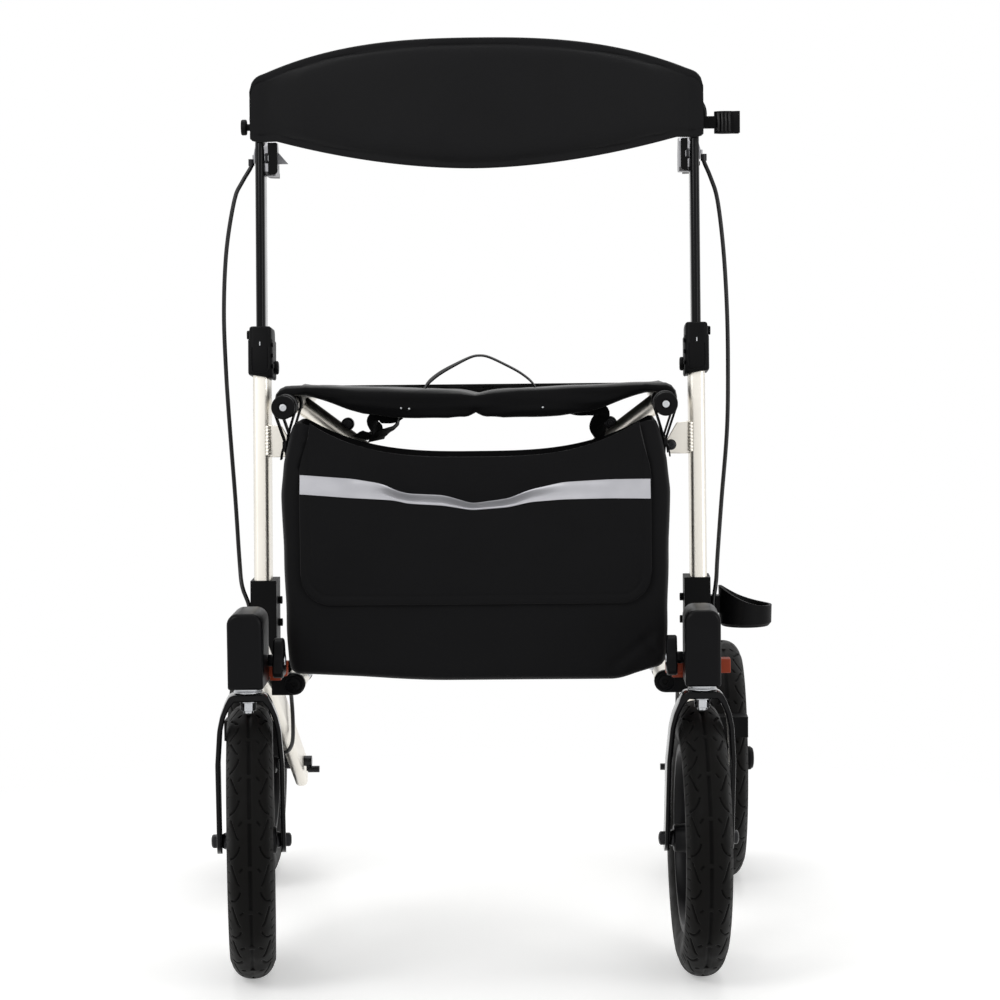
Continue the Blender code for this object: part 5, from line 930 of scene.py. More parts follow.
def socket_screw(profile, axis, middle, socket, depth):
    """A turned head whose last face holds a socket, its depth signed along the axis."""
    rings = []
    for along, radius in profile:
        rings.append(flat_ring(circle(middle, radius, AROUND_HEAD), axis, along))
    sixth = math.pi / 3
    face = profile[-1][0]
    for level in (face, face + depth):
        outline = []
        for k in range(AROUND_HEAD):
            turn = 2 * math.pi * k / AROUND_HEAD
            radius = socket * math.cos(sixth / 2) / math.cos(turn % sixth - sixth / 2)
            x, y = radius * math.cos(turn), radius * math.sin(turn)
            outline.append((middle[0] + x, middle[1] + y))
        rings.append(flat_ring(outline, axis, level))
    return loft(rings)


print("round and hexagon rings have", AROUND_HEAD, "points each")

# %% [markdown]
# ## Axle bolts of the front wheels
# The axle is a bolt with a domed head outside each leg and a spacer inside it that keeps the
# hub off the fork. Heads and spacers could be separate pieces, but one profile, mirrored,
# turns them all at once and leaves no gap between them.

# %% Axle bolts of the front wheels
DOME = [(0.0, 0.0076), (0.0038, 0.0076), (0.0052, 0.0066), (0.0060, 0.0045), (0.0062, 0.0030)]
DOME.append((0.0050, 0.0028))
SPACER = [(0.0, 0.0040), (0.0001, 0.0074), (0.0030, 0.0092), (0.0042, 0.0092), (0.0046, 0.0040)]
inner_leg, outer_leg = FORK_HALF - LEG / 2, FORK_HALF + LEG / 2
half_axle = [(outer_leg + along, radius) for along, radius in reversed(DOME)]
half_axle.append((outer_leg, 0.0040))
half_axle += [(inner_leg - along, radius) for along, radius in SPACER]
profile = half_axle + [(-x, r) for x, r in reversed(half_axle)]
for label in SIDES:
    axle = turned_to(lathe(profile, "X", (TRAIL, AXLE_Z)), label)
    nodes = [f"front_axle_{label}"]
    piece(f"{label}_front_axle", axle, blackened, f"{label}_caster", nodes)
print("front axles are", round(2000 * half_axle[0][0], 1), "mm long")

# %% [markdown]
# ## Caster housings
# The housings are hollow mouldings with a soft radius all round and a plain front. A cube
# with a bevel modifier comes near, but its top corners are rounder than its lower ones. So
# rings of one rounded outline are drawn in and out along Y. A tongue behind holds the swivel
# lock.

# %% Housings
HOUSING_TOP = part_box("caster_housing_right")[1].z
HOUSING_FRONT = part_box("caster_housing_right")[0].y
HOUSING_HALF, HOUSING_DEPTH = 0.019, 0.070
TOP_CORNER, LOW_CORNER, FRONT_ROUND = 0.0125, 0.0025, 0.0045
TONGUE_Y, TONGUE_Z, TONGUE_RADIUS = FRONT_Y + 0.008, HOUSING_BOTTOM + 0.0072, 0.006


def housing_ring(inset, y):
    half = HOUSING_HALF - inset
    bottom, top = HOUSING_BOTTOM + inset, HOUSING_TOP - inset
    corner = max(TOP_CORNER - inset, 0.0030)
    low = LOW_CORNER
    ring = arc((half - low, bottom + low), low, -90, 0, 4)
    ring += arc((half - corner, top - corner), corner, 0, 90, 12)
    ring += arc((corner - half, top - corner), corner, 90, 180, 12)
    ring += arc((low - half, bottom + low), low, 180, 270, 4)
    return [(STEER_X + x, y, z) for x, z in ring]


def housing_shape():
    front, back = HOUSING_FRONT, HOUSING_FRONT + HOUSING_DEPTH
    rings = []
    for k in range(8):
        turn = math.pi / 2 * k / 7
        inset, depth = FRONT_ROUND * (1 - math.sin(turn)), FRONT_ROUND * (1 - math.cos(turn))
        rings.append(housing_ring(inset, front + depth))
    for inset, depth in ((0.0, 0.002), (0.0006, 0.0006), (0.002, 0.0)):
        rings.append(housing_ring(inset, back - depth))
    return loft(rings)


for label, side in SIDES.items():
    root = HOUSING_FRONT + HOUSING_DEPTH - 0.004
    outline = [(root, TONGUE_Z - TONGUE_RADIUS)]
    outline += arc((TONGUE_Y, TONGUE_Z), TONGUE_RADIUS, -90, 90, 16)
    outline.append((root, TONGUE_Z + TONGUE_RADIUS))
    tongue = prism(outline, "X", STEER_X - 0.007, STEER_X + 0.007)
    shape, nodes = mirrored(merged(housing_shape(), tongue), side), [f"caster_housing_{label}"]
    piece(f"{label}_housing", shape, powder, f"{label}_frame", nodes)
print("housings from", round(HOUSING_BOTTOM, 4), "to", round(HOUSING_TOP, 4), "m")

# %% [markdown]
# ## Hand knobs
# A three-lobed knob on the inner side of each housing locks its direction. Three fused
# cylinders would leave creases between the lobes; a circle whose radius swells three times
# a turn has none. It stands on a blackened stem and is held by a bright screw.

# %% Hand knobs
KNOB_RADIUS, LOBE = 0.0205, 0.0040
# Steps of the knob from its face to its seat, as (drawn in by, depth)
KNOB_STEPS = [(0.0030, 0.0116), (0.0012, 0.0112), (0.0, 0.0098), (0.0, 0.0016), (0.0015, 0.0)]
for label, side in SIDES.items():
    at = (centre(f"hand_knob_{label}").y, HOUSING_BOTTOM + 0.0245)
    seat = STEER_X - HOUSING_HALF - GAP
    face = seat - 0.0065
    rings = []
    for inset, depth in KNOB_STEPS:
        outline = []
        for k in range(96):
            turn = 2 * math.pi * k / 96
            radius = KNOB_RADIUS + LOBE * math.cos(3 * turn) - inset
            outline.append((at[0] + radius * math.sin(turn), at[1] + radius * math.cos(turn)))
        rings.append(flat_ring(outline, "X", face - depth))
    knob, body = mirrored(loft(rings), side), f"{label}_hand_knob"
    piece(f"{label}_knob", knob, powder, body, [f"hand_knob_{label}"])
    profile = [(face - 0.002, 0.0065), (seat - 0.001, 0.0065), (seat, 0.0060)]
    stem = mirrored(lathe(profile, "X", at, 40), side)
    piece(f"{label}_knob_stem", stem, blackened, body)
    profile = [(face - 0.0121, 0.002), (face - 0.0124, 0.0045), (face - 0.0114, 0.0052)]
    cap = mirrored(lathe(profile, "X", at, 40), side)
    piece(f"{label}_knob_screw", cap, zinc, body)
print("hand knobs reach", round(1000 * (KNOB_RADIUS + LOBE), 1), "mm from their middle")

# %% [markdown]
# ## Sections that lean
# Uprights and handle tubes are extrusions that lean back by six degrees. A tube could be
# built upright and then turned, but then its ends would not be level. So each section is
# laid square to the leaning line, at a height that is measured on the real frame.

# %% Leaning ovals
LEAN = math.radians(6.0)
POST_FOOT_Y, POST_FOOT_Z = FRONT_Y + 0.192, 0.300


def oval(width, depth):
    """Two half circles joined by straight sides."""
    flat = (depth - width) / 2
    return arc((0, flat), width / 2, 0, 180, 16) + arc((0, -flat), width / 2, 180, 360, 16)


def post_y(z):
    """Where the leaning line lies at a height."""
    return POST_FOOT_Y + (z - POST_FOOT_Z) * math.tan(LEAN)


def post_ring(section, z):
    cosine, sine = math.cos(LEAN), math.sin(LEAN)
    return [(POST_X + u, post_y(z) + v * cosine, z - v * sine) for u, v in section]


print("uprights lean back by", round(math.degrees(LEAN), 1), "degrees")

# %% [markdown]
# ## Uprights with their welded brackets
# The uprights are open aluminium tubes of a rounded flat section, drawn as a ring of four
# sections: outside up, inside down. A plate of sheet aluminium is welded to each, and a
# black screw in it stops the folding frame. The weld could be left out, but a bead of metal
# is what joins such frames, so it is a string of ripples with a helix's swell.

# %% Uprights with their welded brackets
UPRIGHT_WIDTH, UPRIGHT_DEPTH, UPRIGHT_CORNER, UPRIGHT_WALL = 0.019, 0.038, 0.0055, 0.002
UPRIGHT_TOP = 0.690
BRACKET_LOW, BRACKET_HIGH, BRACKET_REACH, BRACKET_PLATE = 0.558, 0.595, 0.0277, 0.005


def weld(start, end, radius, beads):
    """A weld seam: a string of overlapping ripples along a straight run."""
    along = (end - start).normalized()
    side = along.orthogonal().normalized()
    other = along.cross(side)
    rings = []
    per_bead = 6
    steps = beads * per_bead
    for k in range(steps + 1):
        swell = radius * (0.8 + 0.2 * abs(math.sin(math.pi * k / per_bead)))
        if k in (0, steps):
            swell *= 0.3
        middle = start.lerp(end, k / steps)
        ring = circle((0, 0), swell, 12)
        rings.append([middle + side * u + other * v for u, v in ring])
    return loft(rings)


for label, side in SIDES.items():
    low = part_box(f"upright_{label}")[0].z + 0.001
    outer = rounded_rectangle(UPRIGHT_WIDTH, UPRIGHT_DEPTH, UPRIGHT_CORNER, 8)
    hollow = (size - 2 * UPRIGHT_WALL for size in (UPRIGHT_WIDTH, UPRIGHT_DEPTH))
    inner = rounded_rectangle(*hollow, UPRIGHT_CORNER - UPRIGHT_WALL, 8)
    rings = [post_ring(outer, low), post_ring(outer, UPRIGHT_TOP)]
    rings += [post_ring(inner, UPRIGHT_TOP), post_ring(inner, low)]
    slot, body = "champagne_aluminium", f"{label}_frame"
    upright = mirrored(loft(rings, joined=True), side)
    piece(f"{label}_upright", upright, anodised, body, [f"upright_{label}"])
    face = POST_X - UPRIGHT_WIDTH / 2
    tip = face - BRACKET_REACH
    plate_y = post_y(BRACKET_LOW) - 0.0125
    outline = [(tip, BRACKET_LOW + 0.009), (tip + 0.006, BRACKET_LOW), (face + 0.003, BRACKET_LOW)]
    outline += [(face + 0.003, BRACKET_HIGH + 0.002), (face - 0.004, BRACKET_HIGH)]
    outline += [(tip + 0.0135, BRACKET_HIGH - 0.001), (tip + 0.0005, BRACKET_LOW + 0.014)]
    plate = mirrored(prism(outline, "Y", plate_y, plate_y + BRACKET_PLATE), side)
    piece(f"{label}_bracket", plate, anodised, body, bevel=0.0009)
    heights = (BRACKET_LOW + 0.002, BRACKET_HIGH)
    ends = [Vector((face + 0.0018, post_y(z) - 0.0166, z)) for z in heights]
    piece(f"{label}_weld", mirrored(weld(*ends, 0.0036, 9), side), anodised, body)
    at = (tip + 0.0067, BRACKET_LOW + 0.0105)
    head = [(0.0, 0.0062), (0.0010, 0.0062), (0.0012, 0.0054), (0.0030, 0.0050), (0.0035, 0.0042)]
    head = [(plate_y - along, radius) for along, radius in head]
    nut = [(BRACKET_PLATE, 0.0058), (0.0080, 0.0055), (0.0085, 0.0045)]
    nut = [(plate_y + along, radius) for along, radius in nut]
    bolt = merged(socket_screw(head, "Y", at, 0.0026, 0.0018), lathe(nut, "Y", at, 6))
    piece(f"{label}_bracket_bolt", mirrored(bolt, side), blackened, body)
print("uprights end at", UPRIGHT_TOP, "m, brackets reach", BRACKET_REACH, "m inwards")

# %% [markdown]
# ## Handle tubes and grips
# The black handle tubes telescope inside the uprights, so their height can be set, and bend
# back into the grips. A curve with a bevel object could sweep them; a loft of one flat oval
# keeps its flat sides upright through the bend. A grip swells where the palm rests, has fine
# ribs round that part and closes in a dome.

# %% Handle tubes and grips
BEND_Z, BEND_RADIUS, END_LEAN = 0.912, 0.045, math.radians(86.0)
HANDLE_LOW, HANDLE_WIDTH, HANDLE_DEPTH = 0.520, 0.0112, 0.033
GRIP_WIDTH, GRIP_HEIGHT, GRIP_LENGTH = 0.034, 0.042, 0.125
SWELL_AT = [0.0, 0.03, 0.07, 0.14, 0.3, 0.5, 0.7, 0.88, 0.94, 0.98, 1.0]
SWELL_BY = [0.90, 1.05, 1.05, 0.94, 0.97, 1.0, 0.98, 0.94, 0.92, 0.84, 0.62]
RIBS, RIB_SHARE, RIBBED_FROM, RIBBED_TO = 26, 0.012, 0.16, 0.86


def handle_station(lean):
    """Place in the bend where the tube has come to a lean."""
    y = post_y(BEND_Z) + BEND_RADIUS * (math.cos(LEAN) - math.cos(lean))
    return y, BEND_Z + BEND_RADIUS * (math.sin(lean) - math.sin(LEAN)), lean


def grip_station(along):
    y, z, lean = handle_station(END_LEAN)
    return y + along * math.sin(lean), z + along * math.cos(lean), lean


def handle_ring(section, station):
    y, z, lean = station
    return [(POST_X + u, y + v * math.cos(lean), z - v * math.sin(lean)) for u, v in section]


def grip_section(scale):
    width, height = GRIP_WIDTH * scale, GRIP_HEIGHT * scale
    turns = [2 * math.pi * k / 40 for k in range(40)]
    return [(width / 2 * math.cos(a), height / 2 * math.sin(a)) for a in turns]


for label, side in SIDES.items():
    path = [(post_y(HANDLE_LOW), HANDLE_LOW, LEAN)]
    path += [handle_station(LEAN + (END_LEAN - LEAN) * k / 20) for k in range(21)]
    path.append(grip_station(GRIP_LENGTH - 0.006))
    section = oval(HANDLE_WIDTH, HANDLE_DEPTH)
    bent = mirrored(loft([handle_ring(section, station) for station in path]), side)
    body = f"{label}_handle"
    piece(f"{label}_handle_tube", bent, enamel, body, [f"handle_tube_{label}"])
    rings = []
    for k in range(101):
        share = k / 100
        scale = float(np.interp(share, SWELL_AT, SWELL_BY))
        if RIBBED_FROM < share < RIBBED_TO:
            scale += RIB_SHARE * math.sin(2 * math.pi * share * RIBS)
        rings.append(handle_ring(grip_section(scale), grip_station(GRIP_LENGTH * share)))
    grip = mirrored(loft(rings), side)
    piece(f"{label}_grip", grip, grip_rubber, body, [f"grip_{label}"])
print("grips are", GRIP_LENGTH, "m long with", RIBS, "ribs to that length")

# %% [markdown]
# ## Tubes along routes
# Cables and thin tubes follow free lines in space. A curve object with a round bevel makes
# them quickly, but its ring of points can twist along the way. Here a smooth curve runs
# through given points, and each ring is carried on from the last without twist.


# %% Tubes along routes
def smooth_route(points, spacing):
    """Points about one spacing apart on a smooth curve through the given points."""
    knots = [Vector(p) for p in points]
    knots = [2 * knots[0] - knots[1]] + knots + [2 * knots[-1] - knots[-2]]
    route = []
    for a, b, c, d in zip(knots, knots[1:], knots[2:], knots[3:]):
        steps = max(1, round((c - b).length / spacing))
        for k in range(steps):
            t = k / steps
            bend = (2 * a - 5 * b + 4 * c - d) * (t * t / 2)
            route.append(b + (c - a) * (t / 2) + bend + (3 * b - a - 3 * c + d) * (t**3 / 2))
    return route + [knots[-2]]


def tube(route, radius, sides=16):
    """A round tube along a route, its section carried on without twist."""
    rings = []
    side = None
    for k, point in enumerate(route):
        ahead = (route[min(k + 1, len(route) - 1)] - route[max(k - 1, 0)]).normalized()
        side = ahead.orthogonal() if side is None else side - ahead * side.dot(ahead)
        side.normalize()
        other = ahead.cross(side)
        rings.append([point + side * u + other * v for u, v in circle((0, 0), radius, sides)])
    return loft(rings)


corner = [Vector(p) for p in ((0, 0, 0), (0, 0, 1), (0, 1, 1))]
print("a corner smoothed at a tenth takes", len(smooth_route(corner, 0.1)), "points")

# %% [markdown]
# ## Height clamps
# A moulded clamp sits over the end of each upright and pinches the handle tube. A box with
# rounded edges comes near, but its upper part is drawn in and its lower edge slants, so it
# is a loft of sections listed from below. A raised frame in the shape of a U stands on its
# front, ribs on its inner side, and a steel pin shows the height.

# %% Clamps
CLAMP_LOW, CLAMP_HIGH = 0.6515, 0.7075
CLAMP_WIDTH, CLAMP_DEPTH, CLAMP_FRONT = 0.0288, 0.052, 0.0262
CLAMP_SLANT = 0.0045
# Sections as (height, drawn in by, corner radius)
CLAMP_STEPS = [
    (CLAMP_LOW, 0.0030, 0.0055),
    (CLAMP_LOW + 0.0010, 0.0012, 0.0064),
    (CLAMP_LOW + 0.0030, 0.0, 0.0070),
    (CLAMP_HIGH - 0.0160, 0.0, 0.0070),
    (CLAMP_HIGH - 0.0140, 0.0022, 0.0060),
    (CLAMP_HIGH - 0.0050, 0.0026, 0.0058),
    (CLAMP_HIGH - 0.0012, 0.0040, 0.0050),
    (CLAMP_HIGH, 0.0070, 0.0040),
]
# The raised frame on the right half of the front, as (sideways, rise)
HALF_U = [(0.0060, 0.0055), (0.0098, 0.0100), (0.0098, 0.0345)]
U_LINE = [(-x, rise) for x, rise in reversed(HALF_U)] + HALF_U
for label, side in SIDES.items():
    rings = []
    for z, shrink, corner in CLAMP_STEPS:
        section = rounded_rectangle(CLAMP_WIDTH - shrink, CLAMP_DEPTH - shrink, corner, 6)
        ring = post_ring(section, z)
        if z < CLAMP_LOW + 0.005:
            # The lower edge slants down towards the inner side
            inner = [max(0.0, (POST_X - x) / (CLAMP_WIDTH / 2)) for x, _, _ in ring]
            ring = [(x, y, h - CLAMP_SLANT * share) for (x, y, h), share in zip(ring, inner)]
        rings.append(ring)
    slot, body = "black_plastic", f"{label}_frame"
    clamp = mirrored(loft(rings), side)
    piece(f"{label}_clamp", clamp, nylon, body, [f"height_clamp_{label}"])
    line = [(POST_X + x, CLAMP_LOW + rise) for x, rise in U_LINE]
    line = [Vector((x, post_y(z) - CLAMP_FRONT, z)) for x, z in line]
    border = tube(smooth_route(line, 0.002), 0.0009, 10)
    piece(f"{label}_clamp_panel", mirrored(border, side), nylon, body)
    pin_z = CLAMP_HIGH - 0.0175
    pin_y = post_y(pin_z) - CLAMP_FRONT
    outline = rounded_outline((POST_X, pin_z), 0.0013, 0.0046, 0.0006)
    pin = mirrored(prism(outline, "Y", pin_y - 0.0004, pin_y + 0.001), side)
    piece(f"{label}_clamp_pin", pin, zinc, body)
    ribs = []
    for k in range(3):
        z = CLAMP_LOW + 0.012 + 0.0125 * k
        outline = rounded_outline((post_y(z) - 0.017, z), 0.015, 0.0050, 0.0020)
        ribs.append(prism(outline, "X", POST_X - 0.0152, POST_X - 0.0140))
    ribs = mirrored(merged(*ribs), side)
    piece(f"{label}_clamp_ribs", ribs, nylon, body, bevel=0.0005)
    at = (post_y(CLAMP_HIGH) - 0.004, CLAMP_HIGH - 0.008)
    outline = rounded_outline(at, 0.020, 0.010, 0.003)
    tip = mirrored(prism(outline, "X", POST_X + 0.012, POST_X + 0.0166), side)
    piece(f"{label}_clamp_tip", tip, nylon, body, bevel=0.0008)
print("clamps from", CLAMP_LOW, "to", CLAMP_HIGH, "m")

# %% [markdown]
# ## Brake cables
# The casings leave the levers straight down, bow out beside the frame and dive inside the
# beams to the brake arms. A hanging cable could be simulated, but these are stiff and keep
# the line a fitter gave them, so their route is the one of the CAD cables, drawn
# with a finer tube.

# %% Cable tubes
CABLE_RADIUS, SLEEVE_RADIUS = 0.0025, 0.0036
# Points as (sideways, distance behind the front axles, height over the axles)
CABLE_START = [(0.2640, 0.2580, 0.7540), (0.2640, 0.2580, 0.7460)]
CABLE_UPPER = {
    "left": [
        (0.2755, 0.2555, 0.7265), (0.2840, 0.2520, 0.7066), (0.2938, 0.2470, 0.6485),
        (0.2973, 0.2400, 0.5787), (0.2955, 0.2340, 0.5090), (0.2914, 0.2280, 0.4390),
        (0.2858, 0.2220, 0.3574), (0.2816, 0.2150, 0.2877), (0.2780, 0.2060, 0.2580),
    ],
    "right": [
        (0.2720, 0.2550, 0.7260), (0.2795, 0.2520, 0.7000), (0.2859, 0.2470, 0.6420),
        (0.2893, 0.2400, 0.5726), (0.2898, 0.2340, 0.5030), (0.2880, 0.2280, 0.4335),
        (0.2809, 0.2220, 0.3523), (0.2755, 0.2150, 0.2860), (0.2735, 0.2070, 0.2600),
    ],
}
CABLE_LOWER = [
    (0.2698, 0.2000, 0.2360), (0.2698, 0.1990, 0.2180), (0.2700, 0.2120, 0.2060),
    (0.2680, 0.2340, 0.1940), (0.2520, 0.2460, 0.1750), (0.2380, 0.2620, 0.1500),
    (0.2320, 0.2850, 0.1240), (0.2315, 0.3000, 0.1060), (0.2318, 0.3120, 0.0780),
    (0.2345, 0.3280, 0.0530), (0.2420, 0.3430, 0.0395), (0.25075, 0.3520, 0.0370),
]
for label, side in SIDES.items():
    points = CABLE_START + CABLE_UPPER[label] + CABLE_LOWER
    points = [Vector((side * x, FRONT_Y + y, AXLE_Z + above)) for x, y, above in points]
    route = smooth_route(points, 0.006)
    slot, body = "black_plastic", f"{label}_frame"
    cable, nodes = tube(route, CABLE_RADIUS), [f"brake_cable_{label}"]
    cable = piece(f"{label}_cable", cable, casing, body, nodes)
    # Crimped end sleeve under the lever
    sleeve = tube(points[:2], SLEEVE_RADIUS, 24)
    sleeve = piece(f"{label}_cable_sleeve", sleeve, blackened, body)

# %% [markdown]
# ## Seat rails
# The seat hangs between two aluminium tubes. Black caps with a bright screw close them, and
# a collar keeps the webbing in its place. Cylinders from Blender's menu would have sharp
# rims; a profile on the lathe rounds each rim as the real tool does. Each profile lists
# steps as (distance from one place, radius).

# %% Rails
RAIL_RADIUS, RAIL_FRONT, RAIL_BACK = 0.0115, FRONT_Y + 0.040, FRONT_Y + 0.350
CAP_DEPTH, COLLAR_Y = 0.012, FRONT_Y + 0.075
RAIL_END = [(-0.0006, RAIL_RADIUS), (0.0, RAIL_RADIUS - 0.0006), (0.0, RAIL_RADIUS - 0.002)]
RAIL_END.append((-0.01, RAIL_RADIUS - 0.002))
CAP = [(CAP_DEPTH + 0.004, 0.0095), (CAP_DEPTH, 0.0118), (CAP_DEPTH - 0.001, 0.0130)]
CAP += [(0.0030, 0.0132), (0.0008, 0.0128), (0.0, 0.0118), (0.0, 0.0062)]
CAP += [(0.0008, 0.0056), (0.0012, 0.0040)]
SCREW = [(0.0012, 0.0040), (0.0002, 0.0038), (0.0, 0.0030), (0.0, 0.0016), (0.0009, 0.0014)]
COLLAR = [(0.0, RAIL_RADIUS), (0.0, 0.0131), (0.0005, 0.0135), (0.0075, 0.0135)]
COLLAR += [(0.008, 0.0131), (0.008, RAIL_RADIUS)]
CROSS_OF = {"left": "cross_b", "right": "cross_a"}


def turned_from(start, steps, middle, segments):
    """A lathe along Y whose steps are counted from a place."""
    return lathe([(start + along, radius) for along, radius in steps], "Y", middle, segments)


for label, side in SIDES.items():
    slot, body = "champagne_aluminium", CROSS_OF[label]
    middle = (side * PIVOT_X, RAIL_Z)
    front = (RAIL_FRONT + CAP_DEPTH - RAIL_BACK, RAIL_RADIUS)
    rail = turned_from(RAIL_BACK, [front] + RAIL_END, middle, 56)
    piece(f"{label}_rail", rail, anodised, body, [f"seat_rail_{label}"])
    piece(f"{label}_rail_cap", turned_from(RAIL_FRONT, CAP, middle, 64), nylon, body)
    piece(f"{label}_rail_screw", turned_from(RAIL_FRONT, SCREW, middle, 32), zinc, body)
    piece(f"{label}_rail_collar", turned_from(COLLAR_Y, COLLAR, middle, 64), nylon, body)
print("rails are", round(RAIL_BACK - RAIL_FRONT, 3), "m long")

# %% [markdown]
# ## Crossing tubes
# Two tubes cross under the seat. Each turns on a pin low on one side and carries the seat
# rail of the other side, so pulling the seat up draws the sides together. They could be one
# piece in the rest pose, but they have to turn against each other, so each is its own loft
# between its pivot and its rail, one behind the other, with a turned end and a small lug.

# %% Crossing tubes
PIVOT_Z = AXLE_Z + 0.1555
CROSS_Y = {"a": FRONT_Y + 0.178, "b": FRONT_Y + 0.203}
CROSS_RADIUS, FOOT_CLEAR, TOP_CLEAR = 0.011, 0.040, 0.0075
BARREL_FROM, BARREL_TO, BARREL_RADIUS = FRONT_Y + 0.1253, FRONT_Y + 0.2149, 0.0115
LUG_ALONG, LUG_OFF = 0.464, 0.0136
# The lug's outline from its back to its buffer, as (distance from the tube's plane, radius)
LUG = [(0.005, 0.0070), (0.0046, 0.0075), (-0.0046, 0.0075), (-0.005, 0.0068)]
LUG += [(-0.0052, 0.0046), (-0.0064, 0.0044), (-0.0065, 0.0024), (-0.0050, 0.0022)]
for kind, side in (("a", 1), ("b", -1)):
    plane = CROSS_Y[kind]
    foot, top = Vector((-PIVOT_X, plane, PIVOT_Z)), Vector((PIVOT_X, plane, RAIL_Z))
    along = (top - foot).normalized()
    up = Vector((-along.z, 0, along.x))
    rings = []
    for middle in (foot + along * FOOT_CLEAR, top - along * TOP_CLEAR):
        ring = circle((0, 0), CROSS_RADIUS, 56)
        rings.append([middle + Vector((0, u, 0)) + up * v for u, v in ring])
    ends = [(BARREL_FROM, BARREL_RADIUS), (BARREL_TO, BARREL_RADIUS)]
    barrel = lathe(ends, "Y", (-PIVOT_X, PIVOT_Z), 56)
    shape = mirrored(merged(loft(rings), barrel), side)
    slot, body = "champagne_aluminium", f"cross_{kind}"
    piece(f"tube_{kind}", shape, anodised, body, [f"cross_tube_{kind}"], bevel=0.0005)
    # A turned steel end joins the tube to its pivot
    fitting = [foot + along * reach for reach in (0.004, 0.0365, 0.0366, 0.0415)]
    stub = merged(tube(fitting[:2], 0.0078, 32), tube(fitting[2:], 0.0105, 32))
    piece(f"fitting_{kind}", mirrored(stub, side), zinc, body, bevel=0.0005)
    lug_at = foot + along * LUG_ALONG + up * LUG_OFF
    lug = mirrored(turned_from(plane, LUG, (lug_at.x, lug_at.z), 40), side)
    piece(f"lug_{kind}", lug, blackened, body)
rise = math.degrees(math.atan2(RAIL_Z - PIVOT_Z, 2 * PIVOT_X))
print("frame tubes rise at", round(rise, 1), "degrees")

# %% [markdown]
# ## Dent in the bag's front
# The bag is a soft open box, hung from the rails by webbing. Its weight pulls the rim down
# in the middle, and the rim drags the front flap back with it: the flap is dented under its
# upper edge, so the reflective stripe lies almost flat there and looks thin from the front.
# A cloth simulation would find its own folds, not these. So the dent is one function of
# place, shared by flap, stripe and front wall, and soft noise gives the cloth its rumples.

# %% Dent of the front
BAG_FRONT, BAG_BACK = FRONT_Y + 0.035, FRONT_Y + 0.150
BAG_BOTTOM, BAG_TOP = AXLE_Z + 0.169, AXLE_Z + 0.456
# Half width of the bag at shares of its height: it hangs from its corners and bulges below
BAG_AT = [0.0, 0.3, 0.55, 0.72, 0.84, 0.92, 0.97, 1.0]
BAG_HALF = [0.2090, 0.2115, 0.2140, 0.2145, 0.2115, 0.2065, 0.2020, 0.1985]
FLAP_HALF, FLAP_LOW, FLAP_CORNER = 0.1935, AXLE_Z + 0.255, 0.034
RIM_SAG, GATHER = 0.039, 0.065
TAPE_WIDTH = 0.0215
# Lower and upper edge of the stripe across the flap: (x, low, high) from the axle's height
STRIPE = [
    (-0.1935, 0.3786, 0.3994), (-0.137, 0.3740, 0.3950), (-0.104, 0.3718, 0.3885),
    (-0.088, 0.3705, 0.3800), (-0.075, 0.3670, 0.3764), (-0.035, 0.3644, 0.3743),
    (-0.004, 0.3590, 0.3644), (0.037, 0.3620, 0.3700), (0.061, 0.3677, 0.3800),
    (0.097, 0.3703, 0.3885), (0.150, 0.3712, 0.3915), (0.1935, 0.3705, 0.3920),
]
BLUR = 17
fine = np.linspace(-FLAP_HALF, FLAP_HALF, 259)
window = np.hanning(BLUR) / np.hanning(BLUR).sum()


def smoothed(values):
    """A line through the stripe's points with its corners blurred."""
    curve = np.interp(fine, [row[0] for row in STRIPE], values)
    return np.convolve(np.pad(curve, BLUR // 2, mode="edge"), window, mode="valid")


stripe_low = smoothed([AXLE_Z + row[1] for row in STRIPE])
stripe_high = smoothed([AXLE_Z + row[2] for row in STRIPE])
stripe_sunk = 0.9 * np.sqrt(np.maximum(TAPE_WIDTH**2 - (stripe_high - stripe_low) ** 2, 0.0))


def eased(share):
    """0 to 1 with a soft start and a soft end."""
    share = np.clip(share, 0.0, 1.0)
    return share * share * (3 - 2 * share)


def rim_height(x):
    share = np.minimum(1.0, np.abs(x) / FLAP_HALF)
    return BAG_TOP - RIM_SAG * (1 - share**3)


def above_stripe(x, z):
    """0 at the stripe's upper edge and 1 at the rim."""
    high = np.interp(x, fine, stripe_high)
    return eased((z - high) / np.maximum(rim_height(x) - high, 0.001))


def dent(x, z):
    """How far the front lies back at a place."""
    low, high = np.interp(x, fine, stripe_low), np.interp(x, fine, stripe_high)
    sunk = np.interp(x, fine, stripe_sunk)
    return sunk * eased((z - low) / (high - low)) * (1 - 0.35 * above_stripe(x, z))


def drawn_in(x, z):
    """Above the stripe the cloth is gathered, so the front narrows towards its rim."""
    return x * (1 - GATHER * above_stripe(x, z))


def rumple(x, z, size, height, layer=0.0):
    """Soft random unevenness of cloth, the same at every run."""
    flat = np.broadcast_arrays(x, z)
    points = zip(flat[0].ravel(), flat[1].ravel())
    values = [noise.noise(Vector((a / size, layer, b / size))) for a, b in points]
    return height * np.array(values).reshape(flat[0].shape)


def offset(points, amount):
    """Moves a grid of points along its own normals, which face the front."""
    along, up = np.gradient(points, axis=0), np.gradient(points, axis=1)
    normal = np.cross(along, up)
    normal /= np.linalg.norm(normal, axis=2, keepdims=True)
    return points + normal * amount


def sheet_between(front, back):
    """Closed thin shape between two grids of points."""
    return loft([[*front[k], *back[k][::-1]] for k in range(len(front))])


print("the stripe is sunk by up to", round(1000 * stripe_sunk.max(), 1), "mm")

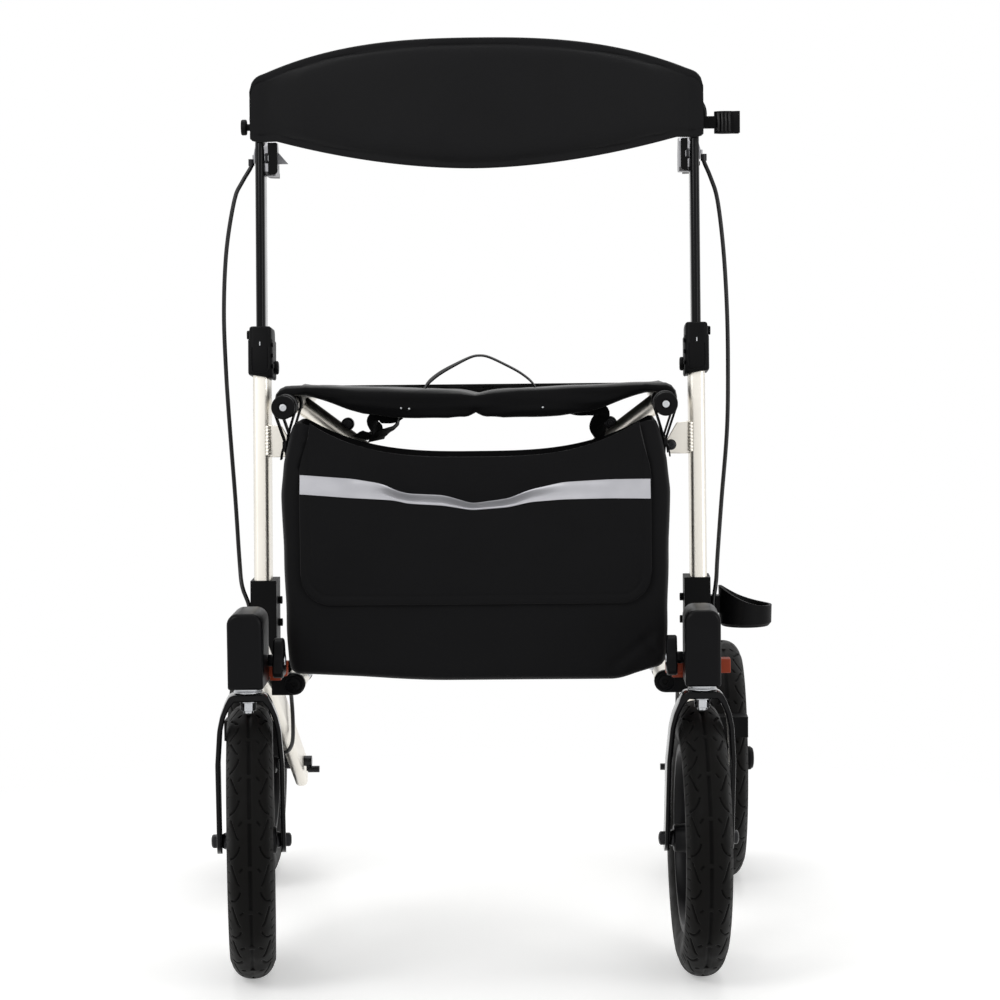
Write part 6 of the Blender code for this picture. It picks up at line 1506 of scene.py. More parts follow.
# %% [markdown]
# ## Flap and stripe
# The flap is one cut of polyester with rounded lower corners and a bound edge, sewn along
# its top. A flat plane with a cloth modifier could hang there; a grid of points laid on the
# dented front gives a line exactly along the stripe's edges. The hem is raised and its seam
# sunk by the distance from the edge. The stripe is a second grid, laid on the first.

# %% Flap and stripe
FLAP_FRONT = BAG_FRONT - GAP - 0.0030
HEM, HEM_RAISED, SEAM_SUNK, CLOTH_THICK = 0.0092, 0.0007, 0.0008, 0.0018
TAPE_INSET = 0.0008


def flap_bottom(x):
    past = np.maximum(np.abs(x) - (FLAP_HALF - FLAP_CORNER), 0.0)
    return FLAP_LOW + FLAP_CORNER - np.sqrt(np.maximum(FLAP_CORNER**2 - past**2, 0.0))


def flap_grid(columns, lows, highs, rows):
    """Points of the flap's face, row by row between two heights in each column."""
    share = np.linspace(0.0, 1.0, rows)[None, :]
    x = np.repeat(columns[:, None], rows, 1)
    z = lows[:, None] + (highs - lows)[:, None] * share
    y = FLAP_FRONT + dent(x, z) + rumple(x, z, 0.055, 0.0014)
    return np.stack([drawn_in(x, z), y, z], -1)


def stripe_edges(columns):
    return (np.interp(columns, fine, line) for line in (stripe_low, stripe_high))


# Columns of points stand closer near the rounded corners
spread = [-FLAP_HALF, -0.17, 0.17, FLAP_HALF]
columns = np.interp(np.linspace(0, 1, 221), [0, 0.06, 0.94, 1], spread)
low_line, high_line = stripe_edges(columns)
parts = [
    flap_grid(columns, flap_bottom(columns), low_line, 70)[:, :-1],
    flap_grid(columns, low_line, high_line, 12)[:, :-1],
    flap_grid(columns, high_line, rim_height(columns), 24),
]
face = np.concatenate(parts, axis=1)
x, z = face[:, :, 0], face[:, :, 2]
inward = np.minimum(FLAP_HALF - np.abs(x), z - flap_bottom(x))
past_x = np.abs(x) - (FLAP_HALF - FLAP_CORNER)
past_z = FLAP_LOW + FLAP_CORNER - z
in_corner = (past_x > 0) & (past_z > 0)
inward = np.where(in_corner, FLAP_CORNER - np.hypot(past_x, past_z), inward)
hem = HEM_RAISED * eased((HEM - inward) / 0.0012)
hem = hem - SEAM_SUNK * np.exp(-(((inward - HEM - 0.0006) / 0.0011) ** 2))
# Towards its very edge the cloth gets thinner, so that the rim is rounded
thin = CLOTH_THICK / 2 * eased(1 - inward / 0.0022)
flap_front = offset(face, (hem - thin)[:, :, None])
flap_back = offset(face, (thin - CLOTH_THICK)[:, :, None])
flap, nodes = sheet_between(flap_front, flap_back), ["bag_flap"]
flap = piece("front_flap", flap, polyester, "flap", nodes, smooth_angle=70)

columns = np.linspace(TAPE_INSET - FLAP_HALF, FLAP_HALF - TAPE_INSET, 221)
tape = flap_grid(columns, *stripe_edges(columns), 14)
stripe = sheet_between(offset(tape, 0.0013), offset(tape, 0.0002))
stripe = piece("reflective_stripe", stripe, reflective, "flap", smooth_angle=60)
for cloth in (flap, stripe):
    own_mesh(cloth)
print("flap:", len(flap.data.vertices), "points, stripe:", len(stripe.data.vertices))

# %% [markdown]
# ## Shell of the bag
# The bag is sewn from panels round a stiffened floor. A box with a subdivision modifier
# would look inflated; this one hangs. Its plan outline is a rounded rectangle, and rings of
# it run down the inside and up the outside. Each point is then moved by what acts on it
# there: the dent in front, folds at a tucked corner, walls that draw in, and rumples.

# %% Shell of the bag
BAG_WALL, FLOOR_ROUND, BAG_CORNER = 0.0024, 0.012, 0.014
# Folds where the corner is tucked up, as runs from one (x, z) to another
FOLDS = [((0.150, 0.335), (0.196, 0.372)), ((0.172, 0.328), (0.200, 0.350))]
FOLDS.append(((0.185, 0.366), (0.204, 0.340)))
FOLD_SUNK, FOLD_WIDTH = 0.0026, 0.0035
# How near to a wall a point has to lie to move with it
NEAR_WALL = 0.03


def bag_bottom(x):
    """The right corner is tucked up; the left one hangs only a little higher than the middle."""
    return BAG_BOTTOM + 0.013 * eased((x - 0.148) / 0.055) + 0.008 * eased((-x - 0.03) / 0.17)


def creases(x, z):
    depth = np.zeros_like(x)
    for start, end in FOLDS:
        away = segment_distance(x, z, start, end) / FOLD_WIDTH
        depth += FOLD_SUNK * np.exp(-(away**2))
    return depth


def bag_ring(inset, share, lift=0.0):
    """Plan outline of the bag, drawn in by inset, at a share of its height."""
    half = float(np.interp(share, BAG_AT, BAG_HALF)) - inset
    corner = BAG_CORNER - min(inset, 0.010)
    front, back = BAG_FRONT + inset, BAG_BACK - inset
    line = np.linspace(corner - half, half - corner, 91)
    outline = [(a, front) for a in line]
    outline += arc((half - corner, front + corner), corner, -90, 0, 6)[1:]
    outline += [(half, y) for y in np.linspace(front + corner, back - corner, 22)[1:-1]]
    outline += arc((half - corner, back - corner), corner, 0, 90, 6)
    outline += [(a, back) for a in line[::-1][1:-1]]
    outline += arc((corner - half, back - corner), corner, 90, 180, 6)
    outline += [(-half, y) for y in np.linspace(back - corner, front + corner, 22)[1:-1]]
    outline += arc((corner - half, front + corner), corner, 180, 270, 6)[:-1]
    x, y = np.array(outline).T
    low = bag_bottom(x) + lift
    z = low + (rim_height(x) - low) * share
    in_front = np.clip((BAG_FRONT + NEAR_WALL - y) / NEAR_WALL, 0, 1)
    y = y + in_front * (dent(x, z) * (np.abs(x) < FLAP_HALF) + creases(x, z))
    behind_flap = 0.0012 + 0.0014 * eased((z - FLAP_LOW) / 0.03)
    y = y + in_front * (rumple(x, z, 0.07, 0.0012, 5.0) + behind_flap)
    # The side walls draw in between rim and floor
    middle_height = math.sin(math.pi * share)
    beside = np.clip((np.abs(x) - half + BAG_CORNER) / BAG_CORNER, 0, 1)
    x = x - np.sign(x) * beside * rumple(y, z, 0.05, 0.0015, 9.0)
    x = x + in_front * (drawn_in(x, z) - x) * (1 - beside)
    behind = np.clip((y - BAG_BACK + NEAR_WALL) / NEAR_WALL, 0, 1)
    y = y - behind * (0.003 * middle_height + rumple(x, z, 0.08, 0.0018, 3.0) + 0.001)
    return np.stack([x, y, z], -1)


rings = [bag_ring(2 * BAG_WALL + 0.010, 0.0, BAG_WALL + 0.001)]
rings.append(bag_ring(BAG_WALL + 0.002, 0.0, BAG_WALL + 0.008))
rings += [bag_ring(BAG_WALL, share) for share in np.linspace(0.06, 0.985, 34)]
rings += [bag_ring(BAG_WALL * 0.8, 1.0), bag_ring(BAG_WALL * 0.25, 1.0)]
# A binding makes the rim a little thicker
rings += [bag_ring(-0.0006 * (share > 0.955), share) for share in np.linspace(0.99, 0.055, 58)]
for k in range(1, 5):
    turn = math.pi / 2 * k / 4
    inset, lift = FLOOR_ROUND * (1 - math.cos(turn)), FLOOR_ROUND * (1 - math.sin(turn))
    rings.append(bag_ring(inset, 0.0, lift))
cloth, nodes = "black_fabric", ["bag_body"]
bag = piece("bag", loft(rings), polyester, "seat_and_bag", nodes, smooth_angle=70)
print("bag:", len(rings), "rings, rim sags by", RIM_SAG, "m")

# %% [markdown]
# ## Webbing
# Webbing is a flat band that bends easily one way and hardly the other. A curve with a flat
# bevel would twist it at will, so a ribbon takes a direction for its width at each point.
# Four loops carry the bag: each is a V from its top corner round the rail and back, closed
# by a ladder buckle, with its free end hanging down.


# %% Webbing
def ribbon(middles, across, thickness, width):
    """Flat strap through middle points; across gives the direction of its width at each."""
    rings = []
    for k, (middle, wide) in enumerate(zip(middles, across)):
        ahead = (middles[min(k + 1, len(middles) - 1)] - middles[max(k - 1, 0)]).normalized()
        wide = (wide - ahead * wide.dot(ahead)).normalized()
        thin = ahead.cross(wide)
        ring = rounded_rectangle(width, thickness, thickness * 0.45, 3)
        rings.append([middle + wide * u + thin * v for u, v in ring])
    return loft(rings)


STRAP_Y = (FRONT_Y + 0.062, FRONT_Y + 0.1275)
LOOP_RADIUS, STRAP_WIDTH, STRAP_THICK = RAIL_RADIUS + GAP + 0.0010, 0.019, 0.0017
# Runs of one loop in front view, as (x, z): up outside, down inside, and the free end
OUTSIDE = [(0.2090, 0.5660), (0.2100, 0.5780), (0.2118, 0.5870)]
INSIDE = [(0.2060, 0.5960), (0.2078, 0.5850), (0.2072, 0.5640)]
TAIL = [(0.2112, 0.5820), (0.2138, 0.5745), (0.2152, 0.5650)]
ROUND_RAIL = arc((PIVOT_X, RAIL_Z), LOOP_RADIUS, -25, 212, 28)
BUCKLE_Z, BUCKLE_FROM, BUCKLE_TO = 0.5815, 0.2078, 0.2126


def band_at(y, line, thickness, lean=0.0):
    """Webbing that lies along a line in front view."""
    route = smooth_route([Vector((x, y, z)) for x, z in line], 0.004)
    return ribbon(route, [Vector((0, 1, lean))] * len(route), thickness, STRAP_WIDTH)


for label, side in SIDES.items():
    straps, buckles = [], []
    for y in STRAP_Y:
        straps.append(band_at(y, OUTSIDE + ROUND_RAIL + INSIDE, STRAP_THICK))
        straps.append(band_at(y, TAIL, STRAP_THICK - 0.0001, 0.1))
        outline = rounded_outline((y, BUCKLE_Z), 0.025, 0.0085, 0.002)
        buckles.append(prism(outline, "X", BUCKLE_FROM, BUCKLE_TO))
    straps, buckles = (mirrored(merged(*shapes), side) for shapes in (straps, buckles))
    name, slot, body = f"{label}_bag_straps", "black_fabric", "seat_and_bag"
    strap = piece(name, straps, webbing, body, smooth_angle=60)
    name, slot = f"{label}_strap_buckles", "black_plastic"
    buckle = piece(name, buckles, nylon, body, bevel=0.0010)
    for cloth in (strap, buckle):
        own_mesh(cloth)
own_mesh(bag)
print("the bag hangs from", 2 * len(STRAP_Y), "loops")

# %% [markdown]
# ## Closing straps between seat and bag
# Under the seat hang loose straps that close the bag. They fall as they like, twisted, and
# partly seen edge on. No rule gives that, so each strand is a list of points
# with a tilt, and the ribbon turns its width from one to the next.

# %% Closing straps between seat and bag
# Each strand as (x, distance behind the front axles, height over the axles, tilt in degrees);
# a strand is seen edge on where its tilt is 0
CLOSING = {
    "left": [
        [
            (-0.0800, 0.112, 0.4690, 40), (-0.0835, 0.108, 0.4660, 52),
            (-0.0935, 0.104, 0.4600, 55), (-0.1092, 0.104, 0.4595, 55),
            (-0.1149, 0.106, 0.4554, 42), (-0.1143, 0.110, 0.4486, 24),
            (-0.1132, 0.114, 0.4441, 18), (-0.1182, 0.122, 0.4396, 30),
            (-0.1273, 0.134, 0.4362, 24), (-0.1330, 0.142, 0.4334, 26),
        ],
        [
            (-0.0860, 0.114, 0.4660, 8), (-0.0873, 0.110, 0.4554, 4),
            (-0.0901, 0.110, 0.4497, 8), (-0.0968, 0.114, 0.4458, 16),
            (-0.1047, 0.122, 0.4418, 22), (-0.1115, 0.132, 0.4362, 28),
            (-0.1150, 0.142, 0.4306, 28),
        ],
    ],
    "right": [
        [
            (0.1030, 0.112, 0.4650, 20), (0.1150, 0.110, 0.4640, 30),
            (0.1280, 0.108, 0.4650, 36), (0.1400, 0.106, 0.4640, 40),
            (0.1425, 0.106, 0.4590, 46), (0.1375, 0.108, 0.4530, 50),
            (0.1355, 0.112, 0.4465, 52), (0.1385, 0.120, 0.4400, 44),
            (0.1430, 0.134, 0.4340, 36),
        ],
    ],
}
for label, strands in CLOSING.items():
    bands = []
    for strand in strands:
        route = smooth_route([Vector((x, FRONT_Y + y, AXLE_Z + z)) for x, y, z, _ in strand], 0.002)
        places = np.linspace(0, len(strand) - 1, len(route))
        tilts = np.radians(np.interp(places, range(len(strand)), [row[3] for row in strand]))
        across = []
        for k, tilt in enumerate(tilts):
            ahead = route[min(k + 1, len(route) - 1)] - route[max(k - 1, 0)]
            beside = Vector((-ahead.z, 0, ahead.x)).normalized()
            across.append(Vector((0, math.cos(tilt), 0)) + beside * math.sin(tilt))
        bands.append(ribbon(route, across, 0.0013, 0.020))
    name, slot, body = f"{label}_closing_strap", "black_fabric", "seat_and_bag"
    band = piece(name, merged(*bands), webbing, body, smooth_angle=60)
    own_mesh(band)
    print(name, "has", len(strands), "strands")

# %% [markdown]
# ## Seat
# The seat is a thin padded sling between the rails. It creases along its middle, where it
# folds. Along its front runs a fuller padded band, shaped like a lens on each half, with
# long creases where the cloth is drawn towards the rails. It could be sculpted, but rings
# across the seat keep it even: each is a top and a bottom line that close round the rail.

# %% Seat sling
SEAT_FRONT, SEAT_BACK = FRONT_Y + 0.085, FRONT_Y + 0.340
SEAT_TOP = RAIL_Z + 0.0231
SEAT_THICK, SAG, NOSE = 0.013, 0.0085, 0.0105
# Behind its front the seat drops a little, and what lies above its shoulder sinks with it
DROP, SHOULDER = 0.010, RAIL_Z + 0.0118
CREASE_DEPTH, CREASE_HALF = 0.0032, 0.013
CHANNEL_AT, CHANNEL_HALF = 0.046, 0.0025
# Thickness of the front band, in millimetres, at shares of the way from the middle to the rail
BAND_AT = [0.0, 0.05, 0.15, 0.3, 0.45, 0.6, 0.68, 0.76, 0.85, 0.93, 1.0]
BAND_MM = [21.0, 28.0, 32.0, 32.5, 32.0, 29.0, 25.0, 19.5, 14.0, 10.0, 8.0]


def seat_ring(y, shrink, band):
    """Section of the seat; shrink rounds its ends, band is 1 in the thick front and 0 behind."""
    across = np.concatenate([np.linspace(0, 0.04, 9), np.linspace(0.06, 0.9, 40)])
    x = PIVOT_X * across
    run = (y - SEAT_FRONT) / (SEAT_BACK - SEAT_FRONT)
    plump = 0.0015 * np.sin(math.pi * across**0.8)
    fold = CREASE_DEPTH * np.exp(-((x / CREASE_HALF) ** 2))
    flat = np.full_like(x, y)
    top = SEAT_TOP - SAG * (1 - across**1.6) + plump - fold
    top = top + rumple(x, flat, 0.05, 0.0013, 1.0) - DROP * run
    thick = np.interp(across, BAND_AT, BAND_MM) / 1000
    thick = SEAT_THICK * np.minimum(1, thick / SEAT_THICK) * (1 - band) + thick * band
    bottom = top - thick + rumple(x, flat, 0.06, 0.0010, 2.0)
    level = (top + bottom) / 2
    top, bottom = level + (top - level) * shrink, level + (bottom - level) * shrink
    outer = RAIL_RADIUS + GAP + 0.0026 * shrink
    edge = PIVOT_X + outer
    high = [(PIVOT_X - 0.006, SEAT_TOP - 0.0006), (PIVOT_X + 0.002, SEAT_TOP - 0.0012)]
    high += [(PIVOT_X + 0.008, SEAT_TOP - 0.004), (edge - 0.0015, RAIL_Z + 0.0130)]
    over = []
    for a, b in high:
        b = SHOULDER + (b - SHOULDER) * shrink
        # Behind the band the cloth lies closer to the rail
        if b > SHOULDER:
            lowest = RAIL_Z + math.sqrt(max(outer**2 - (a - PIVOT_X) ** 2, 0))
            b = max(b - 1.05 * DROP * run, lowest)
        over.append((a, b))
    over += [(edge, RAIL_Z + 0.006), (edge, RAIL_Z - 0.001)]
    tucked = arc((PIVOT_X, RAIL_Z), RAIL_RADIUS + GAP, 0, 112, 10)
    half = list(zip(x, top)) + over + tucked + list(zip(x, bottom))[::-1]
    left = [(-a, b) for a, b in reversed(half)][1:-1]
    ring = np.array(half + left)
    # Long shallow creases run along the front band
    creased = rumple(ring[:, 0] * 0.13, ring[:, 1], 0.0085, 0.0022, 4.0) * band
    return [(a, y + c, b) for (a, b), c in zip(ring, creased)]


stations = []
for k in range(11):
    turn = math.pi / 2 * k / 10
    y = SEAT_FRONT + 0.0015 + NOSE * (1 - math.cos(turn))
    stations.append((y, max(0.10, math.sin(turn) ** 0.8), 1.0))
for y in np.linspace(SEAT_FRONT + NOSE + 0.004, SEAT_BACK - 0.006, 50):
    behind = eased((y - SEAT_FRONT - 0.016) / 0.030)
    # A sewn channel closes the band behind
    channel = math.exp(-(((y - SEAT_FRONT - CHANNEL_AT) / CHANNEL_HALF) ** 2))
    stations.append((y, 1.0 - 0.22 * channel, 1.0 - float(behind)))
for k in range(1, 7):
    turn = math.pi / 2 * k / 6
    stations.append((SEAT_BACK - 0.0045 * (1 - math.sin(turn)), max(0.12, math.cos(turn)), 0.0))
shape, slot, body = loft([seat_ring(*station) for station in stations]), "black_fabric", "seat_and_bag"
seat = piece("seat_sling_pad", shape, cover_cloth, body, ["seat_sling"], smooth_angle=80)

# Three bright rivets show in the front band, at (x, z)
RIVETS = ((-0.0829, 0.6195), (-0.0740, 0.6188), (0.0750, 0.6190))
RIVET = [(0.004, 0.0013), (0.0006, 0.0013), (-0.0001, 0.0009), (-0.0003, 0.0004)]
rivets = merged(*[turned_from(SEAT_FRONT, RIVET, at, 20) for at in RIVETS])
rivets = piece("seat_rivets", rivets, zinc, "seat_and_bag")
print("seat:", len(stations), "rings, sags by", SAG, "m")

# %% [markdown]
# ## Lift strap
# A strap on the seat folds the frame when it is pulled up. It stands in an arch by its own
# stiffness. Half an ellipse would be too round for it, so its arch is a short list of
# shares, used once for each half.

# %% Lift strap
# Half of the strap's arch, as (share of the way out, share of the way down)
ARCH = [(0.0, 0.0), (0.16, 0.045), (0.43, 0.25), (0.70, 0.49), (0.89, 0.73), (0.97, 0.92)]
ARCH.append((1.0, 1.12))
STRAP_AT, STRAP_SPAN, STRAP_TOP, STRAP_DROP = FRONT_Y + 0.200, 0.0655, 0.6738, 0.0405
STRAP_MIDDLE = 0.002
arch = [(-out, down) for out, down in reversed(ARCH)] + ARCH[1:]
points = []
for out, down in arch:
    x, z = STRAP_MIDDLE + STRAP_SPAN * out, STRAP_TOP - STRAP_DROP * down
    points.append(Vector((x, STRAP_AT, z)))
route = smooth_route(points, 0.003)
# Its left end is twisted towards the front a little, so its face shows there
twist = [0.04 + 0.22 * max(0.0, -point.x / STRAP_SPAN) for point in route]
band = ribbon(route, [Vector((0, 1, lean)) for lean in twist], 0.0016, 0.020)
lift = piece("lift_strap", band, webbing, "seat_and_bag", smooth_angle=60)
for cloth in (seat, lift, rivets):
    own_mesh(cloth)
print("lift strap stands up to", STRAP_TOP, "m")

# %% [markdown]
# ## Backrest
# The backrest is a wide padded strap that bows forward between the handles. It swells
# towards its middle, and a row of stitches runs round it a few millimetres inside its edge.
# A plane could be inflated by a simulation; rings from one end to the other do the same with
# a few formulas, for the two curved edges, the bow, the swell and the seam.

# %% Backrest
BACK_HALF, BACK_FLAT = POST_X + 0.0105, POST_X - 0.0085
BACK_LOW, BACK_HIGH = AXLE_Z + 0.7735, AXLE_Z + 0.8465
BACK_BOW, END_ROUND = 0.066, 0.012


def backrest_ring(x):
    share, bow = abs(x) / BACK_HALF, 1 - min(1.0, abs(x) / BACK_FLAT) ** 2
    y = BACK_PLANE - BACK_BOW * bow
    end = min(1.0, max(0.0, (abs(x) - BACK_HALF + END_ROUND) / END_ROUND))
    rounded = 1 - math.sqrt(1 - end * end)
    low = BACK_LOW - 0.0362 + 0.0355 * min(1.0, share / 0.88) ** 1.85 + 0.0035 * rounded
    high = BACK_HIGH + 0.0385 - 0.0400 * share**2.7 - 0.0130 * rounded
    thick = 0.0048 + 0.0095 * min(1.0, 3 * bow)
    middle, reach = (low + high) / 2, (high - low) / 2
    heights = np.sin(np.linspace(-math.pi / 2, math.pi / 2, 49))
    edge = reach * (1 - np.abs(heights))
    z = middle + reach * heights
    seam = 0.0014 * np.exp(-(((edge - 0.0080) / 0.0010) ** 2))
    binding = 0.0030 * np.sqrt(np.clip(edge / 0.0018, 0, 1))
    swell = (thick - 0.0034) * (1 - np.exp(-np.maximum(edge - 0.0085, 0) / 0.009))
    folds = rumple(np.full_like(z, x), z, 0.045, 0.0010, 7.0) * np.clip(edge / 0.01, 0, 1)
    front = y - binding - swell + seam - folds
    back = y + np.where(edge < 0.0008, -0.0012, 0.0)
    ring = [(x, a, b) for a, b in zip(front, z)]
    return ring + [(x, a, b) for a, b in zip(back[::-1], z[::-1])][1:-1]


BACK_PLANE = post_y(BACK_LOW) - 0.033 / 2 * math.cos(LEAN) - GAP
places = [
    np.linspace(-BACK_HALF, -BACK_FLAT, 8)[:-1],
    np.linspace(-BACK_FLAT, BACK_FLAT, 121),
    np.linspace(BACK_FLAT, BACK_HALF, 8)[1:],
]
rest = loft([backrest_ring(x) for x in np.concatenate(places)])
slot, body = "black_fabric", "left_handle"
rest = piece("backrest_pad", rest, back_cloth, body, ["backrest"], smooth_angle=75)
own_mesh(rest)
print("backrest spans", round(2 * BACK_HALF, 3), "m")

# %% [markdown]
# ## Lever mounts
# A mount clamps the brake lever under the grip. It could be built anew, but its solid is
# right, so it keeps its CAD form with finer edges and a slimmer ear. It gains what a fitter
# adds: a black cover plate in front, and the head of the lever's pin in a bright ring. Only
# the left mount is turned so far that its stiffening rib shows.

# %% Lever mounts
MOUNT_FRONT = FRONT_Y + 0.243
# Reach of each cover plate from the middle of the tube: the mounts are clamped on by hand and
# turned a little, each its own way
COVERS = {"left": (0.0205, 0.0095), "right": (0.0158, 0.0078)}
COVER_LOW, COVER_HIGH, COVER_HALF = 0.8852, 0.9222, 0.0010
EAR_FROM, EAR_Z, EAR_REACH, EAR_HEIGHT = POST_X + 0.0058, 0.9045, 0.45, 0.32
RIB_X, RIB_TIP, RIB_LOW, RIB_TOP = POST_X - 0.0175, POST_X - 0.0298, 0.8985, 0.9130
RIB_FRONT, RIB_THICK = FRONT_Y + 0.276, 0.005
PIN_X, PIN_AT = POST_X - 0.0080, (MOUNT_FRONT + 0.0032, 0.9042)


def slim_ear(co):
    """Draws the ear that holds the cable in towards the mount and makes it lower."""
    out = abs(co.x) - EAR_FROM
    if out > 0:
        co.x = math.copysign(EAR_FROM + EAR_REACH * out, co.x)
        co.z = EAR_Z + (co.z - EAR_Z) * EAR_HEIGHT


def button(half, radius):
    """A disc about the lever's pin with its edges broken by 0.4 mm."""
    edge = 0.0004
    steps = [(-half, radius - edge), (edge - half, radius), (half - edge, radius)]
    steps.append((half, radius - edge))
    return lathe([(PIN_X + along, r) for along, r in steps], "X", PIN_AT, 40)


for label, side in SIDES.items():
    body = f"{label}_handle"
    refined(f"lever_mount_{label}", cast_grey, 0.0010, reshape=slim_ear)
    inner, outer = (POST_X - reach for reach in COVERS[label])
    outline = arc((inner + 0.0050, COVER_LOW + 0.0050), 0.0050, 180, 270, 8)
    outline += [(outer, COVER_LOW), (outer, COVER_HIGH)]
    outline += arc((inner + 0.0020, COVER_HIGH - 0.0020), 0.0020, 90, 180, 4)
    cover = prism(outline, "Y", MOUNT_FRONT - COVER_HALF, MOUNT_FRONT + COVER_HALF)
    cover = mirrored(cover, side)
    piece(f"{label}_mount_cover", cover, nylon, body, bevel=0.0004)
    if label == "left":
        outline = [(RIB_X, RIB_TOP), (RIB_TIP, RIB_LOW), (RIB_X, RIB_LOW)]
        rib = mirrored(prism(outline, "Y", RIB_FRONT, RIB_FRONT + RIB_THICK), side)
        slot = "champagne_aluminium"
        piece(f"{label}_mount_rib", rib, cast_grey, body, bevel=0.0006)
    ring, head = (mirrored(button(*size), side) for size in ((0.0024, 0.0060), (0.0017, 0.0068)))
    piece(f"{label}_mount_ring", ring, zinc, body)
    piece(f"{label}_mount_pin", head, blackened, body)
print("cover plates from", COVER_LOW, "to", COVER_HIGH, "m")

# %% [markdown]
# ## Pivot caps
# A ringed black cap with a socket screw covers each low pivot in front. The rings could be
# bump in the material, but their shadows are what is seen, so the profile has them.

# %% Pivot caps
CAP_FACE = FRONT_Y + 0.1155
CAP_STEPS = [(0.0020, 0.0116), (-0.0006, 0.0116), (-0.0015, 0.0108), (-0.0017, 0.0096), (-0.0010, 0.0089)]
CAP_STEPS += [(-0.0010, 0.0078), (-0.0018, 0.0070), (-0.0020, 0.0052)]
for label, side in SIDES.items():
    steps = [(CAP_FACE + depth, radius) for depth, radius in CAP_STEPS]
    cap = socket_screw(steps, "Y", (PIVOT_X, PIVOT_Z), 0.0040, 0.0022)
    piece(f"{label}_pivot_cap", mirrored(cap, side), powder, f"{label}_frame")
print("pivot caps stand at", round(PIVOT_Z, 4), "m")

# %% [markdown]
# ## Backrest knob and ribs of the stick clip
# On the left a knob holds the backrest, and on the right a clip takes a walking stick. The
# knob is turned from a profile. The clip keeps its CAD form; four upright rods make the
# finger ribs on its front, which a bump could not show in outline.

# %% Backrest knob and clip ribs
KNOB_SEAT = POST_X + HANDLE_WIDTH / 2 + GAP
BACK_KNOB = [(0.0, 0.0040), (0.0105, 0.0040), (0.0108, 0.0084), (0.0118, 0.0092)]
BACK_KNOB += [(0.0158, 0.0092), (0.0170, 0.0084), (0.0174, 0.0050)]
CLIP_RIBS, RIB_SPACING, RIB_HALF, RIB_ROD = 4, 0.0042, 0.0110, 0.0017
at = (centre("back_knob").y, centre("back_knob").z)
profile = [(KNOB_SEAT + along, radius) for along, radius in BACK_KNOB]
knob = mirrored(lathe(profile, "X", at, 40), -1)
slot, nodes = "black_plastic", frame["nodes"]
clip_low, clip_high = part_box("stick_clip")
clip_z = (clip_low.z + clip_high.z) / 2
rod = [(-RIB_HALF, 0.0010), (0.0010 - RIB_HALF, RIB_ROD), (RIB_HALF - 0.0010, RIB_ROD)]
rod.append((RIB_HALF, 0.0010))
rod = [(clip_z + along, radius) for along, radius in rod]
ribs = []
for k in range(CLIP_RIBS):
    rib_x = clip_high.x - 0.0125 - RIB_SPACING * k
    ribs.append(lathe(rod, "Z", (rib_x, clip_low.y + 0.0006), 16))
piece("stick_clip_ribs", merged(*ribs), casing, nodes["stick_clip"]["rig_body"])
piece("backrest_knob", knob, nylon, nodes["back_knob"]["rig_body"], ["back_knob"])
wide = 2000 * max(radius for _, radius in BACK_KNOB)
print("backrest knob of", round(wide, 1), "mm, stick clip with", CLIP_RIBS, "ribs")

# %% [markdown]
# ## Reshaped details
# A few solids are right but a little plain or too large. Cutting them with a Boolean would
# leave slivers; moving their points by a rule keeps them closed. Each rule is a small
# function of a point, which the finer copy of the CAD node is passed through.

# %% Reshaped details
BRAKE_LIMIT = REAR.x + TYRE_WIDTH / 2 - 0.0017
SOCKET_FACE, BOLT_SHARE = POST_X - 0.0173, 0.45
LOCK_TOP, LOCK_SHARE = HOUSING_BOTTOM + 0.0187, 0.68
LOCK_REACH = {-1: 0.0184, 1: 0.0338}
BLADE_FROM, BLADE_HALF, BLADE_END, BLADE_TAPER = FRONT_Y + 0.2955, 0.0122, 0.0060, 0.045


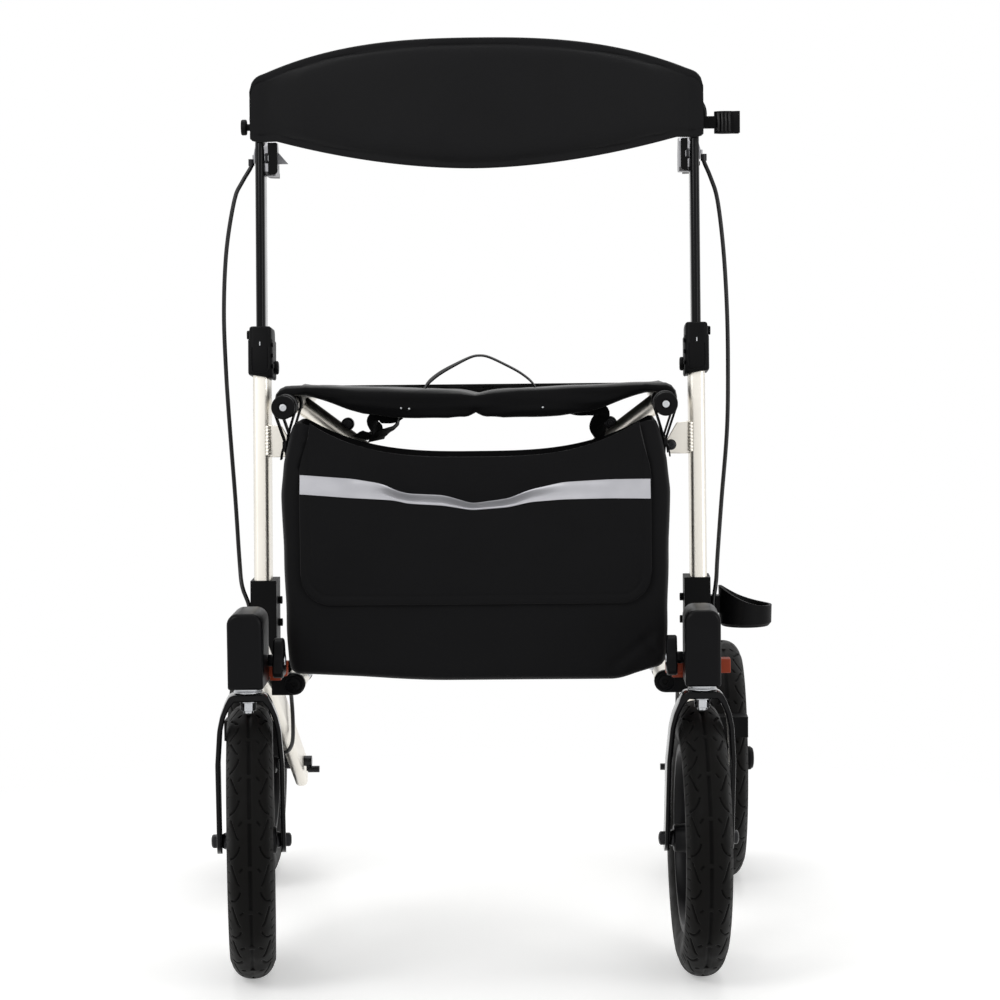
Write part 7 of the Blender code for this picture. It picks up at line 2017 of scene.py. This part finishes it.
def within_tyre(co):
    """The brake arm ends level with the tyre's side."""
    co.x = max(-BRAKE_LIMIT, min(BRAKE_LIMIT, co.x))


def short_bolts(co):
    """Bolt heads on the inner side of a socket are low domes."""
    if abs(co.x) < SOCKET_FACE:
        co.x = math.copysign(SOCKET_FACE - (SOCKET_FACE - abs(co.x)) * BOLT_SHARE, co.x)


def slim_lock(co):
    """The swivel lock is flatter, and its outer ear shorter, most of all on the left."""
    co.z = LOCK_TOP - (LOCK_TOP - co.z) * LOCK_SHARE
    reach = STEER_X + LOCK_REACH[-1 if co.x < 0 else 1]
    if abs(co.x) > reach:
        co.x = math.copysign(reach, co.x)


def slim_blade(co):
    """Behind its mount the lever narrows towards its end, as its lower side does."""
    past = co.y - BLADE_FROM
    if past > -0.0005:
        inset = max(BLADE_END, BLADE_HALF - BLADE_TAPER * past)
        co.x = math.copysign(max(abs(co.x), POST_X - inset), co.x)


for label in SIDES:
    refined(f"brake_arm_{label}", nylon, reshape=within_tyre)
    refined(f"socket_{label}", nylon, 0.0016, reshape=short_bolts)
    refined(f"swivel_lock_{label}", red_nylon, 0.0022, reshape=slim_lock)
    refined(f"rear_axle_{label}", blackened)
    refined(f"brake_lever_{label}", powder, reshape=slim_blade)
print("reshaped: brake arms, sockets, swivel locks and brake levers")

# %% [markdown]
# ## Small moulded and turned parts
# Knobs, brackets and bolts keep the forms of their CAD nodes. They could be built again by
# hand, which would gain nothing: all they lack is that no real moulding has a knife edge. So
# each gets a rounding of a few tenths of a millimetre that catches the light.

# %% Dress the remaining nodes
FINISHES = {
    "champagne_aluminium": anodised,
    "satin_black": powder,
    "black_plastic": nylon,
    "rubber": grip_rubber,
    "tyre": tyre_rubber,
    "steel": zinc,
    "red_plastic": red_nylon,
    "black_fabric": cover_cloth,
}
replaced = {n for o in bpy.data.objects for n in o.get("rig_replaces", [])}
for node in sorted(set(frame["nodes"]) - replaced):
    refined(node, FINISHES[SLOTS[node]])
print("dressed", len(frame["nodes"]) - len(replaced), "small parts from their CAD forms")
